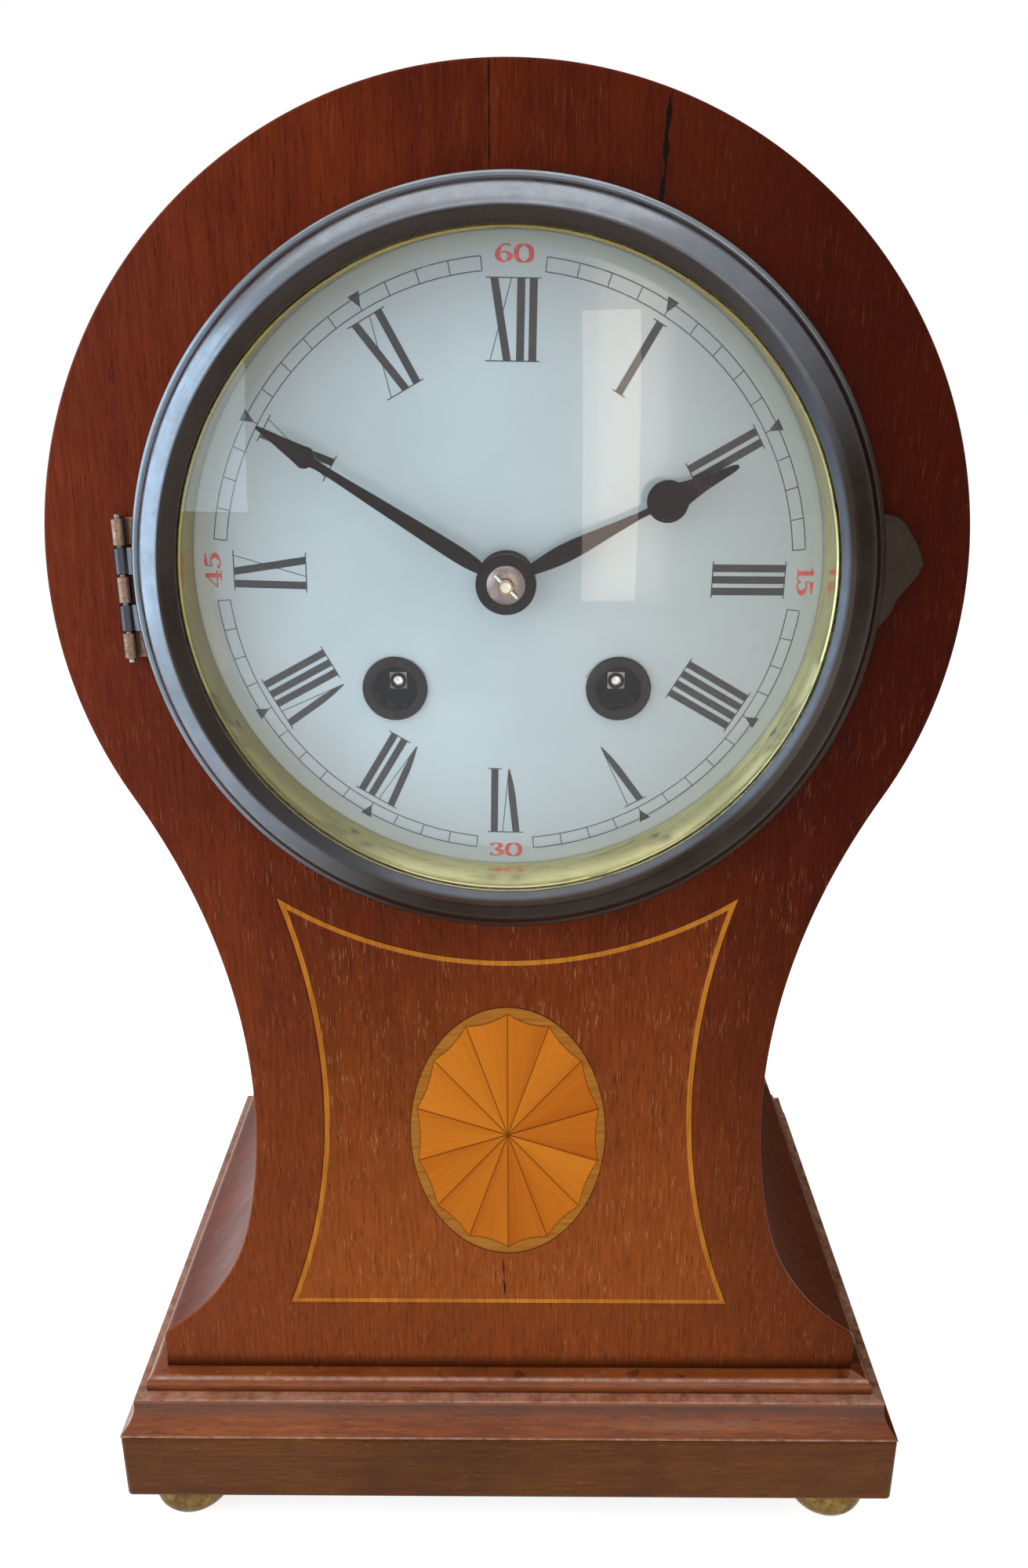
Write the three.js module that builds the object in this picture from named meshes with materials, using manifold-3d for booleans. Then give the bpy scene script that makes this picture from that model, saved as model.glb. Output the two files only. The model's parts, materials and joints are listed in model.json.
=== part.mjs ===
// Balloon mantel clock: an inlaid mahogany case on a moulded plinth with brass bun feet, a hinged bezel over
// an enamel dial, and a round-plate striking movement strapped between the dial pan and the back ring.
// Millimetres, +Z up, +X to the right, -Y towards the viewer. The origin is the middle of the footprint.
import * as THREE from "three";
import { mergeVertices } from "three/addons/utils/BufferGeometryUtils.js";
import Module from "manifold-3d";

const wasm = await Module();
wasm.setup();

// Clearances
const GLUE_LINE = 0.05;
const SEAT_GAP = 0.3;
const RUN_GAP = 0.15;
const PIPE_GAP = 0.25;
const OVERRUN = 1;

// Facets
const ROUND = 40;
const HIDDEN_ROUND = 24;
const SMALL_ROUND = 12;
const TINY_ROUND = 8;
const WIRE_ROUND = 6;
const ARC_STEP = Math.PI / 30;

// Feet
const FOOT_HEIGHT = 12.5;
const FOOT_RADIUS = 9.3;
const FOOT_FLAT_RADIUS = 3.6;
const FOOT_NECK_RADIUS = 5.2;
const FOOT_NECK_HEIGHT = 1.4;
const FOOT_INSET = 12.2;
const FOOT_BULGE_FROM = -60;
const FOOT_BULGE_TO = 45;
const FOOT_BULGE_STEPS = 6;
const SPIGOT_RADIUS = 2.5;
const SPIGOT_LENGTH = 13;

// Plinth
const PLINTH_WIDTH = 178.4;
const PLINTH_DEPTH = 128.2;
const BLOCK_HEIGHT = 18;
const LEDGE_RUN = 2.15;
const OVOLO_RADIUS = 1.8;
const FILLET_DROP = 1.7;
const STEP_RUN = 2.45;
const STEP_DROP = 0.95;
const CYMA_RUN = 3.1;
const CYMA_DROP = 7.15;
const CYMA_HOLLOW = 0.5;
const CYMA_TOE_RUN = 0.35;
const CYMA_TOE_RISE = 0.3;
const CYMA_STEPS = 5;
const OVOLO_STEPS = 3;
const MOULDING_SEAT = 14;

// Body
const BALLOON_RADIUS = 84.25;
const DIAL_RISE = 183.4;
const WAIST_HALF_WIDTH = 54.3;
const WAIST_RISE = 71.6;
const FLARE_RISE = 39.6;
const FLARE_END_RISE = 11.7;
const SHOULDER_RUN = 2.9;
const SHOULDER_RADIUS = 4;
const VENEER = 1;
const FRONT_BOARD = 9;
const BACK_BOARD = 8;
const BAND_WALL = 8;

// Inlay
const STRING_WIDTH = 1.05;
const STRING_ARC_RADIUS = 84.1;
const STRING_ARC_LIFT = 6;
const STRING_WAIST_HALF_WIDTH = 38.7;
const STRING_WAIST_RISE = 73.9;
const STRING_SIDE_RADIUS = 153;
const STRING_BOTTOM_RISE = 19.4;
const FAN_RISE = 64;
const FAN_HALF_WIDTH = 21.1;
const FAN_HALF_HEIGHT = 31.3;

// Bezel, glass and sight ring
const COVE_RUN = 6;
const BEZEL_RIM = 2.6;
const BEAD_WIDTH = 1.6;
const BEAD_RISE = 0.7;
const ARRIS_RUN = 1.7;
const ARRIS_FRONT = 7.2;
const COVE_SAG = 0.7;
const COVE_STEPS = 4;
const LIP_OVERLAP = 0.6;
const LIP_FRONT = 4.9;
const LIP_THICKNESS = 0.5;
const GLASS_THICKNESS = 1.6;
const GLASS_RISE = 4.6;
const SIGHT_WALL = 1.3;
const SIGHT_FIT = 0.8;
const LENS_RINGS = 2;

// Bezel hinge and tab
const HINGE_KNUCKLES = 5;
const HINGE_TOP = 11.9;
const HINGE_LENGTH = 25.9;
const HINGE_FRONT = 2.2;
const KNUCKLE_RADIUS = 1.25;
const HINGE_PIN_RADIUS = 0.6;
const HINGE_PIN_END = 0.5;
const KNUCKLE_WEB = 1;
const LEAF_REACH = 2.6;
const TAB_TOP = 12.6;
const TAB_BOTTOM = -8.6;
const TAB_REACH = 7.1;
const TAB_TIP_RISE = 3.6;
const TAB_THICKNESS = 1;

// Dial pan, dial and collets
const PAN_RADIUS = 61.9;
const PAN_WALL = 0.8;
const PAN_FLANGE_INSET = 0.6;
const PAN_SHEET = 1;
const PAN_FLOOR_RADIUS = 42;
const DIAL_FIT = 0.4;
const DIAL_EDGE_DEPTH = 5.65;
const DIAL_DOME = 2.7;
const DIAL_THICKNESS = 1.6;
const WINDING_X = 21.3;
const WINDING_Z = -20.9;
const WINDING_COLLET_RADIUS = 6.2;
const WINDING_COLLET_BORE = 4.3;
const CENTRE_COLLET_RADIUS = 5.4;
const CENTRE_COLLET_BORE = 3.7;
const COLLET_LIP = 0.9;
const COLLET_WALL = 0.6;

// Hands
const HOUR_ANGLE = 63.4;
const MINUTE_ANGLE = 302.3;
const HAND_THICKNESS = 0.7;
const HOUR_HAND_FRONT = -1;
const MINUTE_HAND_FRONT = -3.2;
const HAND_ROOT_SINK = 1;
const HOUR_BOSS_RADIUS = 5;
const HOUR_ROOT_HALF_WIDTH = 0.85;
const HOUR_LEAF_RADIUS = 12;
const HOUR_LEAF_HALF_WIDTH = 1.7;
const HOUR_STEM_HALF_WIDTH = 0.95;
const HOUR_NECK_HALF_WIDTH = 0.6;
const HOUR_NECK_SETBACK = 5.6;
const HOUR_SPADE_SETBACK = 13.7;
const HOUR_SPADE_RADIUS = 3.75;
const HOUR_SPADE_END = 35;
const HOUR_SPADE_STEPS = 7;
const HOUR_POINT_RUN = 2.6;
const HOUR_POINT_HALF_WIDTH = 0.9;
const HOUR_TIP_HALF_WIDTH = 0.45;
const HOUR_TIP_INSET = 14.7;
const HOUR_STEM_STEPS = 6;
const HOUR_POINT_STEPS = 4;
const MINUTE_BOSS_RADIUS = 5.5;
const MINUTE_ROOT_HALF_WIDTH = 0.87;
const MINUTE_LEAF_RADIUS = 9.9;
const MINUTE_LEAF_HALF_WIDTH = 1.45;
const MINUTE_STEM_HALF_WIDTH = 1.1;
const MINUTE_STEM_RADIUS = 24.9;
const MINUTE_NECK_HALF_WIDTH = 0.75;
const MINUTE_NECK_SETBACK = 3.1;
const MINUTE_SPADE_SETBACK = 9.7;
const MINUTE_SPADE_HALF_WIDTH = 1.95;
const MINUTE_CHEEK_HALF_WIDTH = 1.56;
const MINUTE_CHEEK_BELOW = 1;
const MINUTE_CHEEK_ABOVE = 1.95;
const MINUTE_TIP_HALF_WIDTH = 0.27;
const MINUTE_TIP_INSET = 9.5;
const WASHER_RADIUS = 3.5;
const WASHER_RISE = 0.9;
const TAPER_PIN_RADIUS = 0.35;
const TAPER_PIN_LENGTH = 6;
const ARBOR_END = -5.9;
const TAPER_PIN_DEPTH = -4.95;

// Movement plates
const PLATE_RADIUS = 50;
const PLATE_THICKNESS = 2;
const FRONT_PLATE_DEPTH = 16;
const PLATE_SPACING = 32;
const PILLAR_RADIUS = 3;
const PILLAR_CIRCLE = 46;
const PILLAR_ANGLES = [55, 125, -75, -105];
const PILLAR_NOSE_RADIUS = 2.2;

// Wheels: tooth counts and modules of each meshing pair
const TOOTH_ADDENDUM = 0.75;
const TOOTH_DEDENDUM = 1.15;
const MESH_SLACK = 0.12;
const WHEEL_THICKNESS = 1.3;
const PINION_LENGTH = 2.6;
const PIVOT_RADIUS = 0.5;
const PIVOT_LENGTH = 1.2;
const BARREL_PAIR = { wheel: 36, pinion: 6, module: 0.98 };
const CENTRE_PAIR = { wheel: 36, pinion: 6, module: 0.745 };
const THIRD_PAIR = { wheel: 72, pinion: 6, module: 0.38 };
const ESCAPE_PAIR = { wheel: 72, pinion: 6, module: 0.36 };
const CANNON_PAIR = { wheel: 30, pinion: 10, module: 0.675 };
const HOUR_PAIR = { wheel: 32, pinion: 8, module: 0.675 };
const STRIKE_TEETH = 30;
const THIRD_ANGLE = 115;
const MINUTE_WHEEL_ANGLE = 60;
const CENTRE_ARBOR_RADIUS = 1.2;
const THIN_ARBOR_RADIUS = 0.6;
const STOUT_ARBOR_RADIUS = 0.9;
const CANNON_RADIUS = 2;
const HOUR_PIPE_WALL = 0.95;

// Depths of the layers of wheels, from the face of the front veneer
const HOUR_WHEEL_DEPTH = 9.4;
const MINUTE_WHEEL_DEPTH = 12.4;
const CENTRE_WHEEL_DEPTH = 19.2;
const BARREL_DEPTH = 22;
const THIRD_WHEEL_DEPTH = 28;
const ESCAPE_WHEEL_DEPTH = 36;
const INTERMEDIATE_WHEEL_DEPTH = 46;

// Barrels and winding arbors
const BARREL_RADIUS = 16.4;
const BARREL_LENGTH = 22;
const BARREL_WALL = 1.2;
const GREAT_WHEEL_THICKNESS = 2;
const WINDING_ARBOR_RADIUS = 2.4;
const WINDING_SQUARE = 3.3;
const WINDING_END_DEPTH = 9.5;
const RATCHET_RADIUS = 7;
const RATCHET_TEETH = 12;
const RATCHET_ROOT_RADIUS = 5.75;
const RATCHET_LEAN = 0.12;
const RATCHET_DEPTH = 13.4;

// Escapement and pendulum
const ESCAPE_TEETH = 30;
const ESCAPE_RADIUS = 9.5;
const ESCAPE_TOOTH = 2.4;
const PALLET_CLEARANCE = 0.3;
const NIB_HALF_WIDTH = 0.2;
const NIB_LENGTH = 1.8;
const ANCHOR_HUB = 2.4;
const ANCHOR_ARM_HALF_WIDTH = 0.8;
const CRUTCH_DEPTH = 53.6;
const CRUTCH_THICKNESS = 1.4;
const CRUTCH_HALF_WIDTH = 1.2;
const CRUTCH_LENGTH = 60;
const PRONG_HEIGHT = 3;
const COCK_DEPTH = 57;
const COCK_THICKNESS = 2;
const COCK_HALF_WIDTH = 13;
const COCK_BELOW = 3.4;
const COCK_ABOVE = 13;
const COCK_FOOT_X = 10;
const COCK_FOOT_RISE = 7;
const COCK_FOOT_RADIUS = 2.4;
const STUD_RADIUS = 1.3;
const STUD_RISE = 10.5;
const STUD_LENGTH = 7;
const CHOP_HALF_WIDTH = 4;
const CHOP_HALF_HEIGHT = 3.6;
const CHOP_BORE = 2.1;
const SPRING_HALF_WIDTH = 0.3;
const SPRING_END = 5;
const ROD_HALF_WIDTH = 1.1;
const ROD_DEPTH = 62.5;
const PENDULUM_LENGTH = 172.6;
const BOB_RADIUS = 15;
const BOB_HALF_THICKNESS = 4.2;
const BOB_EDGE = 1;
const BOB_SHOULDER = 3.4;
const NUT_RADIUS = 4;
const NUT_HEIGHT = 4;
const ROD_TAIL = 4;

// Strike
const STRIKE_PINS = 8;
const STRIKE_PIN_CIRCLE = 9;
const STRIKE_PIN_RADIUS = 0.7;
const STRIKE_PIN_LENGTH = 2;
const HAMMER_X = -27;
const HAMMER_Z = 14;
const HAMMER_ARM_HALF_WIDTH = 1.3;
const HAMMER_HEAD_RADIUS = 3.5;
const HAMMER_HEAD_LENGTH = 8;
const HAMMER_STRIKE_ANGLE = 140;
const HAMMER_STANDOFF = 0.8;
const GONG_DEPTH = 72;
const GONG_DROP = 72;
const GONG_RADIUS = 34;
const GONG_WIRE_RADIUS = 1.3;
const GONG_TURNS = 3;
const GONG_INNER_RADIUS = 14;
const GONG_STEPS_PER_TURN = 20;
const GONG_LEAD_STEPS = 3;
const GONG_BOSS_RADIUS = 5;
const GONG_BOSS_TAIL = 2.4;
const GONG_POST_RADIUS = 3.2;
const GONG_POST_SHARE = 0.308;
const GONG_FOOT_SHARE = 0.644;
const GONG_FOOT_HEIGHT = 4;
const GAP_SAMPLES = 400;
const GAP_LEAST_RADII = 8;

// Back ring, back door and straps
const BACK_HOLE_RADIUS = 56.6;
const BACK_RING_RADIUS = 61.5;
const BACK_RING_BORE = 45.5;
const BACK_SHEET = 1.2;
const BACK_WALL = 0.8;
const BACK_WALL_LENGTH = 6;
const DOOR_RADIUS = 47.5;
const DOOR_LIP_LENGTH = 3.4;
const DOOR_LIP_WALL = 1;
const DOOR_DOME = 2.4;
const DOOR_MID_SHARE = 0.6;
const DOOR_HINGE_LENGTH = 14;
const DOOR_KNUCKLES = 3;
const DOOR_KNUCKLE_WEB = 0.75;
const KNOB_RADIUS = 3;
const KNOB_LENGTH = 3.6;
const KNOB_INSET = 9;
const STRAP_Z = 12;
const STRAP_WIDTH = 6;
const STRAP_THICKNESS = 1.2;
const STRAP_LUG = 3.2;
const STRAP_SETBACK = 5;
const STRAP_SCREW_RADIUS = 1.4;
const STRAP_HEAD_RADIUS = 2.7;
const STRAP_HEAD_HEIGHT = 1.6;

// Levels and planes that follow from the sizes above
const MOULDING_RUN = LEDGE_RUN + OVOLO_RADIUS + STEP_RUN + CYMA_RUN;
const MOULDING_HEIGHT = OVOLO_RADIUS + FILLET_DROP + STEP_DROP + CYMA_DROP;
const BLOCK_TOP = FOOT_HEIGHT + BLOCK_HEIGHT;
const BODY_BASE = BLOCK_TOP + MOULDING_HEIGHT;
const BODY_HALF_WIDTH = PLINTH_WIDTH / 2 - MOULDING_RUN;
const BODY_DEPTH = PLINTH_DEPTH - 2 * MOULDING_RUN;
const APERTURE_RADIUS = PAN_RADIUS + SEAT_GAP;
const PAN_BORE = PAN_RADIUS - PAN_WALL;
const DIAL_RADIUS = PAN_BORE - DIAL_FIT;
const GLASS_RADIUS = PAN_BORE - SIGHT_FIT;
const SIGHT_RADIUS = GLASS_RADIUS - SIGHT_WALL;
const LIP_RADIUS = GLASS_RADIUS - LIP_OVERLAP;
const ARRIS_RADIUS = GLASS_RADIUS + ARRIS_RUN;
const BEZEL_RADIUS = ARRIS_RADIUS + COVE_RUN;
const PAN_FLANGE_RADIUS = BEZEL_RADIUS - PAN_FLANGE_INSET;
const HOUR_TIP = DIAL_RADIUS - HOUR_TIP_INSET;
const HOUR_SPADE_CENTRE = HOUR_TIP - HOUR_SPADE_SETBACK;
const MINUTE_TIP = DIAL_RADIUS - MINUTE_TIP_INSET;
const MINUTE_SPADE_RADIUS = MINUTE_TIP - MINUTE_SPADE_SETBACK;
const BEZEL_BACK = -(PAN_SHEET + GLUE_LINE + SEAT_GAP);
const LIP_BACK = LIP_THICKNESS - LIP_FRONT;
const GLASS_EDGE = LIP_BACK + SEAT_GAP;
const PAN_FLOOR_DEPTH = DIAL_EDGE_DEPTH + DIAL_THICKNESS + SEAT_GAP;
const FRONT_PLATE_BACK = FRONT_PLATE_DEPTH + PLATE_THICKNESS;
const BACK_PLATE_DEPTH = FRONT_PLATE_BACK + PLATE_SPACING;
const BACK_PLATE_BACK = BACK_PLATE_DEPTH + PLATE_THICKNESS;
const HOUR_PIPE_BORE = CANNON_RADIUS + PIPE_GAP;
const HOUR_PIPE_RADIUS = HOUR_PIPE_BORE + HOUR_PIPE_WALL;
const degrees = THREE.MathUtils.degToRad;

// Finishes
const finish = (color, roughness, metalness) => () =>
  new THREE.MeshStandardMaterial({ color, roughness, metalness });
const mahogany = finish(0x5c2416, 0.35, 0);
const carcase = finish(0x8a6a48, 0.7, 0);
const boxwood = finish(0xd8a25c, 0.4, 0);
const satinwood = finish(0xc98a3c, 0.4, 0);
const brass = finish(0xb08d4a, 0.35, 1);
const agedBrass = finish(0x8b7d66, 0.4, 1);
const gilt = finish(0xd6b25e, 0.3, 1);
const bronze = finish(0x4a3726, 0.4, 1);
const steel = finish(0x8d9096, 0.3, 1);
const bluedSteel = finish(0x241a18, 0.35, 1);
const iron = finish(0x3a3a3c, 0.6, 1);
const enamel = finish(0xeef1f4, 0.15, 0);
const glass = () =>
  new THREE.MeshStandardMaterial({ color: 0xffffff, roughness: 0.05, transparent: true, opacity: 0.3 });

// Solids by joining and cutting
function solidOf(geometry) {
  const bare = geometry.index ? geometry.toNonIndexed() : geometry.clone();
  bare.deleteAttribute("normal");
  bare.deleteAttribute("uv");
  const merged = mergeVertices(bare, 1e-4);
  const faces = [];
  for (let i = 0; i < merged.index.count; i += 3) {
    const [a, b, c] = [0, 1, 2].map((k) => merged.index.getX(i + k));
    if (a !== b && b !== c && c !== a) faces.push(a, b, c);
  }
  return new wasm.Manifold(
    new wasm.Mesh({
      numProp: 3,
      vertProperties: merged.attributes.position.array,
      triVerts: new Uint32Array(faces),
    }),
  );
}

function geometryOf(solid) {
  const { numProp, numVert, vertProperties, triVerts } = solid.getMesh();
  const positions = new Float32Array(numVert * 3);
  for (let i = 0; i < numVert; i++) {
    positions.set(vertProperties.subarray(i * numProp, i * numProp + 3), i * 3);
  }
  const geometry = new THREE.BufferGeometry();
  geometry.setAttribute("position", new THREE.BufferAttribute(positions, 3));
  geometry.setIndex(new THREE.BufferAttribute(triVerts, 1));
  geometry.computeVertexNormals();
  return geometry;
}

const joined = (...pieces) => geometryOf(pieces.map(solidOf).reduce((whole, piece) => whole.add(piece)));
const cut = (piece, ...tools) =>
  geometryOf(tools.map(solidOf).reduce((whole, tool) => whole.subtract(tool), solidOf(piece)));

// Basic shapes. A depth is measured along +Y, and outlines are drawn in X and Z
const polar = (radius, angle) => new THREE.Vector2(radius * Math.cos(angle), radius * Math.sin(angle));

function arc(x, z, radius, from, to, steps = Math.max(2, Math.ceil(Math.abs(to - from) / ARC_STEP))) {
  return Array.from({ length: steps + 1 }, (_, i) => {
    const angle = from + ((to - from) * i) / steps;
    return polar(radius, angle).add(new THREE.Vector2(x, z));
  });
}

function circle(x, z, radius, sides) {
  return Array.from({ length: sides }, (_, i) =>
    polar(radius, (2 * Math.PI * i) / sides).add(new THREE.Vector2(x, z)),
  );
}

function plate(outline, depth, thickness, holes = []) {
  const shape = new THREE.Shape(outline);
  shape.holes = holes.map((hole) => new THREE.Path(hole));
  const geometry = new THREE.ExtrudeGeometry(shape, { depth: thickness, bevelEnabled: false });
  return geometry.rotateX(Math.PI / 2).translate(0, depth + thickness, 0);
}

// Turned about the depth axis from [radius, depth] points
function turned(profile, sides = ROUND) {
  const loop = profile.map(([radius, depth]) => new THREE.Vector2(radius, depth));
  if (THREE.ShapeUtils.area(loop) < 0) loop.reverse();
  if (loop.every((point) => point.x > 0)) loop.push(loop[0].clone());
  return new THREE.LatheGeometry(loop, sides);
}

const rod = (radius, from, to, sides = TINY_ROUND) =>
  turned([[0, from], [radius, from], [radius, to], [0, to]], sides);
const tube = (radius, bore, from, to, sides = SMALL_ROUND) =>
  turned([[bore, from], [radius, from], [radius, to], [bore, to]], sides);
const upright = (geometry) => geometry.rotateX(Math.PI / 2);

function block(x, y, z) {
  return new THREE.BoxGeometry(x[1] - x[0], y[1] - y[0], z[1] - z[0]).translate(
    (x[0] + x[1]) / 2,
    (y[0] + y[1]) / 2,
    (z[0] + z[1]) / 2,
  );
}

function meeting(a, radiusA, b, radiusB, side) {
  const between = b.clone().sub(a);
  const along = (radiusA ** 2 - radiusB ** 2 + between.lengthSq()) / (2 * between.length());
  const across = Math.sqrt(radiusA ** 2 - along ** 2) * side;
  const unit = between.normalize();
  return new THREE.Vector2(a.x + unit.x * along - unit.y * across, a.y + unit.y * along + unit.x * across);
}

function piece(parent, name, geometry, material, x = 0, z = 0) {
  const mesh = new THREE.Mesh(geometry, material());
  mesh.name = name;
  mesh.position.set(x, 0, z);
  parent.add(mesh);
  return mesh;
}

const clock = new THREE.Group();

// Feet
const footProfile = [
  [0, 0],
  [FOOT_FLAT_RADIUS, 0],
  ...arc(0, 0, 1, degrees(FOOT_BULGE_FROM), degrees(FOOT_BULGE_TO), FOOT_BULGE_STEPS).map(({ x, y }) => {
    const middle = (FOOT_HEIGHT - FOOT_NECK_HEIGHT) / 2;
    return [FOOT_RADIUS * x, middle + (middle - GLUE_LINE) * y];
  }),
  [FOOT_NECK_RADIUS, FOOT_HEIGHT - FOOT_NECK_HEIGHT],
  [FOOT_NECK_RADIUS, FOOT_HEIGHT - GLUE_LINE],
  [SPIGOT_RADIUS, FOOT_HEIGHT - GLUE_LINE],
  [SPIGOT_RADIUS, FOOT_HEIGHT + SPIGOT_LENGTH],
  [0, FOOT_HEIGHT + SPIGOT_LENGTH],
];
const footX = PLINTH_WIDTH / 2 - FOOT_INSET;
const footY = PLINTH_DEPTH / 2 - FOOT_INSET;
for (const [end, signY] of [["front", -1], ["back", 1]]) {
  for (const [side, signX] of [["left", -1], ["right", 1]]) {
    const foot = piece(clock, `foot_${end}_${side}`, upright(turned(footProfile, SMALL_ROUND)), brass);
    foot.position.set(signX * footX, signY * footY, 0);
  }
}

// Plinth: a solid block, and four mitred mouldings round the case floor
function rectangle(halfX, halfY) {
  return [[-1, -1], [1, -1], [1, 1], [-1, 1]].map(([x, y]) => new THREE.Vector2(x * halfX, y * halfY));
}
const spigotHoles = rectangle(footX, footY).map(({ x, y }) =>
  new THREE.Path(circle(x, y, SPIGOT_RADIUS + SEAT_GAP, SMALL_ROUND)),
);
const blockShape = new THREE.Shape(rectangle(PLINTH_WIDTH / 2, PLINTH_DEPTH / 2));
blockShape.holes = spigotHoles;
const blockGeometry = new THREE.ExtrudeGeometry(blockShape, { depth: BLOCK_HEIGHT, bevelEnabled: false });
piece(clock, "plinth_block", blockGeometry, mahogany, 0, FOOT_HEIGHT);

const mouldingOutline = () => {
  const top = MOULDING_HEIGHT - GLUE_LINE;
  const fillet = top - OVOLO_RADIUS - FILLET_DROP;
  const cyma = fillet - STEP_DROP;
  const edge = LEDGE_RUN + OVOLO_RADIUS + STEP_RUN;
  const curve = new THREE.CubicBezierCurve(
    new THREE.Vector2(edge, cyma),
    new THREE.Vector2(edge, cyma - CYMA_DROP * CYMA_HOLLOW),
    new THREE.Vector2(edge + CYMA_RUN * CYMA_TOE_RUN, GLUE_LINE + CYMA_DROP * CYMA_TOE_RISE),
    new THREE.Vector2(MOULDING_RUN, GLUE_LINE),
  );
  return [
    new THREE.Vector2(-MOULDING_SEAT, GLUE_LINE),
    new THREE.Vector2(-MOULDING_SEAT, top),
    ...arc(LEDGE_RUN, top - OVOLO_RADIUS, OVOLO_RADIUS, Math.PI / 2, 0, OVOLO_STEPS),
    new THREE.Vector2(LEDGE_RUN + OVOLO_RADIUS, fillet),
    new THREE.Vector2(edge, fillet),
    ...curve.getPoints(CYMA_STEPS),
  ];
};

function mouldingLength(halfLength, reach) {
  const section = new THREE.Shape(mouldingOutline());
  const stick = new THREE.ExtrudeGeometry(section, { depth: 1, bevelEnabled: false });
  const points = stick.getAttribute("position");
  for (let i = 0; i < points.count; i++) {
    const outward = points.getX(i);
    const end = 1 - 2 * points.getZ(i);
    points.setXYZ(i, end * (halfLength + outward - GLUE_LINE), -(reach + outward), points.getY(i));
  }
  return stick;
}
const mouldingSides = ["front", "right", "back", "left"];
mouldingSides.forEach((side, quarter) => {
  const faces = [BODY_HALF_WIDTH, BODY_DEPTH / 2];
  const [halfLength, reach] = quarter % 2 ? [faces[1], faces[0]] : faces;
  const stick = piece(clock, `plinth_${side}`, mouldingLength(halfLength, reach), mahogany, 0, BLOCK_TOP);
  stick.rotation.z = (quarter * Math.PI) / 2;
});

const floorX = BODY_HALF_WIDTH - MOULDING_SEAT - SEAT_GAP;
const floorY = BODY_DEPTH / 2 - MOULDING_SEAT - SEAT_GAP;
const floorZ = [BLOCK_TOP + GLUE_LINE, BODY_BASE - GLUE_LINE];
piece(clock, "case_floor", block([-floorX, floorX], [-floorY, floorY], floorZ), carcase);

// Body: everything here is drawn from the middle of the base of the front face, depth along +Y
const body = new THREE.Group();
body.position.set(0, -BODY_DEPTH / 2, BODY_BASE);
clock.add(body);

// The right half of the balloon outline, from the base to the top of the head, moved in by inset
function rightOutline(inset) {
  const head = new THREE.Vector2(0, DIAL_RISE);
  const rise = DIAL_RISE - WAIST_RISE;
  const flankRadius =
    (WAIST_HALF_WIDTH ** 2 + rise ** 2 - BALLOON_RADIUS ** 2) / (2 * (BALLOON_RADIUS - WAIST_HALF_WIDTH));
  const flank = new THREE.Vector2(WAIST_HALF_WIDTH + flankRadius, WAIST_RISE);
  const flareTurn = Math.asin((WAIST_RISE - FLARE_RISE) / flankRadius);
  const flareStart = flank.clone().sub(polar(flankRadius, flareTurn));
  const flareRun = BODY_HALF_WIDTH - SHOULDER_RUN - flareStart.x;
  const flareDrop = flareStart.y - FLARE_END_RISE;
  const chordTurn = Math.atan2(flareRun, flareDrop);
  const flareRadius = Math.hypot(flareRun, flareDrop) / (2 * Math.sin(chordTurn - flareTurn));
  const flare = flank.clone().sub(polar(flankRadius - flareRadius, flareTurn));
  const edge = BODY_HALF_WIDTH - inset;
  const edgeTurn = Math.acos((flare.x - edge) / (flareRadius + inset));
  const endTurn = Math.min(2 * chordTurn - flareTurn, edgeTurn);
  const flareEnd = flare.clone().sub(polar(flareRadius + inset, endTurn));
  const corner = flareEnd.y - (edge - flareEnd.x) / Math.tan(endTurn);
  const shoulder = Math.max(SHOULDER_RADIUS - inset, 0);
  const shoulderBase = corner - shoulder * Math.tan(endTurn / 2);
  const headTurn = head.clone().sub(flank).angle();
  const round = arc(edge - shoulder, shoulderBase, shoulder, 0, endTurn);
  return [
    new THREE.Vector2(edge, 0),
    ...(shoulder ? round : [new THREE.Vector2(edge, corner)]),
    ...arc(flare.x, flare.y, flareRadius + inset, Math.PI + endTurn, Math.PI + flareTurn),
    ...arc(flank.x, flank.y, flankRadius + inset, Math.PI + flareTurn, headTurn).slice(1),
    ...arc(head.x, head.y, BALLOON_RADIUS - inset, headTurn - Math.PI, Math.PI / 2).slice(1),
  ];
}

function balloon(inset) {
  const right = rightOutline(inset);
  const left = right.slice(0, -1).map(({ x, y }) => new THREE.Vector2(-x, y));
  return [...right, ...left.reverse()];
}

// The inlaid panel below the dial, with its border moved out by grow
function panel(grow) {
  const head = new THREE.Vector2(0, DIAL_RISE + STRING_ARC_LIFT);
  const flank = new THREE.Vector2(STRING_WAIST_HALF_WIDTH + STRING_SIDE_RADIUS, STRING_WAIST_RISE);
  const top = STRING_ARC_RADIUS - grow;
  const side = STRING_SIDE_RADIUS - grow;
  const base = STRING_BOTTOM_RISE - grow;
  const topCorner = meeting(head, top, flank, side, -1);
  const baseTurn = Math.asin((STRING_WAIST_RISE - base) / side);
  const topTurn = topCorner.clone().sub(flank).angle();
  const right = arc(flank.x, flank.y, side, Math.PI + baseTurn, topTurn);
  const left = right.map(({ x, y }) => new THREE.Vector2(-x, y)).reverse();
  const sweep = topCorner.clone().sub(head).angle();
  const crown = arc(head.x, head.y, top, sweep, 3 * Math.PI - sweep).slice(1, -1);
  return [...right, ...crown, ...left];
}

function fanOval(grow) {
  return circle(0, 0, 1, ROUND).map(
    ({ x, y }) => new THREE.Vector2(x * (FAN_HALF_WIDTH + grow), FAN_RISE + y * (FAN_HALF_HEIGHT + grow)),
  );
}

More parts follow.
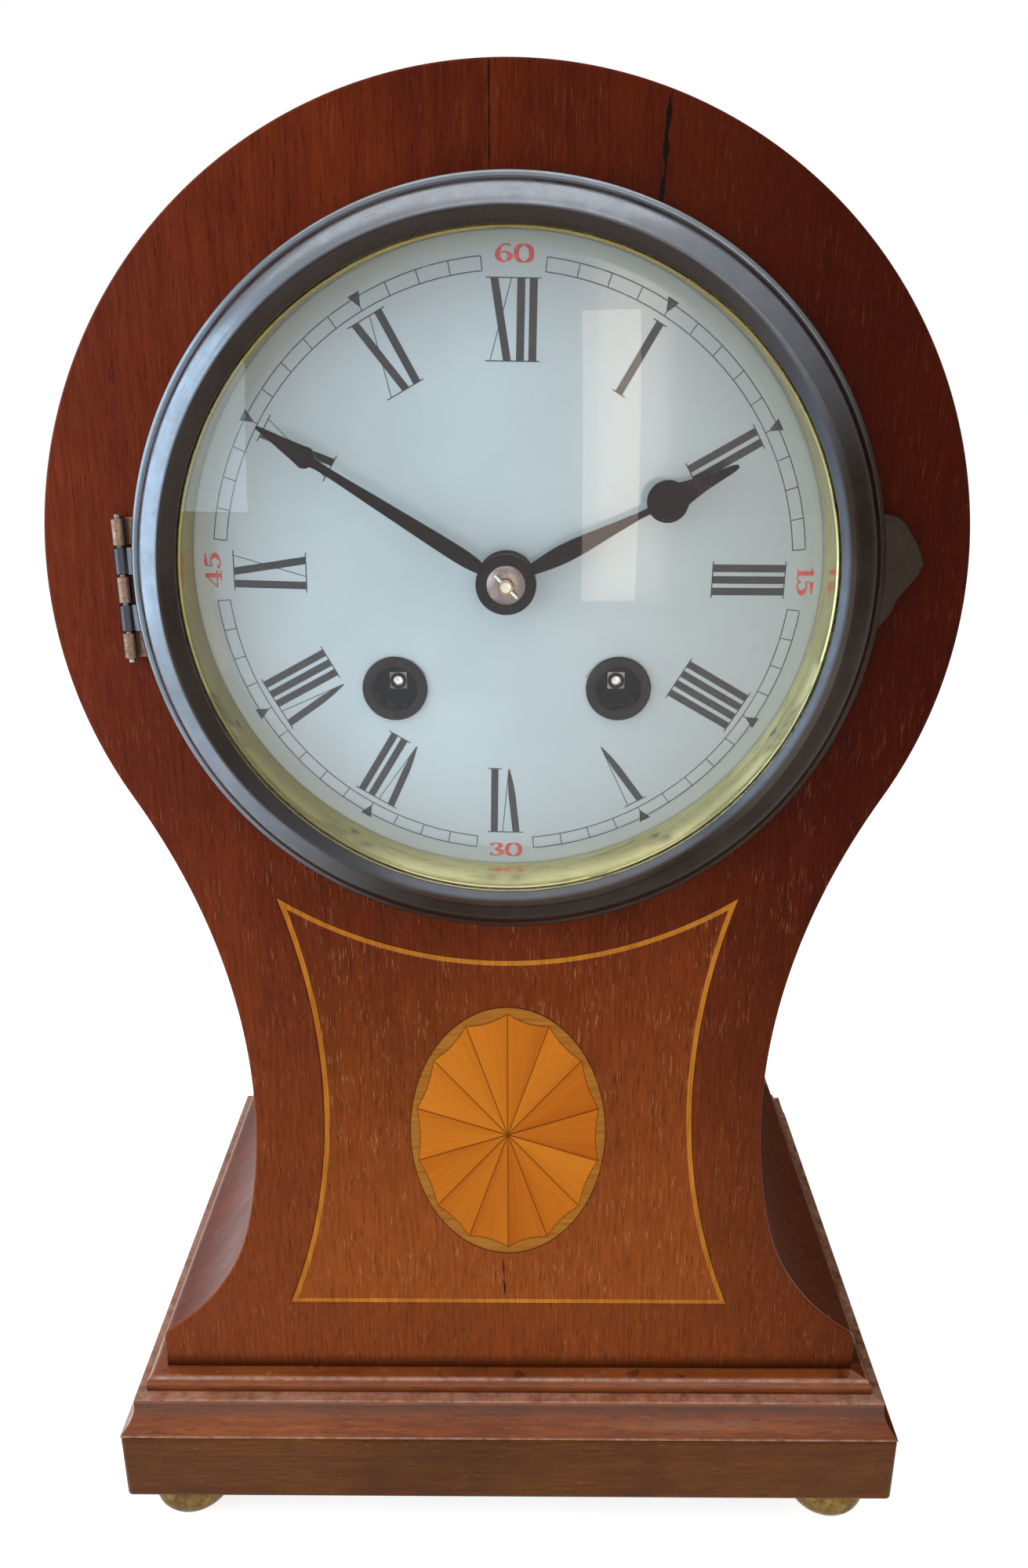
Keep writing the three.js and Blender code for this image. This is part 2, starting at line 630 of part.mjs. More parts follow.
const outline = balloon(0);
const aperture = circle(0, DIAL_RISE, APERTURE_RADIUS, ROUND);
const boardDepth = VENEER + GLUE_LINE;
const bandDepth = boardDepth + FRONT_BOARD + GLUE_LINE;
const backDepth = BODY_DEPTH - BACK_BOARD;
const bandThickness = backDepth - GLUE_LINE - bandDepth;
const stringEdge = STRING_WIDTH / 2;
piece(body, "front_veneer", plate(outline, 0, VENEER, [aperture, panel(stringEdge + GLUE_LINE)]), mahogany);
piece(body, "stringing", plate(panel(stringEdge), 0, VENEER, [panel(-stringEdge)]), boxwood);
piece(body, "panel_veneer", plate(panel(-stringEdge - GLUE_LINE), 0, VENEER, [fanOval(GLUE_LINE)]), mahogany);
piece(body, "fan_inlay", plate(fanOval(0), 0, VENEER), satinwood);
piece(body, "front_board", plate(outline, boardDepth, FRONT_BOARD, [aperture]), carcase);
const bandOutline = [...outline, ...balloon(BAND_WALL).reverse()];
piece(body, "case_band", plate(bandOutline, bandDepth, bandThickness), mahogany);
const backHole = circle(0, DIAL_RISE, BACK_HOLE_RADIUS, HIDDEN_ROUND);
piece(body, "back_board", plate(outline, backDepth, BACK_BOARD, [backHole]), mahogany);

// Dial and movement: drawn from the centre of the dial in the plane of the front veneer, depth along +Y
const works = new THREE.Group();
works.position.set(0, 0, DIAL_RISE);
body.add(works);

// Knuckles of a hinge with a vertical pin: those of the given parity, each with its bore
function knuckles(x, depth, count, top, length, parity) {
  const pitch = length / count;
  return Array.from({ length: count }, (_, i) => i)
    .filter((i) => i % 2 === parity)
    .map((i) => ({ top: top - i * pitch - RUN_GAP, bottom: top - (i + 1) * pitch + RUN_GAP }))
    .map((span) => ({
      ...span,
      barrel: upright(rod(KNUCKLE_RADIUS, span.bottom, span.top)).translate(x, depth, 0),
    }));
}
const hingeBore = (x, depth, top, length) =>
  upright(rod(HINGE_PIN_RADIUS + RUN_GAP, top - length - OVERRUN, top + OVERRUN)).translate(x, depth, 0);
const hingePin = (x, depth, top, length) =>
  upright(rod(HINGE_PIN_RADIUS, top - length - HINGE_PIN_END, top + HINGE_PIN_END)).translate(x, depth, 0);

// Dial pan with the fixed knuckles of the bezel hinge
const hingeX = -(BEZEL_RADIUS + KNUCKLE_RADIUS + RUN_GAP);
const hinge = [hingeX, -HINGE_FRONT];
const panProfile = [
  [PAN_BORE, -PAN_SHEET - GLUE_LINE],
  [PAN_FLANGE_RADIUS, -PAN_SHEET - GLUE_LINE],
  [PAN_FLANGE_RADIUS, -GLUE_LINE],
  [PAN_RADIUS, -GLUE_LINE],
  [PAN_RADIUS, PAN_FLOOR_DEPTH + PAN_SHEET],
  [PAN_FLOOR_RADIUS, PAN_FLOOR_DEPTH + PAN_SHEET],
  [PAN_FLOOR_RADIUS, PAN_FLOOR_DEPTH],
  [PAN_BORE, PAN_FLOOR_DEPTH],
];
const fixedKnuckles = knuckles(...hinge, HINGE_KNUCKLES, HINGE_TOP, HINGE_LENGTH, 0);
const fixedLeaves = fixedKnuckles.flatMap(({ top, bottom, barrel }) => [
  barrel,
  block([hingeX - KNUCKLE_WEB, hingeX + KNUCKLE_WEB], [-HINGE_FRONT, -GLUE_LINE], [bottom, top]),
  block([hingeX, hingeX + LEAF_REACH + KNUCKLE_RADIUS], [-PAN_SHEET - GLUE_LINE, -GLUE_LINE], [bottom, top]),
]);
const pan = cut(joined(turned(panProfile), ...fixedLeaves), hingeBore(...hinge, HINGE_TOP, HINGE_LENGTH));
piece(works, "dial_pan", pan, brass);
piece(works, "bezel_hinge_pin", hingePin(...hinge, HINGE_TOP, HINGE_LENGTH), steel);

// Bezel with its own knuckles, glass, and the sight ring that holds the glass in
const coveStart = BEZEL_RADIUS - BEAD_WIDTH;
const bezelBore = GLASS_RADIUS + SEAT_GAP;
const bezelProfile = [
  [BEZEL_RADIUS, BEZEL_BACK],
  [BEZEL_RADIUS, -BEZEL_RIM],
  [BEZEL_RADIUS - BEAD_WIDTH / 2, -BEZEL_RIM - BEAD_RISE],
  [coveStart, -BEZEL_RIM],
  ...Array.from({ length: COVE_STEPS - 1 }, (_, i) => {
    const share = (i + 1) / COVE_STEPS;
    const bow = COVE_SAG * Math.sin(Math.PI * share);
    return [
      THREE.MathUtils.lerp(coveStart, ARRIS_RADIUS, share) + bow,
      -THREE.MathUtils.lerp(BEZEL_RIM, ARRIS_FRONT, share) - bow,
    ];
  }),
  [ARRIS_RADIUS, -ARRIS_FRONT],
  [LIP_RADIUS, -LIP_FRONT],
  [LIP_RADIUS, LIP_BACK],
  [bezelBore, LIP_BACK],
  [bezelBore, BEZEL_BACK],
];
const bezelKnuckles = knuckles(...hinge, HINGE_KNUCKLES, HINGE_TOP, HINGE_LENGTH, 1);
const bezelLeaves = bezelKnuckles.flatMap(({ top, bottom, barrel }) => [
  barrel,
  block([hingeX, hingeX + LEAF_REACH], [-BEZEL_RIM, BEZEL_BACK - RUN_GAP], [bottom, top]),
]);
const bezel = cut(joined(turned(bezelProfile), ...bezelLeaves), hingeBore(...hinge, HINGE_TOP, HINGE_LENGTH));
piece(works, "bezel", bezel, agedBrass);

function domed(radius, edge, rise) {
  return Array.from({ length: LENS_RINGS + 1 }, (_, i) => {
    const share = i / LENS_RINGS;
    return [radius * share, edge - rise * (1 - share ** 2)];
  });
}
const glassProfile = [
  ...domed(GLASS_RADIUS, GLASS_EDGE, GLASS_RISE),
  ...domed(GLASS_RADIUS, GLASS_EDGE + GLASS_THICKNESS, GLASS_RISE).reverse(),
];
piece(works, "bezel_glass", turned(glassProfile), glass);

const sightFront = GLASS_EDGE + GLASS_THICKNESS + SEAT_GAP;
const sightBack = DIAL_EDGE_DEPTH - SEAT_GAP - RUN_GAP;
piece(works, "sight_ring", tube(GLASS_RADIUS, SIGHT_RADIUS, sightFront, sightBack, ROUND), gilt);

const tabSeat = BEZEL_RADIUS + RUN_GAP;
const tabRoot = arc(0, 0, tabSeat, Math.asin(TAB_BOTTOM / tabSeat), Math.asin(TAB_TOP / tabSeat));
const tabTip = new THREE.Vector2(BEZEL_RADIUS + TAB_REACH, TAB_TIP_RISE);
const tabOutline = [...tabRoot.reverse(), tabTip];
piece(works, "bezel_tab", plate(tabOutline, -BEZEL_RIM, TAB_THICKNESS), agedBrass);

// Dial and its collets
const dialDepth = (radius) => DIAL_EDGE_DEPTH - DIAL_DOME * (1 - (radius / DIAL_RADIUS) ** 2);
const centreHole = CENTRE_COLLET_BORE + COLLET_WALL + RUN_GAP;
const dialRing = (offset) =>
  Array.from({ length: LENS_RINGS + 1 }, (_, i) => {
    const radius = THREE.MathUtils.lerp(centreHole, DIAL_RADIUS, i / LENS_RINGS);
    return [radius, dialDepth(radius) + offset];
  });
const dialBlank = turned([...dialRing(0), ...dialRing(DIAL_THICKNESS).reverse()]);
const windingRadius = WINDING_COLLET_BORE + COLLET_WALL + RUN_GAP;
const windingHoles = [-1, 1].map((side) =>
  rod(windingRadius, 0, PAN_FLOOR_DEPTH, SMALL_ROUND).translate(side * WINDING_X, 0, WINDING_Z),
);
piece(works, "dial", cut(dialBlank, ...windingHoles), enamel);

function collet(radius, bore, reach) {
  const seat = dialDepth(Math.max(0, reach - radius)) - GLUE_LINE;
  const lip = seat - COLLET_LIP;
  return turned(
    [
      [bore, seat + DIAL_THICKNESS + COLLET_LIP],
      [bore, lip],
      [radius - COLLET_WALL, lip],
      [radius, lip + COLLET_LIP / 2],
      [radius, seat],
      [bore + COLLET_WALL, seat],
      [bore + COLLET_WALL, seat + DIAL_THICKNESS + COLLET_LIP],
    ],
    SMALL_ROUND,
  );
}
const windingReach = Math.hypot(WINDING_X, WINDING_Z);
for (const [side, sign] of [["left", -1], ["right", 1]]) {
  const ring = collet(WINDING_COLLET_RADIUS, WINDING_COLLET_BORE, windingReach);
  piece(works, `winding_collet_${side}`, ring, bronze, sign * WINDING_X, WINDING_Z);
}
piece(works, "centre_collet", collet(CENTRE_COLLET_RADIUS, CENTRE_COLLET_BORE, 0), bronze);

// Hands, drawn pointing at twelve from [radius, half-width] stations along one edge
function hand(edge, front, bossRadius, bore) {
  const right = edge.map(([radius, halfWidth]) => new THREE.Vector2(halfWidth, radius));
  const left = right.map(({ x, y }) => new THREE.Vector2(-x, y)).reverse();
  const boss = rod(bossRadius, front, front + HAND_THICKNESS, SMALL_ROUND);
  const whole = joined(plate([...right, ...left], front, HAND_THICKNESS), boss);
  return cut(whole, rod(bore, front - OVERRUN, front + HAND_THICKNESS + OVERRUN, SMALL_ROUND));
}

function smooth(stations, divisions) {
  const curve = new THREE.SplineCurve(stations.map(([radius, width]) => new THREE.Vector2(radius, width)));
  return curve.getPoints(divisions).map(({ x, y }) => [x, y]);
}
const spadeTurn = Math.PI - Math.asin(HOUR_NECK_HALF_WIDTH / HOUR_SPADE_RADIUS);
const spadeEnd = polar(HOUR_SPADE_RADIUS, degrees(HOUR_SPADE_END));
const spadeArc = arc(
  HOUR_SPADE_CENTRE,
  0,
  HOUR_SPADE_RADIUS,
  spadeTurn,
  degrees(HOUR_SPADE_END),
  HOUR_SPADE_STEPS,
);
const hourEdge = [
  ...smooth(
    [
      [HOUR_BOSS_RADIUS - HAND_ROOT_SINK, HOUR_ROOT_HALF_WIDTH],
      [HOUR_LEAF_RADIUS, HOUR_LEAF_HALF_WIDTH],
      [(HOUR_LEAF_RADIUS + HOUR_SPADE_CENTRE) / 2, HOUR_STEM_HALF_WIDTH],
      [HOUR_SPADE_CENTRE - HOUR_NECK_SETBACK, HOUR_NECK_HALF_WIDTH],
    ],
    HOUR_STEM_STEPS,
  ),
  ...spadeArc.map(({ x, y }) => [x, y]),
  ...smooth(
    [
      [HOUR_SPADE_CENTRE + spadeEnd.x, spadeEnd.y],
      [HOUR_SPADE_CENTRE + spadeEnd.x + HOUR_POINT_RUN, HOUR_POINT_HALF_WIDTH],
      [HOUR_TIP, HOUR_TIP_HALF_WIDTH],
    ],
    HOUR_POINT_STEPS,
  ).slice(1),
];
const minuteEdge = [
  [MINUTE_BOSS_RADIUS - HAND_ROOT_SINK, MINUTE_ROOT_HALF_WIDTH],
  [MINUTE_LEAF_RADIUS, MINUTE_LEAF_HALF_WIDTH],
  [MINUTE_STEM_RADIUS, MINUTE_STEM_HALF_WIDTH],
  [MINUTE_SPADE_RADIUS - MINUTE_NECK_SETBACK, MINUTE_NECK_HALF_WIDTH],
  [MINUTE_SPADE_RADIUS - MINUTE_CHEEK_BELOW, MINUTE_CHEEK_HALF_WIDTH],
  [MINUTE_SPADE_RADIUS, MINUTE_SPADE_HALF_WIDTH],
  [MINUTE_SPADE_RADIUS + MINUTE_CHEEK_ABOVE, MINUTE_CHEEK_HALF_WIDTH],
  [MINUTE_TIP, MINUTE_TIP_HALF_WIDTH],
];
const hourHand = hand(hourEdge, HOUR_HAND_FRONT, HOUR_BOSS_RADIUS, HOUR_PIPE_RADIUS + RUN_GAP);
piece(works, "hour_hand", hourHand, bluedSteel).rotation.y = degrees(HOUR_ANGLE);
const minuteHand = hand(minuteEdge, MINUTE_HAND_FRONT, MINUTE_BOSS_RADIUS, CANNON_RADIUS + RUN_GAP);
piece(works, "minute_hand", minuteHand, bluedSteel).rotation.y = degrees(MINUTE_ANGLE);

const washerBack = MINUTE_HAND_FRONT - GLUE_LINE;
const washerBore = CENTRE_ARBOR_RADIUS + RUN_GAP;
const washerProfile = [
  [washerBore, washerBack],
  [WASHER_RADIUS, washerBack],
  [WASHER_RADIUS, washerBack - WASHER_RISE / 3],
  [(WASHER_RADIUS + washerBore) / 2, washerBack - WASHER_RISE],
  [washerBore, washerBack - WASHER_RISE],
];
piece(works, "hand_washer", turned(washerProfile, SMALL_ROUND), bronze);
const crossRod = (radius, length) =>
  upright(rod(radius, -length / 2, length / 2)).rotateY(-Math.PI / 4).translate(0, TAPER_PIN_DEPTH, 0);
piece(works, "hand_pin", crossRod(TAPER_PIN_RADIUS, TAPER_PIN_LENGTH), steel);

// Gears: the phase is the angle of one tooth
function gear({ teeth, module }, depth, thickness, phase, bore = 0) {
  const pitch = (2 * Math.PI) / teeth;
  const tip = module * (teeth / 2 + TOOTH_ADDENDUM);
  const root = module * (teeth / 2 - TOOTH_DEDENDUM);
  const outline = Array.from({ length: teeth }, (_, i) => [
    polar(root, phase + (i - 0.5) * pitch),
    polar(tip, phase + i * pitch),
  ]).flat();
  return plate(outline, depth, thickness, bore ? [circle(0, 0, bore, SMALL_ROUND)] : []);
}
const wheelOf = ({ wheel, module }) => ({ teeth: wheel, module });
const pinionOf = ({ pinion, module }) => ({ teeth: pinion, module });
const reachOf = ({ wheel, pinion, module }) => (module * (wheel + pinion)) / 2 + MESH_SLACK;
const bearing = (from, to) => to.clone().sub(from).angle();
const gapFacing = (teeth, angle) => angle + Math.PI + Math.PI / teeth;

// Where each arbor stands on the plates, in X and Z
const centre = new THREE.Vector2(0, 0);
const goingBarrel = new THREE.Vector2(WINDING_X, WINDING_Z);
const strikeBarrel = new THREE.Vector2(-WINDING_X, WINDING_Z);
const intermediate = meeting(centre, reachOf(CENTRE_PAIR), goingBarrel, reachOf(BARREL_PAIR), 1);
const strikeWheel = new THREE.Vector2(-intermediate.x, intermediate.y);
const third = polar(reachOf(THIRD_PAIR), degrees(THIRD_ANGLE));
const escape = new THREE.Vector2(0, third.y + Math.sqrt(reachOf(ESCAPE_PAIR) ** 2 - third.x ** 2));
const pallets = new THREE.Vector2(0, escape.y + Math.SQRT2 * ESCAPE_RADIUS);
const minuteWheel = polar(reachOf(CANNON_PAIR), degrees(MINUTE_WHEEL_ANGLE));
const hammer = new THREE.Vector2(HAMMER_X, HAMMER_Z);

// An arbor between the plates, with a pivot in each
function arbor(radius, pivots = true) {
  const from = FRONT_PLATE_BACK + SEAT_GAP;
  const to = BACK_PLATE_DEPTH - SEAT_GAP;
  const shaft = rod(radius, from, to);
  if (!pivots) return shaft;
  return joined(shaft, rod(PIVOT_RADIUS, from - SEAT_GAP - PIVOT_LENGTH, to + SEAT_GAP + PIVOT_LENGTH));
}

// Plates: the front plate carries the pillars, whose noses stand on the floor of the pan
const pivotHole = ({ x, y }, radius = PIVOT_RADIUS) => circle(x, y, radius + RUN_GAP, TINY_ROUND);
const trainHoles = [third, escape, intermediate, strikeWheel].map((place) => pivotHole(place));
const windingBores = [goingBarrel, strikeBarrel].map(({ x, y }) =>
  circle(x, y, WINDING_ARBOR_RADIUS + RUN_GAP, SMALL_ROUND),
);
const pillarPlaces = PILLAR_ANGLES.map((angle) => polar(PILLAR_CIRCLE, degrees(angle)));
const pillarTip = BACK_PLATE_DEPTH - GLUE_LINE;
const noseTip = PAN_FLOOR_DEPTH + PAN_SHEET + GLUE_LINE;
const pillars = pillarPlaces.flatMap(({ x, y }) => [
  rod(PILLAR_RADIUS, FRONT_PLATE_BACK - PLATE_THICKNESS / 2, pillarTip).translate(x, 0, y),
  rod(PILLAR_NOSE_RADIUS, noseTip, FRONT_PLATE_BACK - PLATE_THICKNESS / 2).translate(x, 0, y),
]);
const frontHoles = [
  ...trainHoles,
  ...windingBores,
  pivotHole(pallets),
  pivotHole(hammer),
  pivotHole(minuteWheel),
  circle(0, 0, CENTRE_ARBOR_RADIUS + RUN_GAP, SMALL_ROUND),
];
const plateOutline = circle(0, 0, PLATE_RADIUS, HIDDEN_ROUND);
const frontPlate = plate(plateOutline, FRONT_PLATE_DEPTH, PLATE_THICKNESS, frontHoles);
piece(works, "front_plate", joined(frontPlate, ...pillars), brass);
const backHoles = [
  ...trainHoles,
  ...windingBores,
  pivotHole(pallets, STOUT_ARBOR_RADIUS),
  pivotHole(hammer, STOUT_ARBOR_RADIUS),
  pivotHole(centre),
];
piece(works, "back_plate", plate(plateOutline, BACK_PLATE_DEPTH, PLATE_THICKNESS, backHoles), brass);

// Barrels, each turning on its winding arbor
function barrel(phase) {
  const bore = WINDING_ARBOR_RADIUS + RUN_GAP;
  const end = BARREL_DEPTH + BARREL_LENGTH;
  const drum = turned(
    [
      [bore, BARREL_DEPTH],
      [BARREL_RADIUS, BARREL_DEPTH],
      [BARREL_RADIUS, end],
      [bore, end],
      [bore, end - BARREL_WALL],
      [BARREL_RADIUS - BARREL_WALL, end - BARREL_WALL],
      [BARREL_RADIUS - BARREL_WALL, BARREL_DEPTH + BARREL_WALL],
      [bore, BARREL_DEPTH + BARREL_WALL],
    ],
    SMALL_ROUND,
  );
  const inner = BARREL_RADIUS - BARREL_WALL / 2;
  return joined(drum, gear(wheelOf(BARREL_PAIR), BARREL_DEPTH, GREAT_WHEEL_THICKNESS, phase, inner));
}

function windingArbor() {
  const half = WINDING_SQUARE / 2;
  const ratchetPitch = (2 * Math.PI) / RATCHET_TEETH;
  const ratchet = Array.from({ length: RATCHET_TEETH }, (_, i) => [
    polar(RATCHET_RADIUS, i * ratchetPitch),
    polar(RATCHET_ROOT_RADIUS, (i + RATCHET_LEAN) * ratchetPitch),
  ]).flat();
  return joined(
    rod(WINDING_ARBOR_RADIUS, RATCHET_DEPTH, BACK_PLATE_BACK, SMALL_ROUND),
    block([-half, half], [WINDING_END_DEPTH, RATCHET_DEPTH + OVERRUN], [-half, half]),
    plate(ratchet, RATCHET_DEPTH, WHEEL_THICKNESS),
  );
}
for (const [name, place, driven] of [
  ["going", goingBarrel, intermediate],
  ["strike", strikeBarrel, strikeWheel],
]) {
  piece(works, `${name}_barrel`, barrel(bearing(place, driven)), brass, place.x, place.y);
  piece(works, `${name}_winding_arbor`, windingArbor(), steel, place.x, place.y);
}

// Going train
const pinionAt = (pair, wheelDepth, facing) =>
  gear(
    pinionOf(pair),
    wheelDepth + (WHEEL_THICKNESS - PINION_LENGTH) / 2,
    PINION_LENGTH,
    gapFacing(pair.pinion, facing),
  );
const greatWheelMiddle = BARREL_DEPTH + (GREAT_WHEEL_THICKNESS - WHEEL_THICKNESS) / 2;
const greatPinion = (facing) => pinionAt(BARREL_PAIR, greatWheelMiddle, facing);
const intermediateGeometry = joined(
  arbor(STOUT_ARBOR_RADIUS),
  greatPinion(bearing(goingBarrel, intermediate)),
  gear(wheelOf(CENTRE_PAIR), INTERMEDIATE_WHEEL_DEPTH, WHEEL_THICKNESS, bearing(intermediate, centre)),
);
piece(works, "intermediate_wheel", intermediateGeometry, brass, intermediate.x, intermediate.y);

const centreShaft = cut(
  joined(
    rod(CENTRE_ARBOR_RADIUS, ARBOR_END, BACK_PLATE_DEPTH - SEAT_GAP),
    rod(PIVOT_RADIUS, BACK_PLATE_DEPTH - OVERRUN, BACK_PLATE_DEPTH + PIVOT_LENGTH),
  ),
  crossRod(TAPER_PIN_RADIUS + RUN_GAP, TAPER_PIN_LENGTH),
);
const centreGeometry = joined(
  centreShaft,
  pinionAt(CENTRE_PAIR, INTERMEDIATE_WHEEL_DEPTH, bearing(intermediate, centre)),
  gear(wheelOf(THIRD_PAIR), CENTRE_WHEEL_DEPTH, WHEEL_THICKNESS, bearing(centre, third)),
);
piece(works, "centre_wheel", centreGeometry, brass);

const thirdGeometry = joined(
  arbor(THIN_ARBOR_RADIUS),
  pinionAt(THIRD_PAIR, CENTRE_WHEEL_DEPTH, bearing(centre, third)),
  gear(wheelOf(ESCAPE_PAIR), THIRD_WHEEL_DEPTH, WHEEL_THICKNESS, bearing(third, escape)),
);
piece(works, "third_wheel", thirdGeometry, brass, third.x, third.y);

// The pallets stand a quarter of a pitch away from the teeth, so each swing brings one of them in
const escapePitch = (2 * Math.PI) / ESCAPE_TEETH;
const escapeOutline = Array.from({ length: ESCAPE_TEETH }, (_, i) => {
  const angle = Math.PI / 4 + (i + 0.25) * escapePitch;
  return [polar(ESCAPE_RADIUS, angle), polar(ESCAPE_RADIUS - ESCAPE_TOOTH, angle + escapePitch / 2)];
}).flat();
const escapeGeometry = joined(
  arbor(THIN_ARBOR_RADIUS),
  pinionAt(ESCAPE_PAIR, THIRD_WHEEL_DEPTH, bearing(third, escape)),
  plate(escapeOutline, ESCAPE_WHEEL_DEPTH, WHEEL_THICKNESS),
);
piece(works, "escape_wheel", escapeGeometry, brass, escape.x, escape.y);

// Pallet anchor, its arbor and the crutch that reaches down to the pendulum rod
function anchorOutline() {
  const drop = new THREE.Vector2(0, pallets.y - escape.y);
  const tip = polar(ESCAPE_RADIUS + PALLET_CLEARANCE, Math.PI / 4).sub(drop);
  const outward = polar(1, Math.PI / 4);
  const across = polar(1, -Math.PI / 4);
  const base = tip.clone().addScaledVector(outward, NIB_LENGTH);
  const right = [
    base.clone().addScaledVector(across, -NIB_HALF_WIDTH),
    tip.clone().addScaledVector(across, -NIB_HALF_WIDTH),
    tip.clone().addScaledVector(across, NIB_HALF_WIDTH),
    base.clone().addScaledVector(across, ANCHOR_ARM_HALF_WIDTH).addScaledVector(outward, NIB_LENGTH / 2),
  ];
  const left = right.map(({ x, y }) => new THREE.Vector2(-x, y)).reverse();
  return [new THREE.Vector2(0, -ANCHOR_HUB), ...right, new THREE.Vector2(0, ANCHOR_HUB), ...left];
}
const rodFront = ROD_DEPTH - ROD_HALF_WIDTH;
const rodBack = ROD_DEPTH + ROD_HALF_WIDTH;
const prongX = [ROD_HALF_WIDTH + SEAT_GAP, ROD_HALF_WIDTH + SEAT_GAP + CRUTCH_HALF_WIDTH];
const crutchX = [-CRUTCH_HALF_WIDTH, CRUTCH_HALF_WIDTH];
const crutchEnd = [-CRUTCH_LENGTH, -CRUTCH_LENGTH + PRONG_HEIGHT];
const crutchBack = CRUTCH_DEPTH + CRUTCH_THICKNESS;
const anchorGeometry = joined(
  rod(PIVOT_RADIUS, FRONT_PLATE_BACK - PIVOT_LENGTH, COCK_DEPTH + COCK_THICKNESS / 2),
  rod(STOUT_ARBOR_RADIUS, FRONT_PLATE_BACK + SEAT_GAP, COCK_DEPTH - SEAT_GAP),
  plate(anchorOutline(), ESCAPE_WHEEL_DEPTH, WHEEL_THICKNESS),
  block(crutchX, [CRUTCH_DEPTH, crutchBack], [-CRUTCH_LENGTH, CRUTCH_HALF_WIDTH]),
  block([-prongX[1], prongX[1]], [CRUTCH_DEPTH, crutchBack], crutchEnd),
  block(prongX, [CRUTCH_DEPTH, rodBack], crutchEnd),
  block([-prongX[1], -prongX[0]], [CRUTCH_DEPTH, rodBack], crutchEnd),
);
piece(works, "pallet_anchor", anchorGeometry, steel, pallets.x, pallets.y);

// Back cock: a bridge on the back plate, with the stud that the pendulum hangs from
const cockOutline = [
  [-COCK_HALF_WIDTH, COCK_BELOW],
  [-CHOP_HALF_WIDTH, -COCK_BELOW],
  [CHOP_HALF_WIDTH, -COCK_BELOW],
  [COCK_HALF_WIDTH, COCK_BELOW],
  [COCK_HALF_WIDTH, COCK_ABOVE],
  [-COCK_HALF_WIDTH, COCK_ABOVE],
].map(([x, z]) => new THREE.Vector2(x, z));
const cockFeet = [-1, 1].map((side) =>
  rod(COCK_FOOT_RADIUS, BACK_PLATE_BACK + GLUE_LINE, COCK_DEPTH + COCK_THICKNESS / 2, SMALL_ROUND).translate(
    side * COCK_FOOT_X,
    0,
    COCK_FOOT_RISE,
  ),
);
const stud = rod(STUD_RADIUS, COCK_DEPTH + COCK_THICKNESS / 2, COCK_DEPTH + STUD_LENGTH + COCK_THICKNESS);
const cockGeometry = joined(
  plate(cockOutline, COCK_DEPTH, COCK_THICKNESS, [pivotHole(centre)]),
  stud.translate(0, 0, STUD_RISE),
  ...cockFeet,
);
piece(works, "back_cock", cockGeometry, brass, pallets.x, pallets.y);

// Pendulum: chops, suspension spring and rod in one, with the bob resting on the rating nut
const bobSeat = -PENDULUM_LENGTH - BOB_RADIUS;
const rodEnd = bobSeat - SEAT_GAP - NUT_HEIGHT - ROD_TAIL;
const rodRight = [
  [ROD_HALF_WIDTH, rodEnd],
  [ROD_HALF_WIDTH, -SPRING_END - CHOP_HALF_HEIGHT],
  [CHOP_HALF_WIDTH / 2, -SPRING_END - CHOP_HALF_HEIGHT],
  [CHOP_HALF_WIDTH / 2, -SPRING_END],
  [SPRING_HALF_WIDTH, -SPRING_END],
  [SPRING_HALF_WIDTH, STUD_RISE - CHOP_HALF_HEIGHT],
  [CHOP_HALF_WIDTH, STUD_RISE - CHOP_HALF_HEIGHT],
  [CHOP_HALF_WIDTH, STUD_RISE + CHOP_HALF_HEIGHT],
].map(([x, z]) => new THREE.Vector2(x, z));
const rodOutline = [...rodRight, ...rodRight.map(({ x, y }) => new THREE.Vector2(-x, y)).reverse()];
const studHole = circle(0, STUD_RISE, CHOP_BORE, SMALL_ROUND);
const rodGeometry = plate(rodOutline, rodFront, 2 * ROD_HALF_WIDTH, [studHole]);
piece(works, "pendulum_rod", rodGeometry, steel, pallets.x, pallets.y);

const bobProfile = [
  [0, -BOB_HALF_THICKNESS],
  [BOB_RADIUS / 2, -BOB_SHOULDER],
  [BOB_RADIUS, -BOB_EDGE],
  [BOB_RADIUS, BOB_EDGE],
  [BOB_RADIUS / 2, BOB_SHOULDER],
  [0, BOB_HALF_THICKNESS],
];
const rodWay = ROD_HALF_WIDTH + RUN_GAP;
const bobWay = block([-rodWay, rodWay], [-rodWay, rodWay], [-BOB_RADIUS - OVERRUN, BOB_RADIUS + OVERRUN]);
const bob = cut(turned(bobProfile, ROUND / 2), bobWay).translate(0, ROD_DEPTH, 0);
piece(works, "pendulum_bob", bob, brass, pallets.x, pallets.y - PENDULUM_LENGTH);
const nutBore = Math.SQRT2 * ROD_HALF_WIDTH + SEAT_GAP;
const nut = upright(tube(NUT_RADIUS, nutBore, -SEAT_GAP - NUT_HEIGHT, -SEAT_GAP)).translate(0, ROD_DEPTH, 0);
piece(works, "rating_nut", nut, brass, pallets.x, pallets.y + bobSeat);

